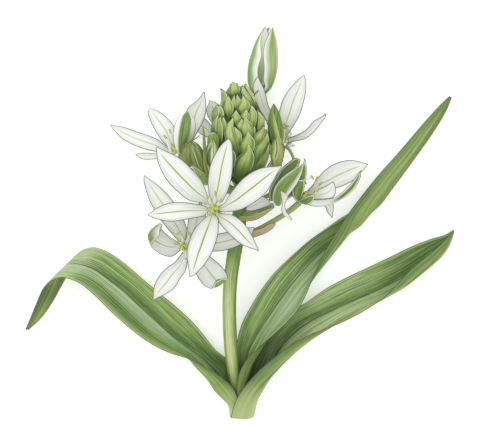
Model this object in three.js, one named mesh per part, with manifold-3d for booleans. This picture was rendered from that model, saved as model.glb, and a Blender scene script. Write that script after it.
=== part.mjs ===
// Ornithogalum cuspidatum: a cut flowering plant lying on a flat surface.
// Three strap leaves sheathe the foot of one round stalk. The stalk carries
// seven six-tepalled flowers, a cone of packed buds and six loose buds.
//
// Layout units: x to the right, y down the length of the plant, z up from the
// surface it lies on. One layout unit is UNIT millimetres.
import * as THREE from 'three';
import { mergeVertices } from 'three/addons/utils/BufferGeometryUtils.js';
import Module from 'manifold-3d';

// ---- driving dimensions -------------------------------------------------
const UNIT = 0.32;            // mm per layout unit
const MID_X = 240;            // layout x of the frame centre
const MID_Y = 223.5;          // layout y of the frame centre
const EYE = 853.3;            // mm, height from which the layout is laid out
const SLIVER = 0.12;       // mm, finest sliver left on a joined piece
const SPECK = 0.006;          // mm, finest edge left on any piece
const GAP = 0.34;             // mm, clearance between neighbouring pieces
const TEPAL_THICK = 0.42;     // mm
const LEAF_SPLIT = 1;         // sections between two leaf stations
const TEPAL_LONG = 6;         // sections along a tepal
const TEPAL_WIDE = 2;         // sections across a tepal
const STEM_SIDES = 9;
const SCALE_FLARE = 0.9;      // sine of the steepest slope of a scale on the flank of the cone
const SCALE_ROOT = 4.5;
const SCALE_LONG = 4;         // sections along a scale of the cone
const SCALE_WIDE = 2;         // sections across it
const SCALE_LIFT = 3.2;       // layout units, how far a scale tip stands off
const SCALE_BULGE = 2.3;      // layout units, roundness of a scale
const FILAMENT_R = 0.62;      // layout units
const ANTHER_R = 1.45;        // layout units

const LEAVES = [
  { "name": "leaf_left", "th": 1.9,
    "arcs": [
      { "c": [240.5, 417.0, 13.4], "ax": [0.0, 1.0, 0.14], "r": 9.9, "a": [88, 140, 188, 232, 275] },
      { "c": [239.6, 405.0, 15.2], "ax": [-0.16, 1.0, 0.16], "r": 10.4, "a": [84, 140, 192, 235, 280] }
    ],
    "st": [
      [[233.5, 388.5, 28.0], [216.2, 391.6, 19.5], [222.5, 385.0, 7.0], [230.5, 379.0, 6.0], [237.0, 374.0, 9.5]],
      [[222.0, 377.6, 28.0], [207.6, 379.2, 19.0], [213.0, 369.4, 6.0], [222.5, 365.0, 6.0], [229.5, 361.0, 10.5]],
      [[206.4, 367.1, 27.0], [196.6, 367.6, 19.5], [202.6, 359.4, 7.0], [210.0, 353.6, 9.0], [215.3, 349.4, 14.0]],
      [[190.0, 359.4, 24.5], [187.2, 356.8, 16.0], [188.6, 348.5, 8.0], [196.5, 340.5, 11.0], [202.5, 333.4, 16.0]],
      [[167.4, 352.2, 21.5], [170.0, 345.4, 14.5], [174.0, 337.8, 8.5], [183.0, 328.5, 11.5], [190.5, 319.8, 16.0]],
      [[146.8, 341.2, 20.5], [151.6, 333.6, 14.5], [156.8, 322.2, 9.5], [165.5, 311.8, 12.5], [174.0, 304.9, 16.5]],
      [[127.4, 326.4, 21.0], [133.8, 317.4, 15.5], [140.2, 307.0, 11.0], [150.0, 296.8, 13.5], [158.4, 291.9, 16.5]],
      [[110.0, 310.8, 23.0], [117.2, 301.8, 18.0], [124.0, 291.9, 13.5], [133.5, 281.5, 14.5], [141.8, 278.1, 16.0]],
      [[94.0, 295.0, 26.0], [101.0, 287.0, 21.5], [108.0, 279.2, 17.0], [117.6, 269.0, 16.0], [125.6, 264.2, 14.5]],
      [[80.6, 284.0, 29.0], [87.0, 277.6, 25.0], [93.4, 269.2, 20.5], [102.4, 258.0, 16.5], [109.0, 252.6, 12.5]],
      [[69.6, 279.2, 31.0], [74.4, 273.6, 27.0], [79.6, 264.6, 21.5], [86.0, 254.2, 15.5], [92.0, 247.1, 9.5]],
      [[59.9, 277.8, 29.5], [62.6, 272.0, 25.5], [67.6, 264.8, 19.5], [72.6, 259.2, 13.0], [77.0, 254.4, 7.0]],
      [[50.4, 281.8, 25.0], [51.6, 279.6, 21.5], [56.4, 276.4, 16.5], [61.6, 275.2, 10.5], [67.0, 276.0, 5.5]],
      [[42.6, 290.4, 19.0], [44.0, 289.4, 17.5], [50.0, 289.4, 14.5], [55.6, 289.2, 9.5], [60.6, 288.0, 4.5]],
      [[35.8, 304.4, 12.5], [37.8, 304.2, 12.0], [43.0, 303.8, 10.5], [48.0, 303.8, 7.0], [52.0, 303.4, 3.5]],
      [[30.2, 318.0, 6.5], [31.6, 318.4, 6.5], [35.0, 318.8, 6.0], [38.2, 318.8, 4.5], [41.4, 317.8, 2.5]],
      [[25.6, 328.8, 2.0], [26.3, 329.2, 2.0], [27.0, 329.6, 2.0], [27.8, 329.8, 2.0], [28.6, 329.6, 1.9]]
    ] },
  { "name": "leaf_upper_right", "th": 1.8,
    "arcs": [
      { "c": [240.5, 417.0, 13.4], "ax": [0.0, 1.0, 0.14], "r": 7.3, "a": [112, 48, -15, -70, -125] },
      { "c": [240.6, 405.0, 15.2], "ax": [0.0, 1.0, 0.16], "r": 7.6, "a": [112, 48, -15, -70, -125] }
    ],
    "st": [
      [[237.0, 390.0, 27.6], [244.6, 389.0, 23.0], [246.8, 386.0, 12.6], [240.6, 383.0, 9.2], [234.6, 381.0, 10.6]],
      [[238.6, 375.6, 29.0], [248.0, 376.4, 22.8], [247.0, 370.0, 12.0], [241.0, 366.0, 10.0], [235.6, 363.0, 11.6]],
      [[244.0, 363.8, 29.0], [252.4, 363.6, 21.5], [248.4, 355.0, 12.0], [242.0, 350.0, 10.4], [236.4, 346.0, 12.4]],
      [[254.3, 351.2, 28.0], [259.6, 351.6, 20.0], [252.8, 343.6, 12.0], [245.6, 336.0, 11.6], [238.8, 333.6, 14.0]],
      [[270.6, 337.4, 26.0], [268.6, 335.4, 18.0], [259.4, 331.4, 11.4], [250.0, 323.8, 12.0], [242.6, 321.8, 15.4]],
      [[286.0, 323.4, 23.6], [279.2, 321.0, 16.6], [268.6, 317.0, 11.0], [258.8, 307.4, 12.6], [250.4, 307.0, 16.6]],
      [[298.6, 308.8, 21.6], [291.0, 305.0, 15.6], [279.6, 300.4, 11.0], [269.0, 289.6, 13.2], [260.8, 290.2, 17.0]],
      [[307.8, 291.2, 21.0], [302.8, 289.4, 15.0], [292.0, 284.0, 11.0], [280.8, 273.2, 14.2], [273.6, 273.6, 17.6]],
      [[314.8, 272.4, 22.0], [316.4, 273.6, 14.6], [307.6, 266.0, 10.6], [295.2, 257.6, 14.0], [288.0, 259.2, 17.0]],
      [[325.6, 250.6, 23.6], [332.0, 254.6, 15.6], [324.6, 250.0, 9.0], [311.6, 241.8, 12.0], [305.0, 244.4, 15.0]],
      [[337.8, 229.6, 23.0], [345.4, 236.8, 17.0], [343.6, 236.0, 8.0], [332.4, 228.6, 8.6], [325.4, 228.8, 11.0]],
      [[349.0, 212.6, 20.6], [354.6, 217.6, 18.0], [360.8, 224.0, 10.0], [359.4, 219.4, 5.6], [350.6, 212.6, 5.4]],
      [[362.4, 194.8, 17.0], [367.6, 199.0, 16.6], [373.4, 205.0, 13.4], [377.6, 206.6, 7.6], [374.6, 208.6, 3.6]],
      [[379.2, 174.0, 13.4], [384.2, 178.2, 14.2], [389.6, 182.8, 13.2], [393.6, 185.6, 8.6], [391.4, 189.0, 4.0]],
      [[399.0, 151.8, 9.6], [403.4, 155.4, 10.8], [408.0, 159.8, 10.6], [411.6, 161.0, 7.4], [411.6, 162.4, 3.6]],
      [[420.4, 126.6, 6.0], [423.8, 129.6, 7.2], [427.2, 133.0, 7.2], [430.4, 134.6, 5.2], [431.6, 134.4, 3.0]],
      [[437.2, 107.8, 3.6], [439.4, 110.0, 4.4], [441.4, 112.0, 4.4], [443.4, 113.2, 3.6], [444.8, 113.4, 2.4]],
      [[449.0, 96.2, 1.9], [449.7, 96.6, 1.9], [450.4, 97.0, 1.9], [451.1, 97.4, 1.9], [451.8, 97.8, 1.9]]
    ] },
  { "name": "leaf_lower_right", "th": 1.9,
    "arcs": [
      { "c": [240.5, 417.0, 13.4], "ax": [0.0, 1.0, 0.14], "r": 12.5, "a": [142, 66, -8, -62, -112] }
    ],
    "st": [
      [[234.2, 404.6, 29.4], [252.6, 401.0, 27.4], [256.4, 401.0, 11.0], [248.0, 396.6, 2.4], [239.0, 394.0, 3.6]],
      [[241.0, 391.4, 32.6], [260.6, 388.8, 27.0], [261.6, 389.0, 9.4], [252.4, 380.0, 2.4], [243.0, 378.0, 4.4]],
      [[252.6, 377.2, 34.0], [271.0, 376.4, 25.0], [267.4, 372.4, 6.4], [257.4, 362.0, 2.2], [249.0, 358.0, 5.0]],
      [[268.8, 361.6, 33.4], [283.2, 363.6, 23.0], [276.2, 355.6, 4.4], [266.6, 345.0, 2.6], [258.6, 340.0, 6.4]],
      [[286.4, 348.2, 31.0], [296.0, 351.4, 20.6], [286.6, 341.0, 3.6], [279.0, 330.0, 3.6], [272.0, 324.6, 8.0]],
      [[304.8, 336.8, 27.6], [309.6, 340.4, 18.4], [299.6, 328.6, 3.2], [293.0, 317.0, 4.6], [287.4, 311.8, 9.4]],
      [[325.0, 329.0, 23.0], [324.0, 330.0, 14.4], [314.6, 319.4, 3.2], [309.4, 308.6, 5.6], [305.0, 303.2, 10.6]],
      [[346.6, 320.4, 20.0], [342.6, 317.8, 12.0], [335.4, 309.2, 3.2], [330.6, 298.0, 6.4], [326.6, 288.2, 11.4]],
      [[367.4, 309.2, 19.4], [363.8, 306.6, 11.4], [356.6, 299.6, 3.2], [352.0, 287.6, 6.6], [348.2, 276.6, 11.6]],
      [[384.2, 297.2, 20.4], [384.0, 297.8, 11.6], [377.6, 290.6, 3.2], [373.6, 278.6, 6.4], [370.0, 266.4, 11.4]],
      [[396.8, 284.6, 21.6], [404.4, 286.8, 13.0], [398.2, 280.2, 3.2], [395.4, 268.6, 5.8], [391.8, 256.0, 10.6]],
      [[412.2, 267.8, 20.8], [422.6, 272.6, 13.4], [418.4, 268.6, 3.2], [415.4, 256.8, 4.6], [411.6, 246.4, 8.8]],
      [[429.4, 254.0, 16.6], [438.6, 258.4, 11.4], [437.2, 255.6, 3.0], [434.4, 245.4, 3.4], [431.2, 238.8, 6.2]],
      [[441.6, 243.4, 10.6], [448.2, 245.4, 7.6], [448.2, 243.6, 2.6], [446.0, 238.0, 2.6], [443.8, 235.2, 4.0]],
      [[452.6, 231.4, 1.9], [453.3, 231.2, 1.9], [454.0, 230.9, 1.9], [454.0, 230.2, 1.9], [454.0, 229.5, 1.9]]
    ] }
];

const FLOWERS = [
  { "name": "front_flower", "c": [213.4, 208.6, 78.5], "d": [0.0, 0.05, 1.0], "ovary": [0, 10.5, 4.7],
    "anthers": [[215.3, 193.4, 93, 0.08, 1.0], [220.9, 200.9, 93, -0.3, 1.0], [204.2, 203.7, 92, 0.9, 0.35], [207.5, 196.6, 92, 0.12, 1.0], [208.4, 214.6, 86, 0.7, 0.5], [218.4, 214.8, 86, 0.7, -0.5]],
    "tepals": [
      { "L": [[202.6, 203.1], [188.8, 200.3], [175.8, 190.1], [164.7, 177.2], [157.3, 160.6]], "R": [[206.9, 192.9], [201.7, 180.9], [192.5, 169.8], [179.5, 157.8], [162.9, 149.5]], "t": [156.4, 146.7], "z": [80, 83, 85.5, 86, 85, 83], "cup": 0.22, "lr": 0 },
      { "L": [[209.1, 195.7], [207.8, 180.9], [211.0, 162.4], [220.2, 145.8]], "R": [[222.1, 202.2], [227.6, 192.0], [231.7, 177.2], [233.2, 158.7], [231.7, 142.1]], "t": [228.5, 138.4], "z": [80, 82, 83, 85, 87, 89], "cup": 0.22, "lr": 0 },
      { "L": [[224.3, 203.0], [231.3, 192.0], [244.3, 177.2], [260.9, 168.0]], "R": [[222.1, 212.3], [238.7, 210.5], [253.5, 203.1], [266.5, 192.0], [277.5, 173.5]], "t": [282.2, 165.7], "z": [80, 81, 83, 84, 83, 81], "cup": 0.22, "lr": 0 },
      { "L": [[222.1, 213.3], [233.2, 215.1], [244.3, 223.4], [251.7, 234.5], [258.1, 248.4]], "R": [[215.6, 218.8], [225.8, 230.8], [238.7, 242.9], [248.0, 247.5]], "t": [258.7, 250.8], "z": [79, 80, 79, 77, 74, 70], "cup": 0.3, "lr": 0 },
      { "L": [[203.6, 218.8], [194.3, 229.0], [188.8, 241.9], [186.6, 254.9]], "R": [[218.4, 218.8], [218.4, 232.7], [212.8, 251.2], [203.6, 266.0], [193.4, 276.1]], "t": [189.7, 277.1], "z": [80, 83, 86, 87, 87, 85], "cup": 0.22, "lr": 0 },
      { "L": [[202.6, 204.9], [183.2, 202.2], [168.4, 203.1], [155.5, 208.6]], "R": [[203.6, 216.4], [185.1, 219.7], [170.3, 221.6], [155.5, 218.8]], "t": [147.7, 215.1], "z": [79, 80, 80, 78, 76, 73], "cup": 0.25, "lr": 0 }
    ] },
  { "name": "upper_left_flower", "c": [177.5, 153.5, 44.0], "d": [-0.5, 0.8, 0.4], "ovary": [0, 9.5, 3.6],
    "anthers": [[165.2, 136.8, 57, 0.75, 0.65], [170.2, 131.3, 57, 0.25, 1.0], [177.8, 134.0, 51, 0.3, 1.0], [180.4, 139.0, 47, 0.2, 1.0], [180.0, 130.0, 53, 0.2, 1.0], [176.4, 141.6, 50, 0.3, 1.0]],
    "tepals": [
      { "L": [[170.8, 150.8], [160.1, 140.8], [150.9, 136.2], [137.1, 131.6], [124.1, 127.0]], "R": [[172.5, 154.5], [154.0, 151.5], [143.3, 148.9], [131.8, 144.3], [121.8, 138.5], [114.2, 130.9]], "t": [110.4, 124.7], "z": [45, 42, 36, 29, 21, 12], "cup": 0.25, "lr": 0 },
      { "L": [[170.8, 150.4], [161.6, 140.8], [154.7, 130.1], [150.2, 120.9], [147.9, 113.3]], "R": [[175.0, 143.0], [174.3, 127.0], [170.8, 121.7], [164.7, 115.6], [157.0, 110.2]], "t": [149.4, 107.9], "z": [44, 42, 38, 33, 28, 24], "cup": 0.25, "lr": 0 },
      { "L": [[176.9, 153.1], [173.9, 143.9], [173.1, 133.2], [175.4, 122.4], [180.0, 114.8]], "R": [[185.0, 150.0], [193.0, 137.8], [195.3, 130.1], [195.3, 121.7], [191.5, 114.8]], "t": [187.3, 112.1], "z": [49, 55, 60, 62, 61, 58], "cup": -0.45, "lr": 0 },
      { "L": [[182.5, 148.0], [184.5, 125.0], [186.5, 110.2], [189.9, 105.6], [196.8, 100.3]], "R": [[188.0, 152.0], [195.3, 136.2], [201.4, 125.5], [205.3, 115.6], [206.4, 105.6], [205.3, 96.4]], "t": [204.1, 91.5], "z": [42, 39, 36, 33, 31, 29], "cup": 0.22, "lr": 0 },
      { "L": [[170.5, 153.5], [154.7, 153.1], [143.3, 152.7]], "R": [[170.0, 158.0], [155.5, 159.2], [144.8, 159.6], [139.4, 157.7]], "t": [135.6, 154.2], "z": [45, 43, 39, 34, 28], "cup": 0.3, "lr": 3 },
      { "L": [[173.0, 150.0], [174.0, 138.0], [176.0, 126.0]], "R": [[181.0, 150.0], [184.0, 138.0], [184.0, 126.0]], "t": [181.0, 117.0], "z": [40, 34, 26, 17, 10], "cup": 0.2, "lr": 0 }
    ] },
  { "name": "lower_left_flower", "c": [184.8, 247.0, 54.0], "d": [-0.22, 0.15, 1.0], "ovary": [0, 9.5, 4.2],
    "anthers": [[179.0, 233.0, 67, 0.8, -0.6], [176.3, 244.0, 68, 0.95, 0.3], [189.0, 233.5, 66], [190.5, 255.0, 65], [187.0, 258.5, 65], [194.5, 243.0, 66]],
    "tepals": [
      { "L": [[178.8, 241.8], [162.7, 223.0], [154.2, 209.6], [149.3, 200.7], [145.7, 190.0], [143.0, 177.5]], "R": [[188.4, 234.0], [184.1, 220.4], [173.4, 201.6], [164.5, 190.9], [154.6, 182.4]], "t": [144.4, 175.3], "z": [54, 54, 50, 44, 37, 30], "cup": 0.22, "lr": 0 },
      { "rows": [
        [[180.0, 243.0, 54.5], [179.4, 246.4, 53.5], [180.6, 250.4, 54.5]],
        [[170.5, 237.0, 55.5], [170.0, 247.0, 52.0], [172.0, 256.5, 54.5]],
        [[163.5, 231.0, 57.0], [159.0, 243.0, 53.0], [161.0, 254.5, 56.5]],
        [[158.0, 224.8, 60.5], [149.0, 235.5, 58.5], [151.0, 246.8, 61.0]],
        [[159.6, 223.2, 65.5], [151.6, 231.6, 67.5], [152.6, 243.2, 67.5]],
        [[162.6, 225.0, 67.5], [160.6, 229.4, 70.0], [159.6, 234.6, 69.5]]
      ] },
      { "L": [[181.0, 254.0], [175.2, 261.4], [164.5, 269.5], [156.4, 280.2], [153.3, 290.0]], "R": [[188.0, 258.0], [185.9, 270.4], [180.5, 278.4], [174.3, 288.2], [164.5, 294.9]], "t": [153.3, 299.8], "z": [54, 53, 49, 43, 37, 33], "cup": 0.22, "lr": 0 },
      { "rows": [
        [[188.0, 255.0, 54.5], [189.6, 252.6, 53.5], [191.0, 249.8, 54.5]],
        [[192.0, 265.0, 54.0], [199.0, 259.0, 51.0], [206.0, 254.0, 53.5]],
        [[196.5, 275.0, 52.0], [207.0, 269.0, 49.5], [217.0, 262.0, 52.5]],
        [[203.0, 284.5, 50.5], [214.0, 278.0, 48.0], [224.6, 270.0, 51.5]],
        [[211.0, 288.8, 51.5], [220.0, 284.6, 50.5], [228.0, 277.0, 52.5]],
        [[212.6, 286.2, 55.5], [219.5, 282.4, 56.5], [226.5, 277.8, 56.0]],
        [[214.5, 283.0, 58.0], [217.4, 280.0, 59.0], [220.4, 279.0, 58.5]]
      ] },
      { "L": [[192.5, 243.0], [205.0, 237.0], [218.0, 233.8], [231.0, 231.0], [243.0, 228.4], [250.4, 227.2]], "R": [[193.5, 250.5], [213.6, 251.6], [227.9, 249.8], [241.3, 244.5], [250.0, 237.0], [253.4, 231.6]], "t": [254.2, 227.2], "z": [54, 56, 58, 60, 61, 61], "cup": 0.2, "lr": 0 },
      { "L": [[185.5, 239.0], [187.0, 228.0], [190.0, 214.0]], "R": [[191.5, 241.0], [201.0, 232.0], [206.0, 218.0]], "t": [201.0, 201.0], "z": [54, 57, 61, 65, 67], "cup": 0.2, "lr": 0 }
    ] },
  { "name": "right_flower", "c": [301.0, 200.6, 47.0], "d": [0.5, 0.72, 0.48], "ovary": [0, 13.0, 3.0],
    "anthers": [[312.4, 177.6, 61, 0.55, 0.8], [316.6, 178.5, 59, -0.35, 0.9], [320.7, 183.4, 59, 0.75, -0.6], [316.4, 190.6, 66, 1.0, 0.0], [311.9, 194.6, 67, -0.35, 0.9], [305.0, 182.0, 40, 0.5, 0.8]],
    "tepals": [
      { "L": [[306.0, 194.0], [319.2, 176.0], [327.8, 167.7], [337.3, 162.5], [349.3, 159.9], [358.8, 161.2]], "R": [[312.0, 197.0], [322.0, 190.0], [336.4, 188.3], [351.9, 181.5], [361.4, 172.8], [366.6, 166.8]], "t": [367.8, 164.2], "z": [44, 41, 37, 33, 30, 28], "cup": 0.22, "lr": 0 },
      { "L": [[312.0, 199.8], [322.7, 199.3], [333.6, 197.6], [341.6, 192.4], [350.6, 183.4], [358.6, 172.8]], "R": [[308.0, 205.0], [316.0, 206.8], [325.4, 205.9], [334.0, 203.4], [343.3, 198.7], [352.4, 191.4], [358.4, 182.6], [361.4, 174.2]], "t": [360.9, 170.6], "z": [48, 49, 50, 50, 49, 47], "cup": 0.3, "lr": -6 },
      { "L": [[308.0, 196.0], [317.0, 189.8], [323.6, 187.0], [328.8, 183.8]], "R": [[311.0, 199.6], [322.0, 199.2], [330.6, 198.4], [335.0, 195.4], [335.8, 187.6]], "t": [333.2, 181.8], "z": [50, 56, 61, 65, 67], "cup": 0.3, "lr": 0 },
      { "L": [[305.0, 204.6], [315.0, 204.4], [324.4, 206.4], [327.4, 212.6]], "R": [[308.0, 201.0], [322.0, 200.0], [332.4, 202.6], [333.6, 210.6]], "t": [332.2, 217.6], "z": [44, 40, 35, 30, 27], "cup": 0.25, "lr": 0 },
      { "L": [[300.0, 199.6], [303.4, 197.8], [309.0, 195.6]], "R": [[301.8, 203.8], [307.0, 205.2], [312.2, 202.0], [314.6, 197.6]], "t": [314.8, 194.6], "z": [51, 62, 69, 72, 73], "cup": -0.5, "lr": 0 },
      { "L": [[297.4, 202.4], [293.4, 198.0], [291.8, 190.0], [294.6, 183.0]], "R": [[300.6, 198.0], [303.6, 191.4], [305.0, 185.0], [304.4, 181.2]], "t": [301.0, 179.4], "z": [50.5, 58, 62.5, 64, 64], "cup": -0.3, "lr": 0 }
    ] },
  { "name": "upper_right_flower", "c": [284.5, 143.0, 29.0], "d": [0.1, 0.9, 0.42], "ovary": [0, 9.0, 3.4],
    "anthers": [[285.4, 127.8, 42, 1.0, 0.25], [287.0, 137.6, 44, 0.6, -0.8], [281.0, 127.0, 40], [279.0, 133.5, 38], [287.0, 126.0, 36], [283.5, 124.6, 34]],
    "tepals": [
      { "L": [[281.0, 137.0], [277.5, 122.0], [280.0, 107.9], [283.1, 98.6], [289.6, 88.5], [298.8, 78.3]], "R": [[286.5, 137.0], [288.7, 133.8], [298.8, 117.1], [303.5, 103.3], [306.2, 90.3], [305.8, 77.4]], "t": [303.9, 75.0], "z": [28, 27, 25, 23, 20, 18], "cup": 0.22, "lr": 0 },
      { "L": [[288.0, 138.0], [301.6, 132.4], [308.1, 127.3], [313.6, 120.8], [322.0, 116.2]], "R": [[289.0, 143.4], [294.2, 141.6], [304.4, 139.3], [313.6, 132.9], [321.0, 123.6], [326.1, 116.2]], "t": [325.7, 113.4], "z": [30, 33, 35, 36, 35, 33], "cup": 0.8, "lr": 0 },
      { "L": [[280.0, 140.0], [268.0, 126.0], [264.6, 118.1], [258.1, 107.9], [254.0, 94.9], [252.6, 89.4], [253.5, 82.9]], "R": [[281.4, 135.0], [275.0, 118.0], [268.8, 106.0], [265.5, 92.2], [261.8, 83.8]], "t": [257.9, 76.4], "z": [30.5, 30.5, 29.6, 29.8, 31.2, 31.8], "cup": 0.2, "lr": 0 },
      { "L": [[288.6, 143.0], [291.4, 142.9]], "R": [[286.5, 146.5], [290.0, 147.4]], "t": [294.6, 145.8], "z": [24.2, 16.0, 8.4, 3.6], "cup": 0.2, "lr": 0 },
      { "L": [[279.5, 141.0], [269.0, 141.5], [261.0, 144.5]], "R": [[279.5, 147.0], [269.0, 155.0], [260.0, 157.0]], "t": [254.5, 152.0], "z": [26, 18, 11, 7, 5], "cup": 0.2, "lr": 0 },
      { "L": [[280.5, 147.0], [271.0, 160.0], [265.0, 172.0]], "R": [[285.0, 149.0], [282.5, 162.0], [276.5, 176.0]], "t": [266.5, 186.0], "z": [25, 17, 11, 8, 7], "cup": 0.2, "lr": 0 }
    ] },
  { "name": "rear_flower", "c": [223.0, 139.0, 10.0], "d": [-0.1, 0.1, 1.0], "ovary": [0, 7.0, 3.2],
    "anthers": [[219.0, 127.0, 17], [230.0, 131.0, 16], [213.5, 133.0, 18], [214.0, 144.0, 18], [223.0, 150.0, 17], [232.0, 142.0, 16]],
    "tepals": [
      { "L": [[219.0, 133.0], [208.5, 118.0], [206.4, 109.4]], "R": [[225.0, 132.0], [224.0, 116.0], [218.3, 104.1]], "t": [209.6, 100.3], "z": [8, 7, 6.5, 6.5, 6], "cup": 0.22, "lr": 0 },
      { "L": [[217.0, 140.5], [206.0, 137.0], [198.0, 132.0]], "R": [[217.0, 134.5], [207.0, 120.0], [199.0, 118.0]], "t": [194.5, 124.5], "z": [8, 7, 5, 3.5, 2], "cup": 0.22, "lr": 0 },
      { "L": [[226.0, 133.0], [227.0, 112.0], [231.0, 101.0]], "R": [[230.5, 135.5], [240.0, 118.0], [243.0, 104.0]], "t": [240.0, 95.0], "z": [8, 6, 4, 2.6, 1.8], "cup": 0.22, "lr": 0 },
      { "L": [[230.5, 136.5], [243.0, 120.0], [254.0, 117.0]], "R": [[231.0, 141.5], [246.0, 139.0], [256.0, 132.0]], "t": [263.0, 122.0], "z": [8, 7, 5, 3, 1.8], "cup": 0.22, "lr": 0 },
      { "L": [[229.5, 144.0], [245.5, 153.0], [251.0, 164.0]], "R": [[225.0, 147.0], [230.0, 163.0], [240.0, 172.0]], "t": [249.5, 175.5], "z": [8, 6, 4, 2.6, 1.8], "cup": 0.22, "lr": 0 },
      { "L": [[222.5, 147.5], [222.5, 162.0], [219.0, 172.0]], "R": [[217.0, 143.5], [206.0, 156.0], [206.0, 166.0]], "t": [210.5, 177.0], "z": [8, 6, 4, 2.6, 1.8], "cup": 0.22, "lr": 0 }
    ] }
];

const LOOSE = [
  { "name": "half_open_flower_tepal_front", "c": [275.0, 204.5, 57.0], "L": [[275.6, 205.2], [273.0, 201.6], [272.2, 196.1], [274.4, 187.5], [280.5, 178.9], [288.2, 172.8], [296.8, 167.3]], "R": [[279.6, 206.0], [283.6, 203.6], [286.6, 198.4], [291.4, 191.7], [296.6, 184.6], [300.6, 176.6], [302.8, 169.4]], "t": [302.8, 164.4], "z": [61, 66, 69, 70, 69, 66], "cup": -0.42, "lr": 0 },
  { "name": "half_open_flower_tepal_rear", "c": [275.0, 204.5, 57.0], "L": [[269.6, 201.5], [268.4, 193.5], [271.9, 184.0], [277.0, 175.5], [282.2, 167.7], [288.2, 162.5], [295.1, 157.8]], "R": [[275.0, 200.5], [281.0, 190.0], [290.0, 178.0], [298.5, 166.0]], "t": [300.3, 159.9], "z": [55, 54, 53, 52.5, 52, 52], "cup": 0.25, "lr": 0 },
  { "name": "half_open_flower_tepal_right", "c": [275.0, 204.5, 57.0], "L": [[279.0, 201.5], [289.0, 190.0], [297.0, 178.0], [302.0, 166.0]], "R": [[282.0, 203.6], [292.0, 197.0], [301.1, 192.7], [304.6, 185.0], [306.9, 172.0], [306.4, 165.0]], "t": [304.8, 158.6], "z": [54.5, 55.5, 57, 57, 57.5, 58], "cup": -0.3, "lr": 0 },
  { "name": "half_open_flower_tepal_left", "c": [275.0, 204.5, 57.0], "L": [[269.5, 200.0], [261.0, 196.0], [251.0, 201.0]], "R": [[270.6, 205.6], [262.0, 208.4], [252.0, 211.4]], "t": [245.0, 210.0], "z": [57, 60, 62, 63, 63], "cup": 0.25, "lr": 0 }
];

const RIBBONS = [
  { "name": "half_open_flower_curled_tepal", "th": 1.3, "rows": [
    [[280.0, 190.5, 76.0], [284.2, 193.2, 77.2], [288.2, 196.0, 76.0]],
    [[281.0, 197.5, 76.5], [284.3, 198.6, 77.2], [287.6, 199.0, 76.2]],
    [[282.2, 203.4, 75.0], [283.6, 203.8, 75.6], [285.2, 204.4, 75.0]],
    [[281.3, 210.0, 72.5], [283.8, 210.6, 73.0], [286.5, 211.6, 72.5]],
    [[284.0, 215.6, 70.0], [286.6, 215.8, 70.8], [290.4, 216.4, 70.0]],
    [[291.4, 220.4, 67.0], [292.0, 219.9, 67.2], [292.5, 219.3, 67.0]] ] },
  { "name": "side_bract_left", "th": 1.3, "rows": [
    [[206.2, 176.8, 74.0], [207.8, 176.2, 74.4], [209.4, 175.6, 74.0]],
    [[203.7, 165.0, 76.4], [205.4, 164.6, 77.0], [207.1, 164.2, 76.4]],
    [[203.0, 153.0, 75.4], [204.5, 152.8, 76.0], [206.0, 152.6, 75.4]],
    [[202.8, 140.0, 73.0], [204.2, 140.0, 73.4], [205.6, 140.0, 73.0]],
    [[202.6, 127.4, 69.0], [203.2, 126.8, 69.0], [203.8, 127.4, 69.0]] ] }
];

const BUDS = [
  { "name": "top_bud", "a": [258.0, 97.0, 15.8], "b": [269.4, 26.0, 15.4], "prof": [[0, 1.6], [0.03, 5.0], [0.085, 9.0], [0.183, 12.6], [0.324, 14.4], [0.47, 14.7], [0.62, 13.3], [0.768, 11.0], [0.88, 8.0], [0.96, 4.6], [1, 1.2]], "lobes": 0.035 },
  { "name": "side_bud_right_upper", "a": [276.8, 151.0, 50.0], "b": [273.6, 103.6, 50.0], "prof": [[0, 1.2], [0.06, 4.4], [0.25, 7.2], [0.5, 7.7], [0.75, 6.0], [0.92, 3.0], [1, 0.7]], "lobes": 0.04 },
  { "name": "side_bud_right_lower", "a": [276.4, 167.6, 65.0], "b": [276.2, 137.1, 65.0], "prof": [[0, 1.2], [0.08, 3.6], [0.3, 5.8], [0.55, 5.9], [0.8, 4.0], [1, 0.7]], "lobes": 0.04 },
  { "name": "side_bud_left_front", "a": [202.6, 172.2, 67.5], "b": [193.4, 141.0, 68.0], "prof": [[0, 1.2], [0.08, 3.4], [0.25, 5.8], [0.45, 6.8], [0.63, 6.5], [0.8, 5.0], [0.93, 2.8], [1, 0.8]], "lobes": 0.05 },
  { "name": "side_bud_left_small", "a": [189.6, 167.4, 58.0], "b": [187.4, 141.8, 58.5], "prof": [[0, 1.0], [0.1, 3.6], [0.32, 6.6], [0.55, 7.4], [0.75, 6.2], [0.9, 3.9], [1, 1.0]], "lobes": 0.03 },
  { "name": "side_bud_inner", "a": [211.0, 168.4, 69.0], "b": [212.8, 138.2, 69.0], "prof": [[0, 1.2], [0.1, 4.0], [0.3, 6.6], [0.55, 7.3], [0.78, 5.4], [0.92, 2.8], [1, 0.7]], "lobes": 0.05 }
];

const CONE = { "name": "bud_cone", "core": 2.6, "z": 46.0, "path": [[240.6, 183.5, 46.0], [240.6, 160.0, 46.0], [240.0, 140.0, 46.0], [238.3, 120.0, 46.0], [237.2, 104.0, 46.0], [235.6, 91.0, 46.0], [233.6, 82.4, 46.0]],
  "prof": [[0, 4.0], [0.03, 9.0], [0.08, 15.0], [0.17, 22.4], [0.32, 28.4], [0.43, 29.0], [0.53, 27.8], [0.63, 26.2], [0.72, 23.0], [0.8, 18.4], [0.87, 14.2], [0.94, 9.4], [0.98, 5.4], [1, 1.4]] };

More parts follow.
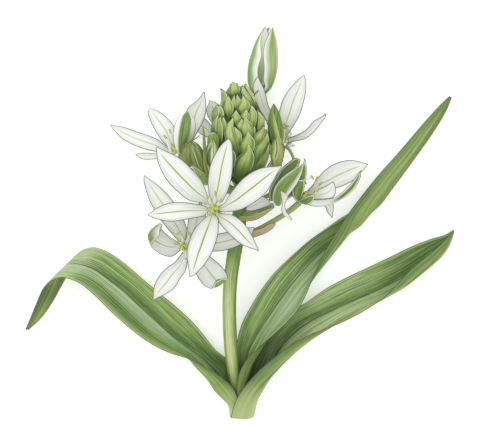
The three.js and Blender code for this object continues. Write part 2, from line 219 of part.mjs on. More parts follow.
// pointed scales of the cone: foot, tip, left and right outline from the tip down
const SCALES = [
  { "f": [235.0, 98.5], "t": [232.7, 81.4], "L": [[230.0, 84.5], [228.7, 89.0], [229.2, 94.5]], "R": [[235.6, 82.6], [239.4, 86.4], [240.6, 90.4], [238.0, 95.6]] },
  { "f": [222.6, 112.5], "t": [220.1, 88.4], "L": [[220.6, 93.0], [221.0, 100.0], [221.6, 107.0]], "R": [[223.0, 90.4], [227.0, 94.4], [226.4, 101.0], [224.0, 108.0]] },
  { "f": [254.6, 111.0], "t": [242.6, 85.4], "L": [[241.2, 89.0], [241.0, 93.2], [245.6, 98.6], [250.6, 105.6]], "R": [[246.2, 89.4], [250.2, 95.2], [254.0, 101.4], [256.6, 107.6]] },
  { "f": [258.0, 112.0], "t": [246.0, 83.6], "L": [[244.6, 86.4], [247.4, 91.2], [251.6, 97.4], [255.4, 104.4]], "R": [[248.8, 87.0], [252.4, 92.4], [256.0, 100.0], [258.6, 108.0]] },
  { "f": [256.0, 108.0], "t": [258.7, 90.2], "L": [[256.0, 92.6], [254.0, 97.0], [253.6, 102.0]], "R": [[257.4, 94.4], [257.2, 99.5], [257.4, 104.0]] },
  { "f": [236.0, 112.5], "t": [234.9, 93.8], "L": [[232.8, 97.0], [231.2, 101.0], [232.8, 106.0]], "R": [[235.7, 98.5], [236.2, 103.5], [236.4, 108.5]] },
  { "f": [236.4, 112.5], "t": [236.9, 93.4], "L": [[235.6, 98.0], [235.5, 103.5], [235.9, 108.0]], "R": [[239.2, 96.8], [241.4, 101.4], [239.6, 106.2]] },
  { "f": [222.5, 125.0], "t": [218.2, 104.6], "L": [[218.6, 109.0], [219.6, 114.0], [221.0, 120.0]], "R": [[221.6, 106.4], [223.6, 110.6], [224.2, 117.0]] },
  { "f": [228.8, 121.5], "t": [228.1, 95.6], "L": [[225.2, 98.8], [223.4, 103.5], [223.7, 109.5], [225.8, 116.0]], "R": [[230.4, 98.8], [232.6, 103.4], [233.6, 108.8], [231.8, 115.2]] },
  { "f": [244.6, 119.5], "t": [243.2, 94.5], "L": [[241.0, 99.0], [238.6, 104.0], [236.4, 107.8], [239.0, 112.4]], "R": [[245.6, 98.2], [248.6, 101.4], [250.2, 105.4], [248.4, 112.0]] },
  { "f": [236.0, 129.5], "t": [236.4, 109.4], "L": [[233.6, 112.4], [231.4, 115.8], [232.6, 121.6]], "R": [[238.4, 113.0], [240.8, 118.2], [239.0, 124.0]] },
  { "f": [253.6, 133.0], "t": [251.4, 104.8], "L": [[249.8, 109.0], [249.0, 115.0], [250.2, 123.0]], "R": [[254.8, 108.0], [257.2, 113.0], [257.4, 119.0], [256.0, 127.0]] },
  { "f": [245.6, 125.5], "t": [246.6, 108.6], "L": [[243.6, 111.4], [240.8, 115.6], [242.4, 121.0]], "R": [[248.6, 112.0], [249.8, 117.0], [248.0, 122.0]] },
  { "f": [259.6, 137.0], "t": [258.0, 110.4], "L": [[257.6, 114.0], [258.0, 120.0], [257.6, 129.0]], "R": [[261.6, 113.8], [264.6, 118.8], [265.4, 125.0], [263.4, 132.0]] },
  { "f": [213.6, 127.5], "t": [217.3, 104.8], "L": [[214.0, 107.4], [211.8, 111.8], [211.0, 118.4]], "R": [[219.8, 108.4], [219.2, 113.0], [216.6, 120.0]] },
  { "f": [223.6, 137.0], "t": [223.3, 115.6], "L": [[221.6, 120.0], [221.4, 126.0], [222.2, 132.0]], "R": [[225.2, 119.4], [226.6, 124.0], [225.4, 131.0]] },
  { "f": [214.2, 140.0], "t": [219.9, 112.6], "L": [[216.4, 116.4], [212.4, 121.6], [210.3, 127.6], [210.8, 134.0]], "R": [[218.6, 118.0], [216.6, 124.0], [215.6, 132.0]] },
  { "f": [241.0, 135.5], "t": [242.2, 118.0], "L": [[239.2, 121.0], [236.2, 124.6], [238.2, 130.4]], "R": [[243.6, 122.0], [244.0, 127.0], [243.0, 131.6]] },
  { "f": [221.0, 148.0], "t": [220.9, 115.8], "L": [[217.6, 119.6], [215.3, 125.6], [216.0, 133.0], [218.6, 141.0]], "R": [[221.8, 121.0], [222.6, 128.0], [222.8, 135.0], [222.2, 142.0]] },
  { "f": [239.4, 150.5], "t": [233.8, 125.6], "L": [[234.2, 131.0], [235.6, 137.6], [237.6, 144.6]], "R": [[237.6, 128.8], [241.0, 132.6], [242.2, 137.2], [241.2, 144.6]] },
  { "f": [237.0, 160.0], "t": [233.8, 116.4], "L": [[230.6, 119.6], [226.0, 124.2], [223.8, 129.2], [224.4, 137.0], [229.0, 149.0]], "R": [[234.0, 122.0], [234.2, 129.0], [236.0, 136.6], [238.6, 144.6], [239.4, 152.6]] },
  { "f": [256.6, 150.5], "t": [264.0, 125.0], "L": [[261.0, 128.8], [257.4, 132.0], [254.6, 135.2], [254.6, 143.0]], "R": [[265.2, 130.0], [264.8, 136.0], [261.0, 143.0]] },
  { "f": [249.4, 144.5], "t": [244.8, 114.0], "L": [[243.6, 118.8], [241.2, 123.6], [238.7, 128.2], [242.2, 135.6]], "R": [[247.6, 118.4], [252.0, 123.2], [255.4, 128.4], [255.2, 134.4], [252.8, 140.0]] },
  { "f": [227.0, 176.0], "t": [228.0, 141.0], "L": [[223.4, 147.0], [219.4, 155.0], [220.6, 166.0]], "R": [[231.6, 147.0], [235.6, 156.0], [233.6, 167.0]] },
  { "f": [219.4, 172.0], "t": [216.4, 146.0], "L": [[213.4, 151.0], [212.0, 158.0], [214.6, 166.0]], "R": [[219.6, 151.0], [222.6, 158.0], [222.4, 166.0]] },
  { "f": [245.4, 162.0], "t": [247.8, 127.6], "L": [[246.8, 132.6], [243.4, 137.8], [239.0, 143.6], [238.8, 150.0], [241.2, 156.6]], "R": [[249.0, 132.0], [252.6, 136.8], [255.0, 141.6], [254.6, 147.4], [251.4, 155.4]] },
  { "f": [256.0, 171.0], "t": [266.8, 129.2], "L": [[266.0, 134.2], [262.0, 139.6], [257.4, 143.8], [254.6, 149.4], [254.2, 160.0]], "R": [[268.6, 134.6], [270.0, 140.0], [268.4, 146.6], [264.6, 153.8], [259.6, 163.0]] },
  { "f": [258.0, 178.0], "t": [268.2, 141.2], "L": [[267.2, 146.4], [264.2, 152.4], [259.6, 158.8], [255.0, 164.0], [254.4, 171.6]], "R": [[269.8, 147.0], [269.6, 154.0], [267.6, 161.4], [263.8, 170.0]] },
  { "f": [238.6, 185.0], "t": [248.6, 141.0], "L": [[247.4, 146.2], [243.4, 151.8], [237.6, 157.6], [234.7, 163.4], [233.8, 170.0], [235.4, 178.0]], "R": [[249.8, 145.2], [253.2, 150.6], [254.5, 157.2], [253.8, 163.4], [250.8, 170.0], [245.6, 177.6]] }
];

const STALK = [
  [[240.5, 417.0, 13.4, 5.3], [238.7, 400.0, 15.0, 5.6], [235.7, 383.0, 16.8, 6.1], [232.8, 365.0, 18.8, 6.5], [230.7, 345.0, 21.5, 6.7], [229.6, 325.0, 24.5, 6.75], [229.3, 307.0, 27.5, 6.8], [229.8, 290.0, 30.0, 6.8], [231.3, 273.0, 33.0, 6.9], [234.0, 255.0, 36.0, 7.1], [236.8, 238.0, 39.0, 7.3], [239.0, 220.0, 41.5, 7.3], [240.3, 202.0, 43.5, 6.8], [240.7, 185.6, 44.0, 6.0]],
  [[238.0, 229.0, 44.0, 3.0], [229.0, 222.0, 55.0, 2.7], [219.0, 214.0, 68.0, 2.6], [213.6, 209.2, 76.0, 3.0], [213.4, 208.8, 77.6, 3.2]],
  [[237.5, 192.0, 42.0, 3.0], [221.0, 182.0, 40.0, 2.5], [203.0, 172.0, 40.0, 2.3], [188.0, 161.0, 42.0, 2.5], [178.6, 154.6, 43.4, 3.0]],
  [[235.5, 246.0, 38.0, 3.0], [222.0, 244.0, 38.0, 2.4], [207.0, 244.6, 41.0, 2.3], [193.0, 246.6, 47.0, 2.5], [185.4, 247.4, 52.4, 3.0]],
  [[239.0, 234.0, 42.0, 3.2], [254.0, 231.0, 43.0, 2.8], [270.0, 223.0, 44.0, 2.7], [288.0, 212.0, 45.0, 2.9], [299.6, 202.6, 45.8, 3.2]],
  [[241.0, 211.0, 43.0, 3.0], [259.0, 201.0, 39.0, 2.4], [276.0, 190.0, 34.0, 2.1], [287.5, 178.0, 33.0, 1.8], [294.2, 164.0, 32.0, 1.65], [290.8, 152.0, 30.0, 1.6], [285.0, 145.6, 28.4, 2.0]],
  [[240.0, 194.0, 40.0, 3.0], [234.0, 180.0, 26.0, 2.5], [228.0, 164.0, 13.0, 2.3], [223.8, 147.0, 6.4, 2.3], [223.2, 140.4, 8.0, 2.8], [223.1, 139.4, 9.2, 3.0]],
  [[240.0, 218.0, 44.0, 3.4], [250.0, 213.0, 48.0, 2.6], [262.0, 209.0, 52.0, 2.6], [270.0, 206.4, 55.0, 2.8], [273.6, 205.2, 56.2, 3.2]],
  [[240.5, 204.0, 40.0, 3.0], [247.0, 188.0, 26.0, 2.6], [253.0, 168.0, 15.0, 2.3], [258.6, 148.0, 11.6, 2.3], [261.0, 124.0, 12.0, 2.4], [259.4, 106.0, 14.6, 2.8], [258.2, 98.4, 15.6, 3.2]],
  [[242.0, 199.0, 46.0, 2.8], [256.0, 190.0, 57.0, 2.0], [269.0, 178.0, 63.0, 1.8], [276.0, 170.4, 65.0, 2.2], [276.3, 168.8, 65.0, 2.4]],
  [[242.0, 194.0, 47.0, 2.6], [258.0, 182.0, 52.0, 1.8], [271.0, 167.0, 51.0, 1.8], [276.6, 154.4, 50.0, 2.2], [276.9, 152.2, 50.0, 2.4]],
  [[238.0, 196.0, 46.0, 3.4], [224.0, 188.0, 56.0, 3.2], [210.0, 180.6, 62.0, 3.0], [204.0, 175.2, 66.6, 2.7], [202.8, 173.2, 67.4, 2.5]],
  [[226.0, 189.0, 54.0, 2.6], [216.0, 181.0, 62.0, 2.2], [211.6, 172.0, 68.0, 2.2], [211.1, 169.4, 69.0, 2.4]],
  [[214.0, 183.0, 60.0, 2.4], [203.0, 179.0, 58.0, 2.0], [193.5, 172.5, 57.0, 1.8], [190.0, 168.6, 57.8, 1.9]]
];

const STALK_BRACTS = [
  { "th": 1.3, "rows": [
    [[240.0, 215.4, 50.0], [239.0, 218.4, 49.0], [240.4, 221.6, 50.0]],
    [[248.0, 215.6, 54.0], [248.4, 218.4, 53.2], [248.6, 221.3, 54.0]],
    [[256.6, 213.6, 56.5], [257.0, 216.4, 55.8], [257.4, 219.4, 56.5]],
    [[264.6, 209.8, 58.5], [265.4, 212.0, 58.0], [266.0, 214.4, 58.5]],
    [[273.2, 206.8, 60.5], [273.6, 207.4, 60.5], [274.0, 208.0, 60.5]] ] },
  { "th": 1.3, "rows": [
    [[241.4, 235.0, 47.5], [242.0, 237.6, 46.6], [243.4, 240.4, 47.5]],
    [[252.0, 231.0, 49.0], [252.8, 234.2, 47.8], [253.6, 237.6, 48.6]],
    [[262.6, 227.6, 50.0], [263.6, 230.8, 48.8], [264.4, 234.0, 49.4]],
    [[270.4, 223.4, 51.0], [271.6, 225.8, 50.0], [272.8, 228.6, 50.4]],
    [[275.0, 223.0, 51.5], [275.5, 223.4, 51.5], [275.8, 224.0, 51.5]] ] },
  { "th": 1.2, "rows": [
    [[214.2, 181.6, 60.4], [212.2, 183.6, 60.6], [210.2, 185.6, 60.0]],
    [[208.2, 176.6, 67.4], [204.6, 180.4, 68.0], [200.6, 184.4, 66.8]],
    [[203.0, 171.6, 71.6], [199.8, 174.8, 72.2], [196.4, 178.4, 71.0]],
    [[197.0, 167.6, 73.0], [195.6, 169.6, 73.2], [194.0, 171.8, 72.6]],
    [[192.7, 165.0, 72.6], [192.4, 165.3, 72.6], [192.1, 165.6, 72.6]] ] }
];

// ---- small vector helpers -----------------------------------------------
const add = (a, b, k = 1) => [a[0] + b[0] * k, a[1] + b[1] * k, a[2] + b[2] * k];
const sub = (a, b) => [a[0] - b[0], a[1] - b[1], a[2] - b[2]];
const mul = (a, k) => [a[0] * k, a[1] * k, a[2] * k];
const dot = (a, b) => a[0] * b[0] + a[1] * b[1] + a[2] * b[2];
const cross = (a, b) => [a[1] * b[2] - a[2] * b[1], a[2] * b[0] - a[0] * b[2], a[0] * b[1] - a[1] * b[0]];
const len = (a) => Math.hypot(a[0], a[1], a[2]);
const unit = (a) => { const l = len(a) || 1; return [a[0] / l, a[1] / l, a[2] / l]; };

// layout point to millimetres
function world(p) {
  const z = p[2] * UNIT;
  const k = UNIT * (1 - z / EYE);
  return [(p[0] - MID_X) * k, (MID_Y - p[1]) * k, z];
}
const worldDir = (d) => unit(d);

// smooth curve through a list of equally long number arrays, t in 0..1
function through(P, t) {
  const n = P.length - 1;
  const u = Math.min(Math.max(t, 0), 1) * n;
  let i = Math.min(Math.floor(u), n - 1);
  const f = u - i;
  const p1 = P[i], p2 = P[i + 1];
  const p0 = P[i - 1] || p1.map((v, k) => 2 * v - p2[k]);
  const p3 = P[i + 2] || p2.map((v, k) => 2 * v - p1[k]);
  return p1.map((v, k) => {
    const m1 = (p2[k] - p0[k]) / 2, m2 = (p3[k] - p1[k]) / 2;
    const f2 = f * f, f3 = f2 * f;
    return (2 * f3 - 3 * f2 + 1) * v + (f3 - 2 * f2 + f) * m1 + (-2 * f3 + 3 * f2) * p2[k] + (f3 - f2) * m2;
  });
}

// the same curve stepped evenly by length
function evenly(P, n) {
  const fine = [];
  const N = 24 * (P.length - 1);
  for (let i = 0; i <= N; i++) fine.push(through(P, i / N));
  const acc = [0];
  for (let i = 1; i <= N; i++) acc.push(acc[i - 1] + len(sub([...fine[i], 0].slice(0, 3), [...fine[i - 1], 0].slice(0, 3))));
  const out = [];
  let j = 0;
  for (let i = 0; i <= n; i++) {
    const s = acc[N] * i / n;
    while (j < N - 1 && acc[j + 1] < s) j++;
    const f = (s - acc[j]) / ((acc[j + 1] - acc[j]) || 1);
    out.push(fine[j].map((v, k) => v + (fine[j + 1][k] - v) * f));
  }
  return out;
}

// ---- closed thin blade from a grid of mm points (rows along, points across)
function blade(grid, thick, grow) {
  const R = grid.length, C = grid[0].length;
  let G = grid.map((r) => r.map((p) => p.slice()));
  if (grow > 0) {
    for (const r of G) {
      r[0] = add(r[0], unit(sub(r[0], r[1])), grow);
      r[C - 1] = add(r[C - 1], unit(sub(r[C - 1], r[C - 2])), grow);
    }
    for (let c = 0; c < C; c++) {
      G[0][c] = add(G[0][c], unit(sub(G[0][c], G[1][c])), grow);
      G[R - 1][c] = add(G[R - 1][c], unit(sub(G[R - 1][c], G[R - 2][c])), grow);
    }
  }
  const at = (r, c) => G[Math.min(Math.max(r, 0), R - 1)][Math.min(Math.max(c, 0), C - 1)];
  const V = [];
  for (const side of [1, -1]) {
    for (let r = 0; r < R; r++) for (let c = 0; c < C; c++) {
      const n = unit(cross(sub(at(r + 1, c), at(r - 1, c)), sub(at(r, c + 1), at(r, c - 1))));
      const s = Math.abs(2 * c / (C - 1) - 1);
      const h = thick / 2 * (1 - 0.3 * s * s) + grow;
      V.push(add(G[r][c], n, side * h));
    }
  }
  const id = (k, r, c) => k * R * C + r * C + c;
  const F = [];
  const quad = (a, b, c, d) => { F.push(a, b, c, a, c, d); };
  for (let r = 0; r < R - 1; r++) for (let c = 0; c < C - 1; c++) {
    quad(id(0, r, c), id(0, r + 1, c), id(0, r + 1, c + 1), id(0, r, c + 1));
    quad(id(1, r, c), id(1, r, c + 1), id(1, r + 1, c + 1), id(1, r + 1, c));
  }
  for (let r = 0; r < R - 1; r++) {
    quad(id(0, r, 0), id(1, r, 0), id(1, r + 1, 0), id(0, r + 1, 0));
    quad(id(0, r, C - 1), id(0, r + 1, C - 1), id(1, r + 1, C - 1), id(1, r, C - 1));
  }
  for (let c = 0; c < C - 1; c++) {
    quad(id(0, 0, c), id(0, 0, c + 1), id(1, 0, c + 1), id(1, 0, c));
    quad(id(0, R - 1, c), id(1, R - 1, c), id(1, R - 1, c + 1), id(0, R - 1, c + 1));
  }
  return { V, F };
}

// ---- closed round body along a path of [x, y, z] mm with radii ------------
function round(path, radii, sides, lobes = 0) {
  const n = path.length;
  let ref = Math.abs(unit(sub(path[1], path[0]))[2]) < 0.9 ? [0, 0, 1] : [1, 0, 0];
  const V = [], F = [];
  for (let i = 0; i < n; i++) {
    const T = unit(sub(path[Math.min(i + 1, n - 1)], path[Math.max(i - 1, 0)]));
    const A = unit(cross(T, cross(ref, T)));
    const B = cross(T, A);
    ref = A;
    for (let k = 0; k < sides; k++) {
      const a = 2 * Math.PI * k / sides;
      const r = radii[i] * (1 + lobes * Math.cos(3 * a));
      V.push(add(add(path[i], A, r * Math.cos(a)), B, r * Math.sin(a)));
    }
  }
  for (let i = 0; i < n - 1; i++) for (let k = 0; k < sides; k++) {
    const k2 = (k + 1) % sides;
    const a = i * sides + k, b = i * sides + k2, c = (i + 1) * sides + k2, d = (i + 1) * sides + k;
    F.push(a, b, c, a, c, d);
  }
  const s = V.length; V.push(path[0]); V.push(path[n - 1]);
  for (let k = 0; k < sides; k++) {
    const k2 = (k + 1) % sides;
    F.push(s, k2, k, s + 1, (n - 1) * sides + k, (n - 1) * sides + k2);
  }
  return { V, F };
}

// ---- the pieces as meshes at a given extra growth (0 = true size) ---------
function leafGrid(leaf) {
  const rows = [];
  for (const arc of leaf.arcs) {
    const ax = unit(arc.ax);
    const u = unit(cross(ax, [0, 0, 1]));       // to the right
    const v = unit(cross(u, ax));               // up from the surface
    rows.push(arc.a.map((deg) => {
      const t = deg * Math.PI / 180;
      const o = add(mul(u, Math.cos(t)), v, Math.sin(t));
      return [arc.c[0] + o[0] * arc.r, arc.c[1] - o[1] * arc.r, arc.c[2] + o[2] * arc.r];
    }));
  }
  for (const r of leaf.st) rows.push(r);
  const n = (rows.length - 1) * LEAF_SPLIT;
  const cols = rows[0].map((_, c) => rows.map((r) => r[c]));
  const grid = [];
  for (let i = 0; i <= n; i++) {
    const five = cols.map((col) => through(col, i / n));
    const row = [];
    for (let c = 0; c <= 4; c++) row.push(world(five[c]));
    grid.push(row);
  }
  return grid;
}

function tepalGrid(t, centre, facing) {
  let rows = [];
  if (t.rows) {
    const n = t.rows.length - 1;
    const cols = t.rows[0].map((_, c) => t.rows.map((r) => r[c]));
    for (let i = 0; i <= TEPAL_LONG + 2; i++) {
      const three = cols.map((col) => through(col, i / (TEPAL_LONG + 2)));
      const row = [];
      for (let c = 0; c <= TEPAL_WIDE; c++) row.push(through(three, c / TEPAL_WIDE));
      rows.push(row);
    }
  } else {
    const L = evenly([...t.L, t.t], TEPAL_LONG), R = evenly([...t.R, t.t], TEPAL_LONG);
    for (let i = 0; i <= TEPAL_LONG; i++) {
      const f = i / TEPAL_LONG;
      let l = L[i], r = R[i];
      if (i === TEPAL_LONG) {
        const d = unit([R[i - 1][0] - L[i - 1][0], R[i - 1][1] - L[i - 1][1], 0]);
        l = [t.t[0] - d[0] * 0.9, t.t[1] - d[1] * 0.9];
        r = [t.t[0] + d[0] * 0.9, t.t[1] + d[1] * 0.9];
      }
      const half = Math.hypot(r[0] - l[0], r[1] - l[1]) / 2;
      const z = through(t.z.map((v) => [v]), f)[0];
      const row = [];
      for (let c = 0; c <= TEPAL_WIDE; c++) {
        const s = 2 * c / TEPAL_WIDE - 1;
        row.push([l[0] + (r[0] - l[0]) * (s + 1) / 2, l[1] + (r[1] - l[1]) * (s + 1) / 2,
          z + t.lr * s * Math.sin(Math.PI * Math.min(f + 0.1, 1)) + t.cup * half * s * s]);
      }
      rows.push(row);
    }
    if (centre) {
      // narrow claw at the foot, standing on the ring round the receptacle
      const d = unit([facing[0], -facing[1], facing[2]]);
      const first = rows[0][TEPAL_WIDE / 2];
      let o = sub(first, centre);
      o = unit(add(o, d, -dot(o, d)));
      let side = unit(cross(d, o));
      if (dot(side, sub(rows[0][TEPAL_WIDE], rows[0][0])) < 0) side = mul(side, -1);
      const foot = [];
      for (let c = 0; c <= TEPAL_WIDE; c++) {
        const s = 2 * c / TEPAL_WIDE - 1;
        foot.push(add(add(add(centre, o, 4.9), side, s * 2.0), d, -0.6));
      }
      if (len(sub(foot[TEPAL_WIDE / 2], first)) > 1.5) rows.unshift(foot);
    }
  }
  return rows.map((r) => r.map(world));
}

function roundLayout(list, grow, sides, split) {
  const P = [];
  const n = (list.length - 1) * split;
  for (let i = 0; i <= n; i++) P.push(through(list, i / n));
  const path = P.map(world);
  const radii = P.map((p) => p[3] * UNIT + grow);
  if (grow > 0) {
    path[0] = add(path[0], unit(sub(path[0], path[1])), grow);
    path[n] = add(path[n], unit(sub(path[n], path[n - 1])), grow);
  }
  return round(path, radii, sides);
}

// straight look-up in a list of rows: column kv where column kx is x
function lookUp(list, x, kx, kv) {
  const down = list[0][kx] > list[list.length - 1][kx];
  let i = 0;
  while (i < list.length - 2 && (down ? list[i + 1][kx] > x : list[i + 1][kx] < x)) i++;
  const f = (x - list[i][kx]) / (list[i + 1][kx] - list[i][kx]);
  return list[i][kv] + (list[i + 1][kv] - list[i][kv]) * Math.min(Math.max(f, 0), 1);
}

function coneAxis(t) {
  const low = CONE.path[0][1], top = CONE.path[CONE.path.length - 1][1];
  const y = low + (top - low) * t;
  return [lookUp(CONE.path, y, 1, 0), y, CONE.z];
}

function budMesh(b, grow, sides) {
  const path = [], radii = [];
  const axis = (t) => world(b.path ? coneAxis(t) : add(b.a, sub(b.b, b.a), t));
  for (const [t, r] of b.prof) { path.push(axis(t)); radii.push(r * UNIT + grow); }
  const n = path.length - 1;
  if (grow > 0) {
    path[0] = add(path[0], unit(sub(path[0], path[1])), grow);
    path[n] = add(path[n], unit(sub(path[n], path[n - 1])), grow);
  }
  return round(path, radii, sides, b.lobes || 0);
}

// one pointed scale lying on the cone; turned = its mirror image on the far side
function scaleMesh(q, turned, grow) {
  const g = grow / UNIT;
  const yTop = CONE.path[CONE.path.length - 1][1], yLow = CONE.path[0][1];
  const L = evenly([q.f, ...q.L.slice().reverse(), q.t], SCALE_LONG), R = evenly([q.f, ...q.R.slice().reverse(), q.t], SCALE_LONG);
  const V = [], F = [];
  const n = SCALE_WIDE + 1;
  for (const side of [1, 0]) for (let i = 0; i <= SCALE_LONG; i++) {
    const j = i === 0 ? 1 : i === SCALE_LONG ? i - 1 : i;
    const d = unit([R[j][0] - L[j][0], R[j][1] - L[j][1], 0]);
    const end = i === 0 ? -1 : i === SCALE_LONG ? 1 : 0;
    const m = sub([...q.t, 0], [...q.f, 0]);
    const u = unit(m);
    let l = [...L[i], 0], r = [...R[i], 0];
    if (end) { l = add(l, d, -0.5); r = add(r, d, 0.5); }
    l = add(add(l, d, -g), u, g * end);
    r = add(add(r, d, g), u, g * end);
    const f = i / SCALE_LONG;
    for (let c = 0; c < n; c++) {
      const s = 2 * c / SCALE_WIDE - 1;
      const p = add(mul(l, (1 - s) / 2), r, (1 + s) / 2);
      const y = Math.min(Math.max(p[1], yTop), yLow);
      const xc = lookUp(CONE.path, y, 1, 0);
      const rad = Math.max(lookUp(CONE.prof, (yLow - y) / (yLow - yTop), 0, 1), SCALE_ROOT);
      const dx = Math.max(-SCALE_FLARE, Math.min(SCALE_FLARE, (p[0] - xc) / rad));
      const over = Math.abs(p[0] - xc) - Math.abs(dx) * rad;
      const dz = Math.sqrt(1 - dx * dx);
      let up = SCALE_LIFT * f ** 1.2 - 4.6 + 1.4 * f + SCALE_BULGE * (1 - s * s) * Math.sin(Math.PI * f ** 0.75) ** 0.9 + g;
      if (!side) up -= 3.4 + 2 * g + (1 - f) * 2;
      let w = [p[0] + up * dx, p[1], CONE.z + (rad + up) * dz - 0.1 * over];
      if (turned) w = [xc + (w[0] - xc) * 0.98, w[1] + 0.8, 2 * CONE.z - w[2] - 1.2];
      V.push(world(w));
    }
  }
  const id = (k, i, c) => (k * (SCALE_LONG + 1) + i) * n + c;
  const quad = (a, b, c, d) => F.push(a, b, c, a, c, d);
  for (let i = 0; i < SCALE_LONG; i++) {
    for (let c = 0; c < SCALE_WIDE; c++) {
      quad(id(0, i, c), id(0, i + 1, c), id(0, i + 1, c + 1), id(0, i, c + 1));
      quad(id(1, i, c), id(1, i, c + 1), id(1, i + 1, c + 1), id(1, i + 1, c));
    }
    quad(id(0, i, 0), id(1, i, 0), id(1, i + 1, 0), id(0, i + 1, 0));
    quad(id(0, i, n - 1), id(0, i + 1, n - 1), id(1, i + 1, n - 1), id(1, i, n - 1));
  }
  for (let c = 0; c < SCALE_WIDE; c++) {
    quad(id(0, 0, c), id(0, 0, c + 1), id(1, 0, c + 1), id(1, 0, c));
    quad(id(0, SCALE_LONG, c), id(1, SCALE_LONG, c), id(1, SCALE_LONG, c + 1), id(0, SCALE_LONG, c + 1));
  }
  return { V, F };
}

// ---- solids ---------------------------------------------------------------
const wasm = await Module();
wasm.setup();

function toGeometry(m) {
  const g = new THREE.BufferGeometry();
  g.setAttribute('position', new THREE.Float32BufferAttribute(m.V.flat(), 3));
  g.setIndex(m.F);
  return mergeVertices(g, 1e-4);
}

function toSolid(m) {
  let g = toGeometry(m);
  const pos = g.attributes.position.array;
  const idx = Array.from(g.index.array);
  let vol = 0;
  for (let i = 0; i < idx.length; i += 3) {
    const [a, b, c] = [0, 1, 2].map((k) => [pos[idx[i + k] * 3], pos[idx[i + k] * 3 + 1], pos[idx[i + k] * 3 + 2]]);
    vol += dot(a, cross(b, c)) / 6;
  }
  if (vol < 0) for (let i = 0; i < idx.length; i += 3) [idx[i], idx[i + 1]] = [idx[i + 1], idx[i]];
  return new wasm.Manifold(new wasm.Mesh({ numProp: 3, vertProperties: new Float32Array(pos), triVerts: new Uint32Array(idx) }));
}

function join(list) {
  let s = list[0];
  for (const x of list.slice(1)) s = s.add(x);
  return s;
}

function largest(s) {
  const parts = s.decompose();
  let best = parts[0];
  for (const p of parts) if (p.volume() > best.volume()) best = p;
  return best;
}

// the outside skin alone, with any closed pocket between scales filled
function outerSkin(s) {
  const m = s.getMesh();
  const P = m.vertProperties, T = m.triVerts, step = m.numProp;
  const key = new Map(), root = [];
  const vid = [];
  for (let i = 0; i < P.length / step; i++) {
    const k = P[i * step] + ',' + P[i * step + 1] + ',' + P[i * step + 2];
    if (!key.has(k)) { key.set(k, root.length); root.push(root.length); }
    vid.push(key.get(k));
  }
  const find = (i) => { while (root[i] !== i) i = root[i] = root[root[i]]; return i; };
  for (let i = 0; i < T.length; i += 3) { root[find(vid[T[i]])] = find(vid[T[i + 1]]); root[find(vid[T[i + 1]])] = find(vid[T[i + 2]]); }
  const groups = new Map();
  for (let i = 0; i < T.length; i += 3) {
    const r = find(vid[T[i]]);
    if (!groups.has(r)) groups.set(r, { F: [], vol: 0 });
    const g = groups.get(r);
    const [a, b, c] = [0, 1, 2].map((k) => [0, 1, 2].map((q) => P[T[i + k] * step + q]));
    g.vol += dot(a, cross(b, c)) / 6;
    g.F.push(T[i], T[i + 1], T[i + 2]);
  }
  const best = [...groups.values()].sort((x, y) => y.vol - x.vol)[0];
  const V = [];
  for (let i = 0; i < P.length / step; i++) V.push([P[i * step], P[i * step + 1], P[i * step + 2]]);
  return toSolid({ V, F: best.F });
}

const pieces = [];      // name, colour, solid maker (grow) => Manifold
const piece = (name, colour, rough, make) => pieces.push({ name, colour, rough, make });

const GREEN_STEM = 0x7d9a46, GREEN_LEAF = 0x3f7a35, WHITE = 0xf3f3ea, GREEN_BUD = 0x9ab55c, GREEN_OVARY = 0xa9b04f;

// the stalk with all its flower stems and two papery bracts, grown as one piece
piece('flower_stalk', GREEN_STEM, 0.6, (g) => join([
  ...STALK.map((s, i) => toSolid(roundLayout(s, g, i ? 5 : STEM_SIDES, 1))),
  ...STALK_BRACTS.map((b) => toSolid(blade(tepalGrid(b), b.th * UNIT, g)))
]));
// the cone: a round core under pointed scales, the same set on both faces
piece(CONE.name, GREEN_BUD, 0.65, (g) => join([
  toSolid(budMesh({ ...CONE, prof: CONE.prof.map(([f, r]) => [f, Math.max(r - CONE.core, 0.8)]) }, g, 14)),
  ...SCALES.map((q) => toSolid(scaleMesh(q, false, g))),
  ...SCALES.map((q) => toSolid(scaleMesh(q, true, g)))
]));
for (const b of BUDS) piece(b.name, b.name === 'top_bud' ? WHITE : GREEN_BUD, 0.6, (g) => toSolid(budMesh(b, g, 9)));

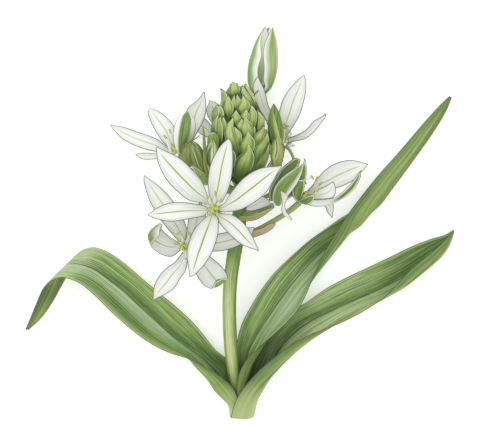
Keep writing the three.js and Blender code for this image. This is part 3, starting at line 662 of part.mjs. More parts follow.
for (const f of FLOWERS) {
  const d = unit([f.d[0], -f.d[1], f.d[2]]);
  const base = add(f.c, d, 1.6);
  piece(f.name + '_centre', GREEN_OVARY, 0.55, (g) => {
    const list = [];
    const h = f.ovary[1], r = f.ovary[2];
    const prof = [[0, r * 0.7], [0.12, r * 0.92], [0.4, r], [0.7, r * 0.8], [0.88, r * 0.4], [0.96, 0.9], [1.25, 0.7]];
    const path = prof.map(([t]) => world(add(base, d, t * h)));
    const radii = prof.map(([, q]) => q * UNIT + g);
    if (g > 0) { path[0] = add(path[0], unit(sub(path[0], path[1])), g); path[6] = add(path[6], unit(sub(path[6], path[5])), g); }
    list.push(toSolid(round(path, radii, 6)));
    for (const a of f.anthers) {
      let o = sub(a.slice(0, 3), base);
      o = unit(add(o, d, -dot(o, d)));
      const root = add(add(base, o, r * 0.55), d, 0.9);
      const bend = add(add(add(base, o, len(sub(a, base)) * 0.55), d, dot(sub(a, base), d) * 0.35), [0, 0, 0]);
      const line = [[...root, FILAMENT_R * 1.5], [...bend, FILAMENT_R * 1.3], [...a.slice(0, 3), FILAMENT_R]];
      list.push(toSolid(roundLayout(line, g, 4, 1)));
      const ad = a.length > 3 ? unit([a[3], a[4], 0.15]) : unit(add(cross(d, o), d, 0.4));
      const p = [-1, -0.5, 0.5, 1].map((t) => world(add(a, ad, t * 2.9)));
      if (g > 0) { p[0] = add(p[0], unit(sub(p[0], p[1])), g); p[3] = add(p[3], unit(sub(p[3], p[2])), g); }
      list.push(toSolid(round(p, [0.55, 1, 1, 0.55].map((q) => q * ANTHER_R * UNIT + g), 4)));
    }
    return join(list);
  });
}
for (const f of FLOWERS) f.tepals.forEach((t, i) =>
  piece(f.name + '_tepal_' + (i + 1), WHITE, 0.5, (g) => toSolid(blade(tepalGrid(t, f.c, f.d), TEPAL_THICK, g))));
for (const t of LOOSE) piece(t.name, WHITE, 0.5, (g) => toSolid(blade(tepalGrid(t, null, null), TEPAL_THICK, g)));
for (const t of RIBBONS) piece(t.name, t.name.includes('bract') ? GREEN_BUD : WHITE, 0.5, (g) => toSolid(blade(tepalGrid(t), t.th * UNIT, g)));
for (const l of LEAVES) piece(l.name, GREEN_LEAF, 0.5, (g) => toSolid(blade(leafGrid(l), l.th * UNIT, g)));

// every later piece gives way to the earlier ones, with GAP between them
const apart = (a, b) => [0, 1, 2].some((k) => a.min[k] > b.max[k] || b.min[k] > a.max[k]);
const done = [];
for (const p of pieces) {
  let s = p.make(0);
  const full = s.volume();
  p.hits = [];
  for (const q of done) {
    if (apart(s.boundingBox(), q.fat.boundingBox())) continue;
    const before = s.volume();
    s = s.subtract(q.fat);
    if (before - s.volume() > 0.01) p.hits.push([q.name, (before - s.volume()) / full]);
  }
  s = p.name === CONE.name ? largest(outerSkin(outerSkin(s).simplify(SLIVER))) : largest(largest(s).simplify(SPECK));
  p.kept = s.volume() / full;
  p.solid = s;
  p.fat = p.make(GAP);
  done.push(p);
}

// ---- scene ------------------------------------------------------------------
const box = new THREE.Box3();
for (const p of pieces) {
  const b = p.solid.boundingBox();
  box.expandByPoint(new THREE.Vector3(...b.min));
  box.expandByPoint(new THREE.Vector3(...b.max));
}
const shift = [-(box.min.x + box.max.x) / 2, -(box.min.y + box.max.y) / 2, -box.min.z];

const group = new THREE.Group();
group.position.set(...shift);
for (const p of pieces) {
  const m = p.solid.getMesh();
  const g = new THREE.BufferGeometry();
  g.setAttribute('position', new THREE.Float32BufferAttribute(Array.from(m.vertProperties), 3));
  g.setIndex(Array.from(m.triVerts));
  g.computeVertexNormals();
  const mesh = new THREE.Mesh(g, new THREE.MeshStandardMaterial({ color: p.colour, roughness: p.rough, metalness: 0, side: THREE.DoubleSide }));
  mesh.name = p.name;
  mesh.userData.kept = p.kept;
  mesh.userData.hits = p.hits;
  group.add(mesh);
}
group.userData.shift = shift;

export default group;
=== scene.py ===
# Ornithogalum cuspidatum lying on a pale surface, seen from straight above.
# Layout units: x to the right, y down the plant, z up from the surface; one
# unit is UNIT metres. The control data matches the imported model's.
import bpy, math
import numpy as np
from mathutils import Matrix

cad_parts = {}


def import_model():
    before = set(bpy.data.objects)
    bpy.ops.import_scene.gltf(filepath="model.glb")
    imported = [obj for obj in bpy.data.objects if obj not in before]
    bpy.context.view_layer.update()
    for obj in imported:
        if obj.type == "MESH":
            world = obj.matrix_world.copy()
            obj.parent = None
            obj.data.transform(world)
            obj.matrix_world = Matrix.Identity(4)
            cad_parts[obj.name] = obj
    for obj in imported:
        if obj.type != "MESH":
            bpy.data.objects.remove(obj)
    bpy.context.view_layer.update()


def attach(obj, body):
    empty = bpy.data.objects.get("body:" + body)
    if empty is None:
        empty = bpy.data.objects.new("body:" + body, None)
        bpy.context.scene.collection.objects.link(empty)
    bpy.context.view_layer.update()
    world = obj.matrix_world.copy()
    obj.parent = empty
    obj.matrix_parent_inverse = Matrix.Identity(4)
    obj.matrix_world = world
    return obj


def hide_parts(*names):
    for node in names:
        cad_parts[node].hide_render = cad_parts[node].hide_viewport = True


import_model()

UNIT = 0.32e-3
MID_X, MID_Y = 240.0, 223.5
EYE = 0.8533
SHIFT = np.array([0.047451, -0.483051, -0.315415]) * 1e-3

ANTHER_R_U = 1.25
LEAVES = [
  { "name": "leaf_left", "th": 1.9,
    "arcs": [
      { "c": [240.5, 417.0, 13.4], "ax": [0.0, 1.0, 0.14], "r": 9.9, "a": [88, 140, 188, 232, 275] },
      { "c": [239.6, 405.0, 15.2], "ax": [-0.16, 1.0, 0.16], "r": 10.4, "a": [84, 140, 192, 235, 280] }
    ],
    "st": [
      [[233.5, 388.5, 28.0], [216.2, 391.6, 19.5], [222.5, 385.0, 7.0], [230.5, 379.0, 6.0], [237.0, 374.0, 9.5]],
      [[222.0, 377.6, 28.0], [207.6, 379.2, 19.0], [213.0, 369.4, 6.0], [222.5, 365.0, 6.0], [229.5, 361.0, 10.5]],
      [[206.4, 367.1, 27.0], [196.6, 367.6, 19.5], [202.6, 359.4, 7.0], [210.0, 353.6, 9.0], [215.3, 349.4, 14.0]],
      [[190.0, 359.4, 24.5], [187.2, 356.8, 16.0], [188.6, 348.5, 8.0], [196.5, 340.5, 11.0], [202.5, 333.4, 16.0]],
      [[167.4, 352.2, 21.5], [170.0, 345.4, 14.5], [174.0, 337.8, 8.5], [183.0, 328.5, 11.5], [190.5, 319.8, 16.0]],
      [[146.8, 341.2, 20.5], [151.6, 333.6, 14.5], [156.8, 322.2, 9.5], [165.5, 311.8, 12.5], [174.0, 304.9, 16.5]],
      [[127.4, 326.4, 21.0], [133.8, 317.4, 15.5], [140.2, 307.0, 11.0], [150.0, 296.8, 13.5], [158.4, 291.9, 16.5]],
      [[110.0, 310.8, 23.0], [117.2, 301.8, 18.0], [124.0, 291.9, 13.5], [133.5, 281.5, 14.5], [141.8, 278.1, 16.0]],
      [[94.0, 295.0, 26.0], [101.0, 287.0, 21.5], [108.0, 279.2, 17.0], [117.6, 269.0, 16.0], [125.6, 264.2, 14.5]],
      [[80.6, 284.0, 29.0], [87.0, 277.6, 25.0], [93.4, 269.2, 20.5], [102.4, 258.0, 16.5], [109.0, 252.6, 12.5]],
      [[69.6, 279.2, 31.0], [74.4, 273.6, 27.0], [79.6, 264.6, 21.5], [86.0, 254.2, 15.5], [92.0, 247.1, 9.5]],
      [[59.9, 277.8, 29.5], [62.6, 272.0, 25.5], [67.6, 264.8, 19.5], [72.6, 259.2, 13.0], [77.0, 254.4, 7.0]],
      [[50.4, 281.8, 25.0], [51.6, 279.6, 21.5], [56.4, 276.4, 16.5], [61.6, 275.2, 10.5], [67.0, 276.0, 5.5]],
      [[42.6, 290.4, 19.0], [44.0, 289.4, 17.5], [50.0, 289.4, 14.5], [55.6, 289.2, 9.5], [60.6, 288.0, 4.5]],
      [[35.8, 304.4, 12.5], [37.8, 304.2, 12.0], [43.0, 303.8, 10.5], [48.0, 303.8, 7.0], [52.0, 303.4, 3.5]],
      [[30.2, 318.0, 6.5], [31.6, 318.4, 6.5], [35.0, 318.8, 6.0], [38.2, 318.8, 4.5], [41.4, 317.8, 2.5]],
      [[25.6, 328.8, 2.0], [26.3, 329.2, 2.0], [27.0, 329.6, 2.0], [27.8, 329.8, 2.0], [28.6, 329.6, 1.9]]
    ] },
  { "name": "leaf_upper_right", "th": 1.8,
    "arcs": [
      { "c": [240.5, 417.0, 13.4], "ax": [0.0, 1.0, 0.14], "r": 7.3, "a": [112, 48, -15, -70, -125] },
      { "c": [240.6, 405.0, 15.2], "ax": [0.0, 1.0, 0.16], "r": 7.6, "a": [112, 48, -15, -70, -125] }
    ],
    "st": [
      [[237.0, 390.0, 27.6], [244.6, 389.0, 23.0], [246.8, 386.0, 12.6], [240.6, 383.0, 9.2], [234.6, 381.0, 10.6]],
      [[238.6, 375.6, 29.0], [248.0, 376.4, 22.8], [247.0, 370.0, 12.0], [241.0, 366.0, 10.0], [235.6, 363.0, 11.6]],
      [[244.0, 363.8, 29.0], [252.4, 363.6, 21.5], [248.4, 355.0, 12.0], [242.0, 350.0, 10.4], [236.4, 346.0, 12.4]],
      [[254.3, 351.2, 28.0], [259.6, 351.6, 20.0], [252.8, 343.6, 12.0], [245.6, 336.0, 11.6], [238.8, 333.6, 14.0]],
      [[270.6, 337.4, 26.0], [268.6, 335.4, 18.0], [259.4, 331.4, 11.4], [250.0, 323.8, 12.0], [242.6, 321.8, 15.4]],
      [[286.0, 323.4, 23.6], [279.2, 321.0, 16.6], [268.6, 317.0, 11.0], [258.8, 307.4, 12.6], [250.4, 307.0, 16.6]],
      [[298.6, 308.8, 21.6], [291.0, 305.0, 15.6], [279.6, 300.4, 11.0], [269.0, 289.6, 13.2], [260.8, 290.2, 17.0]],
      [[307.8, 291.2, 21.0], [302.8, 289.4, 15.0], [292.0, 284.0, 11.0], [280.8, 273.2, 14.2], [273.6, 273.6, 17.6]],
      [[314.8, 272.4, 22.0], [316.4, 273.6, 14.6], [307.6, 266.0, 10.6], [295.2, 257.6, 14.0], [288.0, 259.2, 17.0]],
      [[325.6, 250.6, 23.6], [332.0, 254.6, 15.6], [324.6, 250.0, 9.0], [311.6, 241.8, 12.0], [305.0, 244.4, 15.0]],
      [[337.8, 229.6, 23.0], [345.4, 236.8, 17.0], [343.6, 236.0, 8.0], [332.4, 228.6, 8.6], [325.4, 228.8, 11.0]],
      [[349.0, 212.6, 20.6], [354.6, 217.6, 18.0], [360.8, 224.0, 10.0], [359.4, 219.4, 5.6], [350.6, 212.6, 5.4]],
      [[362.4, 194.8, 17.0], [367.6, 199.0, 16.6], [373.4, 205.0, 13.4], [377.6, 206.6, 7.6], [374.6, 208.6, 3.6]],
      [[379.2, 174.0, 13.4], [384.2, 178.2, 14.2], [389.6, 182.8, 13.2], [393.6, 185.6, 8.6], [391.4, 189.0, 4.0]],
      [[399.0, 151.8, 9.6], [403.4, 155.4, 10.8], [408.0, 159.8, 10.6], [411.6, 161.0, 7.4], [411.6, 162.4, 3.6]],
      [[420.4, 126.6, 6.0], [423.8, 129.6, 7.2], [427.2, 133.0, 7.2], [430.4, 134.6, 5.2], [431.6, 134.4, 3.0]],
      [[437.2, 107.8, 3.6], [439.4, 110.0, 4.4], [441.4, 112.0, 4.4], [443.4, 113.2, 3.6], [444.8, 113.4, 2.4]],
      [[449.0, 96.2, 1.9], [449.7, 96.6, 1.9], [450.4, 97.0, 1.9], [451.1, 97.4, 1.9], [451.8, 97.8, 1.9]]
    ] },
  { "name": "leaf_lower_right", "th": 1.9,
    "arcs": [
      { "c": [240.5, 417.0, 13.4], "ax": [0.0, 1.0, 0.14], "r": 12.5, "a": [142, 66, -8, -62, -112] }
    ],
    "st": [
      [[234.2, 404.6, 29.4], [252.6, 401.0, 27.4], [256.4, 401.0, 11.0], [248.0, 396.6, 2.4], [239.0, 394.0, 3.6]],
      [[241.0, 391.4, 32.6], [260.6, 388.8, 27.0], [261.6, 389.0, 9.4], [252.4, 380.0, 2.4], [243.0, 378.0, 4.4]],
      [[252.6, 377.2, 34.0], [271.0, 376.4, 25.0], [267.4, 372.4, 6.4], [257.4, 362.0, 2.2], [249.0, 358.0, 5.0]],
      [[268.8, 361.6, 33.4], [283.2, 363.6, 23.0], [276.2, 355.6, 4.4], [266.6, 345.0, 2.6], [258.6, 340.0, 6.4]],
      [[286.4, 348.2, 31.0], [296.0, 351.4, 20.6], [286.6, 341.0, 3.6], [279.0, 330.0, 3.6], [272.0, 324.6, 8.0]],
      [[304.8, 336.8, 27.6], [309.6, 340.4, 18.4], [299.6, 328.6, 3.2], [293.0, 317.0, 4.6], [287.4, 311.8, 9.4]],
      [[325.0, 329.0, 23.0], [324.0, 330.0, 14.4], [314.6, 319.4, 3.2], [309.4, 308.6, 5.6], [305.0, 303.2, 10.6]],
      [[346.6, 320.4, 20.0], [342.6, 317.8, 12.0], [335.4, 309.2, 3.2], [330.6, 298.0, 6.4], [326.6, 288.2, 11.4]],
      [[367.4, 309.2, 19.4], [363.8, 306.6, 11.4], [356.6, 299.6, 3.2], [352.0, 287.6, 6.6], [348.2, 276.6, 11.6]],
      [[384.2, 297.2, 20.4], [384.0, 297.8, 11.6], [377.6, 290.6, 3.2], [373.6, 278.6, 6.4], [370.0, 266.4, 11.4]],
      [[396.8, 284.6, 21.6], [404.4, 286.8, 13.0], [398.2, 280.2, 3.2], [395.4, 268.6, 5.8], [391.8, 256.0, 10.6]],
      [[412.2, 267.8, 20.8], [422.6, 272.6, 13.4], [418.4, 268.6, 3.2], [415.4, 256.8, 4.6], [411.6, 246.4, 8.8]],
      [[429.4, 254.0, 16.6], [438.6, 258.4, 11.4], [437.2, 255.6, 3.0], [434.4, 245.4, 3.4], [431.2, 238.8, 6.2]],
      [[441.6, 243.4, 10.6], [448.2, 245.4, 7.6], [448.2, 243.6, 2.6], [446.0, 238.0, 2.6], [443.8, 235.2, 4.0]],
      [[452.6, 231.4, 1.9], [453.3, 231.2, 1.9], [454.0, 230.9, 1.9], [454.0, 230.2, 1.9], [454.0, 229.5, 1.9]]
    ] }
]

FLOWERS = [
  { "name": "front_flower", "c": [213.4, 208.6, 78.5], "d": [0.0, 0.05, 1.0], "ovary": [0, 10.5, 4.7],
    "anthers": [[215.3, 193.4, 93, 0.08, 1.0], [220.9, 200.9, 93, -0.3, 1.0], [204.2, 203.7, 92, 0.9, 0.35], [207.5, 196.6, 92, 0.12, 1.0], [208.4, 214.6, 86, 0.7, 0.5], [218.4, 214.8, 86, 0.7, -0.5]],
    "tepals": [
      { "L": [[202.6, 203.1], [188.8, 200.3], [175.8, 190.1], [164.7, 177.2], [157.3, 160.6]], "R": [[206.9, 192.9], [201.7, 180.9], [192.5, 169.8], [179.5, 157.8], [162.9, 149.5]], "t": [156.4, 146.7], "z": [80, 83, 85.5, 86, 85, 83], "cup": 0.22, "lr": 0 },
      { "L": [[209.1, 195.7], [207.8, 180.9], [211.0, 162.4], [220.2, 145.8]], "R": [[222.1, 202.2], [227.6, 192.0], [231.7, 177.2], [233.2, 158.7], [231.7, 142.1]], "t": [228.5, 138.4], "z": [80, 82, 83, 85, 87, 89], "cup": 0.22, "lr": 0 },
      { "L": [[224.3, 203.0], [231.3, 192.0], [244.3, 177.2], [260.9, 168.0]], "R": [[222.1, 212.3], [238.7, 210.5], [253.5, 203.1], [266.5, 192.0], [277.5, 173.5]], "t": [282.2, 165.7], "z": [80, 81, 83, 84, 83, 81], "cup": 0.22, "lr": 0 },
      { "L": [[222.1, 213.3], [233.2, 215.1], [244.3, 223.4], [251.7, 234.5], [258.1, 248.4]], "R": [[215.6, 218.8], [225.8, 230.8], [238.7, 242.9], [248.0, 247.5]], "t": [258.7, 250.8], "z": [79, 80, 79, 77, 74, 70], "cup": 0.3, "lr": 0 },
      { "L": [[203.6, 218.8], [194.3, 229.0], [188.8, 241.9], [186.6, 254.9]], "R": [[218.4, 218.8], [218.4, 232.7], [212.8, 251.2], [203.6, 266.0], [193.4, 276.1]], "t": [189.7, 277.1], "z": [80, 83, 86, 87, 87, 85], "cup": 0.22, "lr": 0 },
      { "L": [[202.6, 204.9], [183.2, 202.2], [168.4, 203.1], [155.5, 208.6]], "R": [[203.6, 216.4], [185.1, 219.7], [170.3, 221.6], [155.5, 218.8]], "t": [147.7, 215.1], "z": [79, 80, 80, 78, 76, 73], "cup": 0.25, "lr": 0 }
    ] },
  { "name": "upper_left_flower", "c": [177.5, 153.5, 44.0], "d": [-0.5, 0.8, 0.4], "ovary": [0, 9.5, 3.6],
    "anthers": [[165.2, 136.8, 57, 0.75, 0.65], [170.2, 131.3, 57, 0.25, 1.0], [177.8, 134.0, 51, 0.3, 1.0], [180.4, 139.0, 47, 0.2, 1.0], [180.0, 130.0, 53, 0.2, 1.0], [176.4, 141.6, 50, 0.3, 1.0]],
    "tepals": [
      { "L": [[170.8, 150.8], [160.1, 140.8], [150.9, 136.2], [137.1, 131.6], [124.1, 127.0]], "R": [[172.5, 154.5], [154.0, 151.5], [143.3, 148.9], [131.8, 144.3], [121.8, 138.5], [114.2, 130.9]], "t": [110.4, 124.7], "z": [45, 42, 36, 29, 21, 12], "cup": 0.25, "lr": 0 },
      { "L": [[170.8, 150.4], [161.6, 140.8], [154.7, 130.1], [150.2, 120.9], [147.9, 113.3]], "R": [[175.0, 143.0], [174.3, 127.0], [170.8, 121.7], [164.7, 115.6], [157.0, 110.2]], "t": [149.4, 107.9], "z": [44, 42, 38, 33, 28, 24], "cup": 0.25, "lr": 0 },
      { "L": [[176.9, 153.1], [173.9, 143.9], [173.1, 133.2], [175.4, 122.4], [180.0, 114.8]], "R": [[185.0, 150.0], [193.0, 137.8], [195.3, 130.1], [195.3, 121.7], [191.5, 114.8]], "t": [187.3, 112.1], "z": [49, 55, 60, 62, 61, 58], "cup": -0.45, "lr": 0 },
      { "L": [[182.5, 148.0], [184.5, 125.0], [186.5, 110.2], [189.9, 105.6], [196.8, 100.3]], "R": [[188.0, 152.0], [195.3, 136.2], [201.4, 125.5], [205.3, 115.6], [206.4, 105.6], [205.3, 96.4]], "t": [204.1, 91.5], "z": [42, 39, 36, 33, 31, 29], "cup": 0.22, "lr": 0 },
      { "L": [[170.5, 153.5], [154.7, 153.1], [143.3, 152.7]], "R": [[170.0, 158.0], [155.5, 159.2], [144.8, 159.6], [139.4, 157.7]], "t": [135.6, 154.2], "z": [45, 43, 39, 34, 28], "cup": 0.3, "lr": 3 },
      { "L": [[173.0, 150.0], [174.0, 138.0], [176.0, 126.0]], "R": [[181.0, 150.0], [184.0, 138.0], [184.0, 126.0]], "t": [181.0, 117.0], "z": [40, 34, 26, 17, 10], "cup": 0.2, "lr": 0 }
    ] },
  { "name": "lower_left_flower", "c": [184.8, 247.0, 54.0], "d": [-0.22, 0.15, 1.0], "ovary": [0, 9.5, 4.2],
    "anthers": [[179.0, 233.0, 67, 0.8, -0.6], [176.3, 244.0, 68, 0.95, 0.3], [189.0, 233.5, 66], [190.5, 255.0, 65], [187.0, 258.5, 65], [194.5, 243.0, 66]],
    "tepals": [
      { "L": [[178.8, 241.8], [162.7, 223.0], [154.2, 209.6], [149.3, 200.7], [145.7, 190.0], [143.0, 177.5]], "R": [[188.4, 234.0], [184.1, 220.4], [173.4, 201.6], [164.5, 190.9], [154.6, 182.4]], "t": [144.4, 175.3], "z": [54, 54, 50, 44, 37, 30], "cup": 0.22, "lr": 0 },
      { "rows": [
        [[180.0, 243.0, 54.5], [179.4, 246.4, 53.5], [180.6, 250.4, 54.5]],
        [[170.5, 237.0, 55.5], [170.0, 247.0, 52.0], [172.0, 256.5, 54.5]],
        [[163.5, 231.0, 57.0], [159.0, 243.0, 53.0], [161.0, 254.5, 56.5]],
        [[158.0, 224.8, 60.5], [149.0, 235.5, 58.5], [151.0, 246.8, 61.0]],
        [[159.6, 223.2, 65.5], [151.6, 231.6, 67.5], [152.6, 243.2, 67.5]],
        [[162.6, 225.0, 67.5], [160.6, 229.4, 70.0], [159.6, 234.6, 69.5]]
      ] },
      { "L": [[181.0, 254.0], [175.2, 261.4], [164.5, 269.5], [156.4, 280.2], [153.3, 290.0]], "R": [[188.0, 258.0], [185.9, 270.4], [180.5, 278.4], [174.3, 288.2], [164.5, 294.9]], "t": [153.3, 299.8], "z": [54, 53, 49, 43, 37, 33], "cup": 0.22, "lr": 0 },
      { "rows": [
        [[188.0, 255.0, 54.5], [189.6, 252.6, 53.5], [191.0, 249.8, 54.5]],
        [[192.0, 265.0, 54.0], [199.0, 259.0, 51.0], [206.0, 254.0, 53.5]],
        [[196.5, 275.0, 52.0], [207.0, 269.0, 49.5], [217.0, 262.0, 52.5]],
        [[203.0, 284.5, 50.5], [214.0, 278.0, 48.0], [224.6, 270.0, 51.5]],
        [[211.0, 288.8, 51.5], [220.0, 284.6, 50.5], [228.0, 277.0, 52.5]],
        [[212.6, 286.2, 55.5], [219.5, 282.4, 56.5], [226.5, 277.8, 56.0]],
        [[214.5, 283.0, 58.0], [217.4, 280.0, 59.0], [220.4, 279.0, 58.5]]
      ] },
      { "L": [[192.5, 243.0], [205.0, 237.0], [218.0, 233.8], [231.0, 231.0], [243.0, 228.4], [250.4, 227.2]], "R": [[193.5, 250.5], [213.6, 251.6], [227.9, 249.8], [241.3, 244.5], [250.0, 237.0], [253.4, 231.6]], "t": [254.2, 227.2], "z": [54, 56, 58, 60, 61, 61], "cup": 0.2, "lr": 0 },
      { "L": [[185.5, 239.0], [187.0, 228.0], [190.0, 214.0]], "R": [[191.5, 241.0], [201.0, 232.0], [206.0, 218.0]], "t": [201.0, 201.0], "z": [54, 57, 61, 65, 67], "cup": 0.2, "lr": 0 }
    ] },
  { "name": "right_flower", "c": [301.0, 200.6, 47.0], "d": [0.5, 0.72, 0.48], "ovary": [0, 13.0, 3.0],
    "anthers": [[312.4, 177.6, 61, 0.55, 0.8], [316.6, 178.5, 59, -0.35, 0.9], [320.7, 183.4, 59, 0.75, -0.6], [316.4, 190.6, 66, 1.0, 0.0], [311.9, 194.6, 67, -0.35, 0.9], [305.0, 182.0, 40, 0.5, 0.8]],
    "tepals": [
      { "L": [[306.0, 194.0], [319.2, 176.0], [327.8, 167.7], [337.3, 162.5], [349.3, 159.9], [358.8, 161.2]], "R": [[312.0, 197.0], [322.0, 190.0], [336.4, 188.3], [351.9, 181.5], [361.4, 172.8], [366.6, 166.8]], "t": [367.8, 164.2], "z": [44, 41, 37, 33, 30, 28], "cup": 0.22, "lr": 0 },
      { "L": [[312.0, 199.8], [322.7, 199.3], [333.6, 197.6], [341.6, 192.4], [350.6, 183.4], [358.6, 172.8]], "R": [[308.0, 205.0], [316.0, 206.8], [325.4, 205.9], [334.0, 203.4], [343.3, 198.7], [352.4, 191.4], [358.4, 182.6], [361.4, 174.2]], "t": [360.9, 170.6], "z": [48, 49, 50, 50, 49, 47], "cup": 0.3, "lr": -6 },
      { "L": [[308.0, 196.0], [317.0, 189.8], [323.6, 187.0], [328.8, 183.8]], "R": [[311.0, 199.6], [322.0, 199.2], [330.6, 198.4], [335.0, 195.4], [335.8, 187.6]], "t": [333.2, 181.8], "z": [50, 56, 61, 65, 67], "cup": 0.3, "lr": 0 },
      { "L": [[305.0, 204.6], [315.0, 204.4], [324.4, 206.4], [327.4, 212.6]], "R": [[308.0, 201.0], [322.0, 200.0], [332.4, 202.6], [333.6, 210.6]], "t": [332.2, 217.6], "z": [44, 40, 35, 30, 27], "cup": 0.25, "lr": 0 },
      { "L": [[300.0, 199.6], [303.4, 197.8], [309.0, 195.6]], "R": [[301.8, 203.8], [307.0, 205.2], [312.2, 202.0], [314.6, 197.6]], "t": [314.8, 194.6], "z": [51, 62, 69, 72, 73], "cup": -0.5, "lr": 0 },
      { "L": [[297.4, 202.4], [293.4, 198.0], [291.8, 190.0], [294.6, 183.0]], "R": [[300.6, 198.0], [303.6, 191.4], [305.0, 185.0], [304.4, 181.2]], "t": [301.0, 179.4], "z": [50.5, 58, 62.5, 64, 64], "cup": -0.3, "lr": 0 }
    ] },
  { "name": "upper_right_flower", "c": [284.5, 143.0, 29.0], "d": [0.1, 0.9, 0.42], "ovary": [0, 9.0, 3.4],
    "anthers": [[285.4, 127.8, 42, 1.0, 0.25], [287.0, 137.6, 44, 0.6, -0.8], [281.0, 127.0, 40], [279.0, 133.5, 38], [287.0, 126.0, 36], [283.5, 124.6, 34]],
    "tepals": [
      { "L": [[281.0, 137.0], [277.5, 122.0], [280.0, 107.9], [283.1, 98.6], [289.6, 88.5], [298.8, 78.3]], "R": [[286.5, 137.0], [288.7, 133.8], [298.8, 117.1], [303.5, 103.3], [306.2, 90.3], [305.8, 77.4]], "t": [303.9, 75.0], "z": [28, 27, 25, 23, 20, 18], "cup": 0.22, "lr": 0 },
      { "L": [[288.0, 138.0], [301.6, 132.4], [308.1, 127.3], [313.6, 120.8], [322.0, 116.2]], "R": [[289.0, 143.4], [294.2, 141.6], [304.4, 139.3], [313.6, 132.9], [321.0, 123.6], [326.1, 116.2]], "t": [325.7, 113.4], "z": [30, 33, 35, 36, 35, 33], "cup": 0.8, "lr": 0 },
      { "L": [[280.0, 140.0], [268.0, 126.0], [264.6, 118.1], [258.1, 107.9], [254.0, 94.9], [252.6, 89.4], [253.5, 82.9]], "R": [[281.4, 135.0], [275.0, 118.0], [268.8, 106.0], [265.5, 92.2], [261.8, 83.8]], "t": [257.9, 76.4], "z": [30.5, 30.5, 29.6, 29.8, 31.2, 31.8], "cup": 0.2, "lr": 0 },
      { "L": [[288.6, 143.0], [291.4, 142.9]], "R": [[286.5, 146.5], [290.0, 147.4]], "t": [294.6, 145.8], "z": [24.2, 16.0, 8.4, 3.6], "cup": 0.2, "lr": 0 },
      { "L": [[279.5, 141.0], [269.0, 141.5], [261.0, 144.5]], "R": [[279.5, 147.0], [269.0, 155.0], [260.0, 157.0]], "t": [254.5, 152.0], "z": [26, 18, 11, 7, 5], "cup": 0.2, "lr": 0 },
      { "L": [[280.5, 147.0], [271.0, 160.0], [265.0, 172.0]], "R": [[285.0, 149.0], [282.5, 162.0], [276.5, 176.0]], "t": [266.5, 186.0], "z": [25, 17, 11, 8, 7], "cup": 0.2, "lr": 0 }
    ] },
  { "name": "rear_flower", "c": [223.0, 139.0, 10.0], "d": [-0.1, 0.1, 1.0], "ovary": [0, 7.0, 3.2],
    "anthers": [[219.0, 127.0, 17], [230.0, 131.0, 16], [213.5, 133.0, 18], [214.0, 144.0, 18], [223.0, 150.0, 17], [232.0, 142.0, 16]],
    "tepals": [
      { "L": [[219.0, 133.0], [208.5, 118.0], [206.4, 109.4]], "R": [[225.0, 132.0], [224.0, 116.0], [218.3, 104.1]], "t": [209.6, 100.3], "z": [8, 7, 6.5, 6.5, 6], "cup": 0.22, "lr": 0 },
      { "L": [[217.0, 140.5], [206.0, 137.0], [198.0, 132.0]], "R": [[217.0, 134.5], [207.0, 120.0], [199.0, 118.0]], "t": [194.5, 124.5], "z": [8, 7, 5, 3.5, 2], "cup": 0.22, "lr": 0 },
      { "L": [[226.0, 133.0], [227.0, 112.0], [231.0, 101.0]], "R": [[230.5, 135.5], [240.0, 118.0], [243.0, 104.0]], "t": [240.0, 95.0], "z": [8, 6, 4, 2.6, 1.8], "cup": 0.22, "lr": 0 },
      { "L": [[230.5, 136.5], [243.0, 120.0], [254.0, 117.0]], "R": [[231.0, 141.5], [246.0, 139.0], [256.0, 132.0]], "t": [263.0, 122.0], "z": [8, 7, 5, 3, 1.8], "cup": 0.22, "lr": 0 },
      { "L": [[229.5, 144.0], [245.5, 153.0], [251.0, 164.0]], "R": [[225.0, 147.0], [230.0, 163.0], [240.0, 172.0]], "t": [249.5, 175.5], "z": [8, 6, 4, 2.6, 1.8], "cup": 0.22, "lr": 0 },
      { "L": [[222.5, 147.5], [222.5, 162.0], [219.0, 172.0]], "R": [[217.0, 143.5], [206.0, 156.0], [206.0, 166.0]], "t": [210.5, 177.0], "z": [8, 6, 4, 2.6, 1.8], "cup": 0.22, "lr": 0 }
    ] }
]

LOOSE = [
  { "name": "half_open_flower_tepal_front", "c": [275.0, 204.5, 57.0], "L": [[275.6, 205.2], [273.0, 201.6], [272.2, 196.1], [274.4, 187.5], [280.5, 178.9], [288.2, 172.8], [296.8, 167.3]], "R": [[279.6, 206.0], [283.6, 203.6], [286.6, 198.4], [291.4, 191.7], [296.6, 184.6], [300.6, 176.6], [302.8, 169.4]], "t": [302.8, 164.4], "z": [61, 66, 69, 70, 69, 66], "cup": -0.42, "lr": 0 },
  { "name": "half_open_flower_tepal_rear", "c": [275.0, 204.5, 57.0], "L": [[269.6, 201.5], [268.4, 193.5], [271.9, 184.0], [277.0, 175.5], [282.2, 167.7], [288.2, 162.5], [295.1, 157.8]], "R": [[275.0, 200.5], [281.0, 190.0], [290.0, 178.0], [298.5, 166.0]], "t": [300.3, 159.9], "z": [55, 54, 53, 52.5, 52, 52], "cup": 0.25, "lr": 0 },
  { "name": "half_open_flower_tepal_right", "c": [275.0, 204.5, 57.0], "L": [[279.0, 201.5], [289.0, 190.0], [297.0, 178.0], [302.0, 166.0]], "R": [[282.0, 203.6], [292.0, 197.0], [301.1, 192.7], [304.6, 185.0], [306.9, 172.0], [306.4, 165.0]], "t": [304.8, 158.6], "z": [54.5, 55.5, 57, 57, 57.5, 58], "cup": -0.3, "lr": 0 },
  { "name": "half_open_flower_tepal_left", "c": [275.0, 204.5, 57.0], "L": [[269.5, 200.0], [261.0, 196.0], [251.0, 201.0]], "R": [[270.6, 205.6], [262.0, 208.4], [252.0, 211.4]], "t": [245.0, 210.0], "z": [57, 60, 62, 63, 63], "cup": 0.25, "lr": 0 }
]

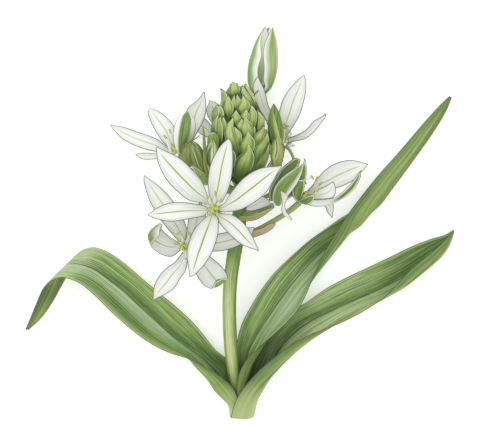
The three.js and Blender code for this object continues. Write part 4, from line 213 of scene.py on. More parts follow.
RIBBONS = [
  { "name": "half_open_flower_curled_tepal", "th": 1.3, "rows": [
    [[280.0, 190.5, 76.0], [284.2, 193.2, 77.2], [288.2, 196.0, 76.0]],
    [[281.0, 197.5, 76.5], [284.3, 198.6, 77.2], [287.6, 199.0, 76.2]],
    [[282.2, 203.4, 75.0], [283.6, 203.8, 75.6], [285.2, 204.4, 75.0]],
    [[281.3, 210.0, 72.5], [283.8, 210.6, 73.0], [286.5, 211.6, 72.5]],
    [[284.0, 215.6, 70.0], [286.6, 215.8, 70.8], [290.4, 216.4, 70.0]],
    [[291.4, 220.4, 67.0], [292.0, 219.9, 67.2], [292.5, 219.3, 67.0]] ] },
  { "name": "side_bract_left", "th": 1.3, "rows": [
    [[206.2, 176.8, 74.0], [207.8, 176.2, 74.4], [209.4, 175.6, 74.0]],
    [[203.7, 165.0, 76.4], [205.4, 164.6, 77.0], [207.1, 164.2, 76.4]],
    [[203.0, 153.0, 75.4], [204.5, 152.8, 76.0], [206.0, 152.6, 75.4]],
    [[202.8, 140.0, 73.0], [204.2, 140.0, 73.4], [205.6, 140.0, 73.0]],
    [[202.6, 127.4, 69.0], [203.2, 126.8, 69.0], [203.8, 127.4, 69.0]] ] }
]

BUDS = [
  { "name": "top_bud", "a": [258.0, 97.0, 15.8], "b": [269.4, 26.0, 15.4], "prof": [[0, 1.6], [0.03, 5.0], [0.085, 9.0], [0.183, 12.6], [0.324, 14.4], [0.47, 14.7], [0.62, 13.3], [0.768, 11.0], [0.88, 8.0], [0.96, 4.6], [1, 1.2]], "lobes": 0.035 },
  { "name": "side_bud_right_upper", "a": [276.8, 151.0, 50.0], "b": [273.6, 103.6, 50.0], "prof": [[0, 1.2], [0.06, 4.4], [0.25, 7.2], [0.5, 7.7], [0.75, 6.0], [0.92, 3.0], [1, 0.7]], "lobes": 0.04 },
  { "name": "side_bud_right_lower", "a": [276.4, 167.6, 65.0], "b": [276.2, 137.1, 65.0], "prof": [[0, 1.2], [0.08, 3.6], [0.3, 5.8], [0.55, 5.9], [0.8, 4.0], [1, 0.7]], "lobes": 0.04 },
  { "name": "side_bud_left_front", "a": [202.6, 172.2, 67.5], "b": [193.4, 141.0, 68.0], "prof": [[0, 1.2], [0.08, 3.4], [0.25, 5.8], [0.45, 6.8], [0.63, 6.5], [0.8, 5.0], [0.93, 2.8], [1, 0.8]], "lobes": 0.05 },
  { "name": "side_bud_left_small", "a": [189.6, 167.4, 58.0], "b": [187.4, 141.8, 58.5], "prof": [[0, 1.0], [0.1, 3.6], [0.32, 6.6], [0.55, 7.4], [0.75, 6.2], [0.9, 3.9], [1, 1.0]], "lobes": 0.03 },
  { "name": "side_bud_inner", "a": [211.0, 168.4, 69.0], "b": [212.8, 138.2, 69.0], "prof": [[0, 1.2], [0.1, 4.0], [0.3, 6.6], [0.55, 7.3], [0.78, 5.4], [0.92, 2.8], [1, 0.7]], "lobes": 0.05 }
]

CONE = { "name": "bud_cone", "core": 2.6, "z": 46.0, "path": [[240.6, 183.5, 46.0], [240.6, 160.0, 46.0], [240.0, 140.0, 46.0], [238.3, 120.0, 46.0], [237.2, 104.0, 46.0], [235.6, 91.0, 46.0], [233.6, 82.4, 46.0]],
  "prof": [[0, 4.0], [0.03, 9.0], [0.08, 15.0], [0.17, 22.4], [0.32, 28.4], [0.43, 29.0], [0.53, 27.8], [0.63, 26.2], [0.72, 23.0], [0.8, 18.4], [0.87, 14.2], [0.94, 9.4], [0.98, 5.4], [1, 1.4]] }

# pointed scales of the cone: foot, tip, left and right outline from the tip down
SCALES = [
  { "f": [235.0, 98.5], "t": [232.7, 81.4], "L": [[230.0, 84.5], [228.7, 89.0], [229.2, 94.5]], "R": [[235.6, 82.6], [239.4, 86.4], [240.6, 90.4], [238.0, 95.6]] },
  { "f": [222.6, 112.5], "t": [220.1, 88.4], "L": [[220.6, 93.0], [221.0, 100.0], [221.6, 107.0]], "R": [[223.0, 90.4], [227.0, 94.4], [226.4, 101.0], [224.0, 108.0]] },
  { "f": [254.6, 111.0], "t": [242.6, 85.4], "L": [[241.2, 89.0], [241.0, 93.2], [245.6, 98.6], [250.6, 105.6]], "R": [[246.2, 89.4], [250.2, 95.2], [254.0, 101.4], [256.6, 107.6]] },
  { "f": [258.0, 112.0], "t": [246.0, 83.6], "L": [[244.6, 86.4], [247.4, 91.2], [251.6, 97.4], [255.4, 104.4]], "R": [[248.8, 87.0], [252.4, 92.4], [256.0, 100.0], [258.6, 108.0]] },
  { "f": [256.0, 108.0], "t": [258.7, 90.2], "L": [[256.0, 92.6], [254.0, 97.0], [253.6, 102.0]], "R": [[257.4, 94.4], [257.2, 99.5], [257.4, 104.0]] },
  { "f": [236.0, 112.5], "t": [234.9, 93.8], "L": [[232.8, 97.0], [231.2, 101.0], [232.8, 106.0]], "R": [[235.7, 98.5], [236.2, 103.5], [236.4, 108.5]] },
  { "f": [236.4, 112.5], "t": [236.9, 93.4], "L": [[235.6, 98.0], [235.5, 103.5], [235.9, 108.0]], "R": [[239.2, 96.8], [241.4, 101.4], [239.6, 106.2]] },
  { "f": [222.5, 125.0], "t": [218.2, 104.6], "L": [[218.6, 109.0], [219.6, 114.0], [221.0, 120.0]], "R": [[221.6, 106.4], [223.6, 110.6], [224.2, 117.0]] },
  { "f": [228.8, 121.5], "t": [228.1, 95.6], "L": [[225.2, 98.8], [223.4, 103.5], [223.7, 109.5], [225.8, 116.0]], "R": [[230.4, 98.8], [232.6, 103.4], [233.6, 108.8], [231.8, 115.2]] },
  { "f": [244.6, 119.5], "t": [243.2, 94.5], "L": [[241.0, 99.0], [238.6, 104.0], [236.4, 107.8], [239.0, 112.4]], "R": [[245.6, 98.2], [248.6, 101.4], [250.2, 105.4], [248.4, 112.0]] },
  { "f": [236.0, 129.5], "t": [236.4, 109.4], "L": [[233.6, 112.4], [231.4, 115.8], [232.6, 121.6]], "R": [[238.4, 113.0], [240.8, 118.2], [239.0, 124.0]] },
  { "f": [253.6, 133.0], "t": [251.4, 104.8], "L": [[249.8, 109.0], [249.0, 115.0], [250.2, 123.0]], "R": [[254.8, 108.0], [257.2, 113.0], [257.4, 119.0], [256.0, 127.0]] },
  { "f": [245.6, 125.5], "t": [246.6, 108.6], "L": [[243.6, 111.4], [240.8, 115.6], [242.4, 121.0]], "R": [[248.6, 112.0], [249.8, 117.0], [248.0, 122.0]] },
  { "f": [259.6, 137.0], "t": [258.0, 110.4], "L": [[257.6, 114.0], [258.0, 120.0], [257.6, 129.0]], "R": [[261.6, 113.8], [264.6, 118.8], [265.4, 125.0], [263.4, 132.0]] },
  { "f": [213.6, 127.5], "t": [217.3, 104.8], "L": [[214.0, 107.4], [211.8, 111.8], [211.0, 118.4]], "R": [[219.8, 108.4], [219.2, 113.0], [216.6, 120.0]] },
  { "f": [223.6, 137.0], "t": [223.3, 115.6], "L": [[221.6, 120.0], [221.4, 126.0], [222.2, 132.0]], "R": [[225.2, 119.4], [226.6, 124.0], [225.4, 131.0]] },
  { "f": [214.2, 140.0], "t": [219.9, 112.6], "L": [[216.4, 116.4], [212.4, 121.6], [210.3, 127.6], [210.8, 134.0]], "R": [[218.6, 118.0], [216.6, 124.0], [215.6, 132.0]] },
  { "f": [241.0, 135.5], "t": [242.2, 118.0], "L": [[239.2, 121.0], [236.2, 124.6], [238.2, 130.4]], "R": [[243.6, 122.0], [244.0, 127.0], [243.0, 131.6]] },
  { "f": [221.0, 148.0], "t": [220.9, 115.8], "L": [[217.6, 119.6], [215.3, 125.6], [216.0, 133.0], [218.6, 141.0]], "R": [[221.8, 121.0], [222.6, 128.0], [222.8, 135.0], [222.2, 142.0]] },
  { "f": [239.4, 150.5], "t": [233.8, 125.6], "L": [[234.2, 131.0], [235.6, 137.6], [237.6, 144.6]], "R": [[237.6, 128.8], [241.0, 132.6], [242.2, 137.2], [241.2, 144.6]] },
  { "f": [237.0, 160.0], "t": [233.8, 116.4], "L": [[230.6, 119.6], [226.0, 124.2], [223.8, 129.2], [224.4, 137.0], [229.0, 149.0]], "R": [[234.0, 122.0], [234.2, 129.0], [236.0, 136.6], [238.6, 144.6], [239.4, 152.6]] },
  { "f": [256.6, 150.5], "t": [264.0, 125.0], "L": [[261.0, 128.8], [257.4, 132.0], [254.6, 135.2], [254.6, 143.0]], "R": [[265.2, 130.0], [264.8, 136.0], [261.0, 143.0]] },
  { "f": [249.4, 144.5], "t": [244.8, 114.0], "L": [[243.6, 118.8], [241.2, 123.6], [238.7, 128.2], [242.2, 135.6]], "R": [[247.6, 118.4], [252.0, 123.2], [255.4, 128.4], [255.2, 134.4], [252.8, 140.0]] },
  { "f": [227.0, 176.0], "t": [228.0, 141.0], "L": [[223.4, 147.0], [219.4, 155.0], [220.6, 166.0]], "R": [[231.6, 147.0], [235.6, 156.0], [233.6, 167.0]] },
  { "f": [219.4, 172.0], "t": [216.4, 146.0], "L": [[213.4, 151.0], [212.0, 158.0], [214.6, 166.0]], "R": [[219.6, 151.0], [222.6, 158.0], [222.4, 166.0]] },
  { "f": [245.4, 162.0], "t": [247.8, 127.6], "L": [[246.8, 132.6], [243.4, 137.8], [239.0, 143.6], [238.8, 150.0], [241.2, 156.6]], "R": [[249.0, 132.0], [252.6, 136.8], [255.0, 141.6], [254.6, 147.4], [251.4, 155.4]] },
  { "f": [256.0, 171.0], "t": [266.8, 129.2], "L": [[266.0, 134.2], [262.0, 139.6], [257.4, 143.8], [254.6, 149.4], [254.2, 160.0]], "R": [[268.6, 134.6], [270.0, 140.0], [268.4, 146.6], [264.6, 153.8], [259.6, 163.0]] },
  { "f": [258.0, 178.0], "t": [268.2, 141.2], "L": [[267.2, 146.4], [264.2, 152.4], [259.6, 158.8], [255.0, 164.0], [254.4, 171.6]], "R": [[269.8, 147.0], [269.6, 154.0], [267.6, 161.4], [263.8, 170.0]] },
  { "f": [238.6, 185.0], "t": [248.6, 141.0], "L": [[247.4, 146.2], [243.4, 151.8], [237.6, 157.6], [234.7, 163.4], [233.8, 170.0], [235.4, 178.0]], "R": [[249.8, 145.2], [253.2, 150.6], [254.5, 157.2], [253.8, 163.4], [250.8, 170.0], [245.6, 177.6]] }
]

STALK = [
  [[240.5, 417.0, 13.4, 5.3], [238.7, 400.0, 15.0, 5.6], [235.7, 383.0, 16.8, 6.1], [232.8, 365.0, 18.8, 6.5], [230.7, 345.0, 21.5, 6.7], [229.6, 325.0, 24.5, 6.75], [229.3, 307.0, 27.5, 6.8], [229.8, 290.0, 30.0, 6.8], [231.3, 273.0, 33.0, 6.9], [234.0, 255.0, 36.0, 7.1], [236.8, 238.0, 39.0, 7.3], [239.0, 220.0, 41.5, 7.3], [240.3, 202.0, 43.5, 6.8], [240.7, 185.6, 44.0, 6.0]],
  [[238.0, 229.0, 44.0, 3.0], [229.0, 222.0, 55.0, 2.7], [219.0, 214.0, 68.0, 2.6], [213.6, 209.2, 76.0, 3.0], [213.4, 208.8, 77.6, 3.2]],
  [[237.5, 192.0, 42.0, 3.0], [221.0, 182.0, 40.0, 2.5], [203.0, 172.0, 40.0, 2.3], [188.0, 161.0, 42.0, 2.5], [178.6, 154.6, 43.4, 3.0]],
  [[235.5, 246.0, 38.0, 3.0], [222.0, 244.0, 38.0, 2.4], [207.0, 244.6, 41.0, 2.3], [193.0, 246.6, 47.0, 2.5], [185.4, 247.4, 52.4, 3.0]],
  [[239.0, 234.0, 42.0, 3.2], [254.0, 231.0, 43.0, 2.8], [270.0, 223.0, 44.0, 2.7], [288.0, 212.0, 45.0, 2.9], [299.6, 202.6, 45.8, 3.2]],
  [[241.0, 211.0, 43.0, 3.0], [259.0, 201.0, 39.0, 2.4], [276.0, 190.0, 34.0, 2.1], [287.5, 178.0, 33.0, 1.8], [294.2, 164.0, 32.0, 1.65], [290.8, 152.0, 30.0, 1.6], [285.0, 145.6, 28.4, 2.0]],
  [[240.0, 194.0, 40.0, 3.0], [234.0, 180.0, 26.0, 2.5], [228.0, 164.0, 13.0, 2.3], [223.8, 147.0, 6.4, 2.3], [223.2, 140.4, 8.0, 2.8], [223.1, 139.4, 9.2, 3.0]],
  [[240.0, 218.0, 44.0, 3.4], [250.0, 213.0, 48.0, 2.6], [262.0, 209.0, 52.0, 2.6], [270.0, 206.4, 55.0, 2.8], [273.6, 205.2, 56.2, 3.2]],
  [[240.5, 204.0, 40.0, 3.0], [247.0, 188.0, 26.0, 2.6], [253.0, 168.0, 15.0, 2.3], [258.6, 148.0, 11.6, 2.3], [261.0, 124.0, 12.0, 2.4], [259.4, 106.0, 14.6, 2.8], [258.2, 98.4, 15.6, 3.2]],
  [[242.0, 199.0, 46.0, 2.8], [256.0, 190.0, 57.0, 2.0], [269.0, 178.0, 63.0, 1.8], [276.0, 170.4, 65.0, 2.2], [276.3, 168.8, 65.0, 2.4]],
  [[242.0, 194.0, 47.0, 2.6], [258.0, 182.0, 52.0, 1.8], [271.0, 167.0, 51.0, 1.8], [276.6, 154.4, 50.0, 2.2], [276.9, 152.2, 50.0, 2.4]],
  [[238.0, 196.0, 46.0, 3.4], [224.0, 188.0, 56.0, 3.2], [210.0, 180.6, 62.0, 3.0], [204.0, 175.2, 66.6, 2.7], [202.8, 173.2, 67.4, 2.5]],
  [[226.0, 189.0, 54.0, 2.6], [216.0, 181.0, 62.0, 2.2], [211.6, 172.0, 68.0, 2.2], [211.1, 169.4, 69.0, 2.4]],
  [[214.0, 183.0, 60.0, 2.4], [203.0, 179.0, 58.0, 2.0], [193.5, 172.5, 57.0, 1.8], [190.0, 168.6, 57.8, 1.9]]
]

STALK_BRACTS = [
  { "th": 1.3, "rows": [
    [[240.0, 215.4, 50.0], [239.0, 218.4, 49.0], [240.4, 221.6, 50.0]],
    [[248.0, 215.6, 54.0], [248.4, 218.4, 53.2], [248.6, 221.3, 54.0]],
    [[256.6, 213.6, 56.5], [257.0, 216.4, 55.8], [257.4, 219.4, 56.5]],
    [[264.6, 209.8, 58.5], [265.4, 212.0, 58.0], [266.0, 214.4, 58.5]],
    [[273.2, 206.8, 60.5], [273.6, 207.4, 60.5], [274.0, 208.0, 60.5]] ] },
  { "th": 1.3, "rows": [
    [[241.4, 235.0, 47.5], [242.0, 237.6, 46.6], [243.4, 240.4, 47.5]],
    [[252.0, 231.0, 49.0], [252.8, 234.2, 47.8], [253.6, 237.6, 48.6]],
    [[262.6, 227.6, 50.0], [263.6, 230.8, 48.8], [264.4, 234.0, 49.4]],
    [[270.4, 223.4, 51.0], [271.6, 225.8, 50.0], [272.8, 228.6, 50.4]],
    [[275.0, 223.0, 51.5], [275.5, 223.4, 51.5], [275.8, 224.0, 51.5]] ] },
  { "th": 1.2, "rows": [
    [[214.2, 181.6, 60.4], [212.2, 183.6, 60.6], [210.2, 185.6, 60.0]],
    [[208.2, 176.6, 67.4], [204.6, 180.4, 68.0], [200.6, 184.4, 66.8]],
    [[203.0, 171.6, 71.6], [199.8, 174.8, 72.2], [196.4, 178.4, 71.0]],
    [[197.0, 167.6, 73.0], [195.6, 169.6, 73.2], [194.0, 171.8, 72.6]],
    [[192.7, 165.0, 72.6], [192.4, 165.3, 72.6], [192.1, 165.6, 72.6]] ] }
]

RNG = np.random.default_rng(7)


# ---------------------------------------------------------------- geometry
def world(P):
    P = np.asarray(P, float)
    z = P[..., 2] * UNIT
    k = UNIT * (1 - z / EYE)
    return np.stack([(P[..., 0] - MID_X) * k, (MID_Y - P[..., 1]) * k, z], -1) + SHIFT


def unit(v):
    v = np.asarray(v, float)
    return v / np.maximum(np.linalg.norm(v, axis=-1, keepdims=True), 1e-12)


def through(P, t):
    """Smooth curve through the rows of P at the parameters t (0..1)."""
    P = np.asarray(P, float)
    t = np.atleast_1d(np.asarray(t, float))
    n = len(P) - 1
    u = np.clip(t, 0, 1) * n
    i = np.minimum(u.astype(int), n - 1)
    f = (u - i).reshape((-1,) + (1,) * (P.ndim - 1))
    ext = np.concatenate([[2 * P[0] - P[1]], P, [2 * P[-1] - P[-2]]])
    p0, p1, p2, p3 = ext[i], ext[i + 1], ext[i + 2], ext[i + 3]
    m1, m2 = (p2 - p0) / 2, (p3 - p1) / 2
    return ((2 * f**3 - 3 * f**2 + 1) * p1 + (f**3 - 2 * f**2 + f) * m1
            + (-2 * f**3 + 3 * f**2) * p2 + (f**3 - f**2) * m2)


def evenly(P, n):
    P = np.asarray(P, float)
    fine = through(P, np.linspace(0, 1, 24 * (len(P) - 1) + 1))
    acc = np.concatenate([[0], np.cumsum(np.linalg.norm(np.diff(fine, axis=0), axis=1))])
    want = np.linspace(0, acc[-1], n + 1)
    return np.stack([np.interp(want, acc, fine[:, k]) for k in range(fine.shape[1])], 1)


def normals(G):
    du = np.gradient(G, axis=0)
    dv = np.gradient(G, axis=1)
    return unit(np.cross(du, dv))


def new_object(name, V, F, attrs=None, mats=(), face_mat=None, smooth=True):
    me = bpy.data.meshes.new(name)
    me.from_pydata([tuple(v) for v in np.asarray(V)], [], [tuple(int(i) for i in f) for f in F])
    for key, val in (attrs or {}).items():
        a = me.attributes.new(key, 'FLOAT_VECTOR', 'POINT')
        a.data.foreach_set('vector', np.asarray(val, np.float32).ravel())
    if smooth:
        me.polygons.foreach_set('use_smooth', [True] * len(me.polygons))
    for m in mats:
        me.materials.append(m)
    if face_mat is not None:
        me.polygons.foreach_set('material_index', np.asarray(face_mat, np.int32))
    me.update()
    ob = bpy.data.objects.new(name, me)
    bpy.context.scene.collection.objects.link(ob)
    # outward faces
    vol = 0.0
    Vn = np.asarray(V)
    tri = np.array([(f[0], f[i], f[i + 1]) for f in F for i in range(1, len(f) - 1)])
    vol = np.einsum('ij,ij->i', Vn[tri[:, 0]], np.cross(Vn[tri[:, 1]], Vn[tri[:, 2]])).sum()
    if vol < 0:
        me.flip_normals()
    return ob


class Build:
    """Collects several closed bodies into one object."""
    def __init__(self):
        self.V, self.F, self.M, self.A, self.B = [], [], [], [], []
        self.n = 0

    def add(self, V, F, A=None, B=None, mat=0):
        V = np.asarray(V, float)
        tri = np.array([(f[0], f[i], f[i + 1]) for f in F for i in range(1, len(f) - 1)])
        c = V.mean(0)
        W = V - c
        vol = np.einsum('ij,ij->i', W[tri[:, 0]], np.cross(W[tri[:, 1]], W[tri[:, 2]])).sum()
        F = [tuple(f) if vol > 0 else tuple(reversed(f)) for f in F]
        self.V.append(V)
        self.F += [tuple(int(i) + self.n for i in f) for f in F]
        self.M += list(mat) if hasattr(mat, '__len__') else [mat] * len(F)
        z = np.zeros((len(V), 3))
        self.A.append(z if A is None else np.asarray(A, float))
        self.B.append(z if B is None else np.asarray(B, float))
        self.n += len(V)

    def make(self, name, mats):
        return new_object(name, np.concatenate(self.V), self.F,
                          {'pa': np.concatenate(self.A), 'pb': np.concatenate(self.B)}, mats, self.M)


def blade(G, thick, groove=0.0, ripple=0.0, veins=9, seed=0, ridge=0.0, taper=3.0):
    """Closed thin blade with a rounded margin from a grid of points (metres).
    pa = (s across -1..1, t along 0..1, side 1 upper / 0 lower)
    pb = (distance to margin mm, half width mm, length mm)"""
    R, C = G.shape[:2]
    s = np.linspace(-1, 1, C)[None, :]
    t = np.linspace(0, 1, R)[:, None]
    N = normals(G)
    flip = 1.0 if N[..., 2].mean() > 0 else -1.0
    N = N * flip
    width = np.linalg.norm(G[:, -1] - G[:, 0], axis=1)
    seg = np.linalg.norm(np.diff(G[:, C // 2], axis=0), axis=1)
    along = np.concatenate([[0], np.cumsum(seg)])
    arc = np.concatenate([np.zeros((R, 1)), np.cumsum(np.linalg.norm(np.diff(G, axis=1), axis=2), 1)], 1)
    full = arc[:, -1:]
    edge = np.minimum(arc, full - arc)
    edge = np.minimum(edge, (along[-1] - along)[:, None] * 0.9 + 0.0)
    prof = np.sqrt(np.clip(1 - np.abs(s) ** taper, 0, 1)) * np.ones((R, 1))
    lim = np.clip(full / 2 / (thick * 1.2), 0.25, 1)
    h = thick / 2 * prof * lim
    ph = seed * 1.7
    dz = np.zeros((R, C))
    if ripple:
        fade = np.clip(1 - np.abs(s) ** 6, 0, 1) * np.sin(np.pi * np.clip(t, 0.02, 0.98)) ** 0.4
        dz += ripple * fade * (0.6 * np.cos(s * veins * math.pi + ph) + 0.4 * np.cos(s * veins * 1.9 * math.pi + 2.1 * ph + 3 * t))
    if groove:
        dz -= groove * np.exp(-(s / 0.09) ** 2) * np.sin(np.pi * np.clip(t, 0.03, 0.97)) ** 0.5
    top = G + N * (h + dz * np.minimum(prof * 2, 1))[..., None]
    bot = G - N * (h - dz * np.minimum(prof * 2, 1) * 0.6 + ridge * np.exp(-(s / 0.08) ** 2) * prof)[..., None]
    V, A, B = [], [], []
    tid = np.zeros((R, C), int); bid = np.zeros((R, C), int)
    hw = full[:, 0] / 2
    for r in range(R):
        for c in range(C):
            tid[r, c] = len(V)
            side = 0.5 if c in (0, C - 1) else 1.0
            V.append(top[r, c]); A.append((s[0, c], t[r, 0], side)); B.append((edge[r, c] * 1e3, hw[r] * 1e3, along[r] * 1e3))
            if c in (0, C - 1):
                bid[r, c] = tid[r, c]
    for r in range(R):
        for c in range(1, C - 1):
            bid[r, c] = len(V)
            V.append(bot[r, c]); A.append((s[0, c], t[r, 0], 0.0)); B.append((edge[r, c] * 1e3, hw[r] * 1e3, along[r] * 1e3))
    F = []
    for r in range(R - 1):
        for c in range(C - 1):
            F.append((tid[r, c], tid[r + 1, c], tid[r + 1, c + 1], tid[r, c + 1]))
            F.append((bid[r, c], bid[r, c + 1], bid[r + 1, c + 1], bid[r + 1, c]))
    for r, up in ((0, True), (R - 1, False)):
        for c in range(C - 1):
            q = [tid[r, c], tid[r, c + 1], bid[r, c + 1], bid[r, c]]
            q = [v for k, v in enumerate(q) if v not in q[:k]]
            if len(q) >= 3:
                F.append(tuple(q if up else reversed(q)))
    return np.array(V), F, np.array(A), np.array(B)


def tube(path, radii, sides=24, lobes=0, amp=0.0, flat=1.0):
    """Closed round body; pa = (angle -1..1, t, 0), pb = (0, radius mm, along mm)."""
    path = np.asarray(path, float)
    n = len(path)
    T = unit(np.gradient(path, axis=0))
    ref = np.array([0, 0, 1.0]) if abs(T[0][2]) < 0.9 else np.array([1.0, 0, 0])
    V, A, B = [], [], []
    along = np.concatenate([[0], np.cumsum(np.linalg.norm(np.diff(path, axis=0), axis=1))])
    ang = 2 * np.pi * np.arange(sides) / sides
    for i in range(n):
        a = unit(np.cross(T[i], np.cross(ref, T[i])))
        b = np.cross(T[i], a)
        ref = a
        rr = radii[i] * (1 + amp * np.cos(lobes * ang))
        V.append(path[i] + np.outer(rr * np.cos(ang) * flat, a) + np.outer(rr * np.sin(ang), b))
        w = ang / np.pi
        A.append(np.stack([np.where(w > 1, w - 2, w), np.full(sides, i / (n - 1)), np.zeros(sides)], 1))
        B.append(np.stack([np.zeros(sides), np.full(sides, radii[i] * 1e3), np.full(sides, along[i] * 1e3)], 1))
    V = np.concatenate(V + [path[:1], path[-1:]])
    A = np.concatenate(A + [[[0, 0, 0]], [[0, 1, 0]]])
    B = np.concatenate(B + [[[0, 0, 0]], [[0, 0, along[-1] * 1e3]]])
    F = []
    for i in range(n - 1):
        for k in range(sides):
            k2 = (k + 1) % sides
            F.append((i * sides + k, i * sides + k2, (i + 1) * sides + k2, (i + 1) * sides + k))
    s0, s1 = n * sides, n * sides + 1
    for k in range(sides):
        k2 = (k + 1) % sides
        F.append((s0, k2, k)); F.append((s1, (n - 1) * sides + k, (n - 1) * sides + k2))
    return V, F, A, B


def tepal_grid(t, centre=None, facing=None, rows_n=12, fine=4, cols=25, tipw=0.55):
    if 'rows' in t:
        K = np.array(t['rows'], float)
        R = (len(K) - 1) * 9 + 1
        K = through(K, np.linspace(0, 1, R))
        return world(through(K.transpose(1, 0, 2), np.linspace(0, 1, cols)).transpose(1, 0, 2))
    L = evenly(list(t['L']) + [t['t']], rows_n)
    Rr = evenly(list(t['R']) + [t['t']], rows_n)
    d = unit(Rr[-2] - L[-2])
    L[-1] = np.array(t['t']) - d * tipw
    Rr[-1] = np.array(t['t']) + d * tipw
    tt = np.linspace(0, 1, rows_n + 1)
    z = through(np.array(t['z'], float)[:, None], tt)[:, 0]
    s = np.linspace(-1, 1, 5)
    half = np.linalg.norm(Rr - L, axis=1) / 2
    ctrl = np.zeros((rows_n + 1, 5, 3))
    for i in range(rows_n + 1):
        xy = L[i] + (Rr[i] - L[i]) * ((s + 1) / 2)[:, None]
        ctrl[i, :, :2] = xy
        ctrl[i, :, 2] = z[i] + t['lr'] * s * math.sin(math.pi * min(tt[i] + 0.1, 1)) + t['cup'] * half[i] * s * s
    if centre is not None:
        c = np.array(centre, float)
        d = unit(np.array([facing[0], -facing[1], facing[2]]))
        first = ctrl[0, 2]
        o = first - c
        o = unit(o - d * (o @ d))
        side = unit(np.cross(d, o))
        if side @ (ctrl[0, 4] - ctrl[0, 0]) < 0:
            side = -side
        foot = np.array([c + o * 4.9 + side * (q * 2.0) - d * 0.6 for q in s])
        if np.linalg.norm(foot[2] - first) > 1.5:
            ctrl = np.concatenate([[foot], ctrl])
    R = (len(ctrl) - 1) * fine + 1
    K = through(ctrl, np.linspace(0, 1, R))
    K = through(K.transpose(1, 0, 2), np.linspace(0, 1, cols)).transpose(1, 0, 2)
    return world(K)


def leaf_grid(leaf, split=8, cols=49):
    rows = []
    for arc in leaf['arcs']:
        ax = unit(arc['ax'])
        u = unit(np.cross(ax, [0, 0, 1]))
        v = unit(np.cross(u, ax))
        row = []
        for deg in arc['a']:
            q = math.radians(deg)
            o = u * math.cos(q) + v * math.sin(q)
            row.append([arc['c'][0] + o[0] * arc['r'], arc['c'][1] - o[1] * arc['r'], arc['c'][2] + o[2] * arc['r']])
        rows.append(row)
    rows += leaf['st']
    K = np.array(rows, float)
    K = through(K, np.linspace(0, 1, (len(K) - 1) * split + 1))
    K = through(K.transpose(1, 0, 2), np.linspace(0, 1, cols)).transpose(1, 0, 2)
    return world(K)


# --------------------------------------------------------------- materials
class Mat:
    def __init__(self, name, rough=0.6):
        self.m = bpy.data.materials.new(name)
        self.m.use_nodes = True
        self.t = self.m.node_tree
        self.p = self.t.nodes['Principled BSDF']
        self.p.inputs['Roughness'].default_value = rough
        self.p.inputs['Specular IOR Level'].default_value = 0.3
        a = self.node('ShaderNodeAttribute'); a.attribute_name = 'pa'
        b = self.node('ShaderNodeAttribute'); b.attribute_name = 'pb'
        sa = self.node('ShaderNodeSeparateXYZ'); sb = self.node('ShaderNodeSeparateXYZ')
        self.t.links.new(a.outputs['Vector'], sa.inputs[0])
        self.t.links.new(b.outputs['Vector'], sb.inputs[0])
        self.s, self.l, self.side = sa.outputs
        self.edge, self.hw, self.along = sb.outputs
        c = self.node('ShaderNodeTexCoord')
        self.obj = c.outputs['Object']

    def node(self, kind):
        return self.t.nodes.new(kind)

    def put(self, sock, v):
        if isinstance(v, bpy.types.NodeSocket):
            self.t.links.new(v, sock)
        elif isinstance(v, (tuple, list)):
            sock.default_value = tuple(v) + ((1.0,) if len(v) == 3 and len(sock.default_value) == 4 else ())
        else:
            sock.default_value = v

    def math(self, op, a, b=0.0, c=0.0, clamp=False):
        n = self.node('ShaderNodeMath'); n.operation = op; n.use_clamp = clamp
        self.put(n.inputs[0], a); self.put(n.inputs[1], b); self.put(n.inputs[2], c)
        return n.outputs[0]

    def mix(self, f, a, b, blend='MIX'):
        n = self.node('ShaderNodeMix'); n.data_type = 'RGBA'; n.blend_type = blend
        self.put(n.inputs[0], f); self.put(n.inputs[6], a); self.put(n.inputs[7], b)
        return n.outputs[2]

    def lerp(self, f, a, b):
        n = self.node('ShaderNodeMix'); n.data_type = 'FLOAT'
        self.put(n.inputs[0], f); self.put(n.inputs[2], a); self.put(n.inputs[3], b)
        return n.outputs[0]

    def step(self, v, lo, hi, to0=0.0, to1=1.0):
        n = self.node('ShaderNodeMapRange'); n.interpolation_type = 'SMOOTHSTEP'
        self.put(n.inputs[0], v); self.put(n.inputs[1], lo); self.put(n.inputs[2], hi)
        self.put(n.inputs[3], to0); self.put(n.inputs[4], to1)
        return n.outputs[0]

    def vec(self, x, y, z=0.0):
        n = self.node('ShaderNodeCombineXYZ')
        self.put(n.inputs[0], x); self.put(n.inputs[1], y); self.put(n.inputs[2], z)
        return n.outputs[0]

    def noise(self, v, scale=1.0, detail=2.0, rough=0.5):
        n = self.node('ShaderNodeTexNoise')
        self.put(n.inputs['Vector'], v); self.put(n.inputs['Scale'], scale)
        self.put(n.inputs['Detail'], detail); self.put(n.inputs['Roughness'], rough)
        return n.outputs[0]

    def bump(self, h, dist=0.0001, strength=0.5):
        n = self.node('ShaderNodeBump')
        n.inputs['Strength'].default_value = strength
        n.inputs['Distance'].default_value = dist
        self.put(n.inputs['Height'], h)
        self.t.links.new(n.outputs[0], self.p.inputs['Normal'])

    def color(self, c):
        self.put(self.p.inputs['Base Color'], c)

    def streaks(self, across=16.0, along=1.6, seed=0.0, use='s'):
        v = self.vec(self.math('MULTIPLY', self.s, across), self.math('MULTIPLY', self.l, along), seed)
        return self.noise(v, 1.0, 3.0, 0.6)


def srgb(r, g, b):
    return tuple(((c / 255 + 0.055) / 1.055) ** 2.4 if c / 255 > 0.04045 else c / 255 / 12.92 for c in (r, g, b))


INK = srgb(94, 101, 82)


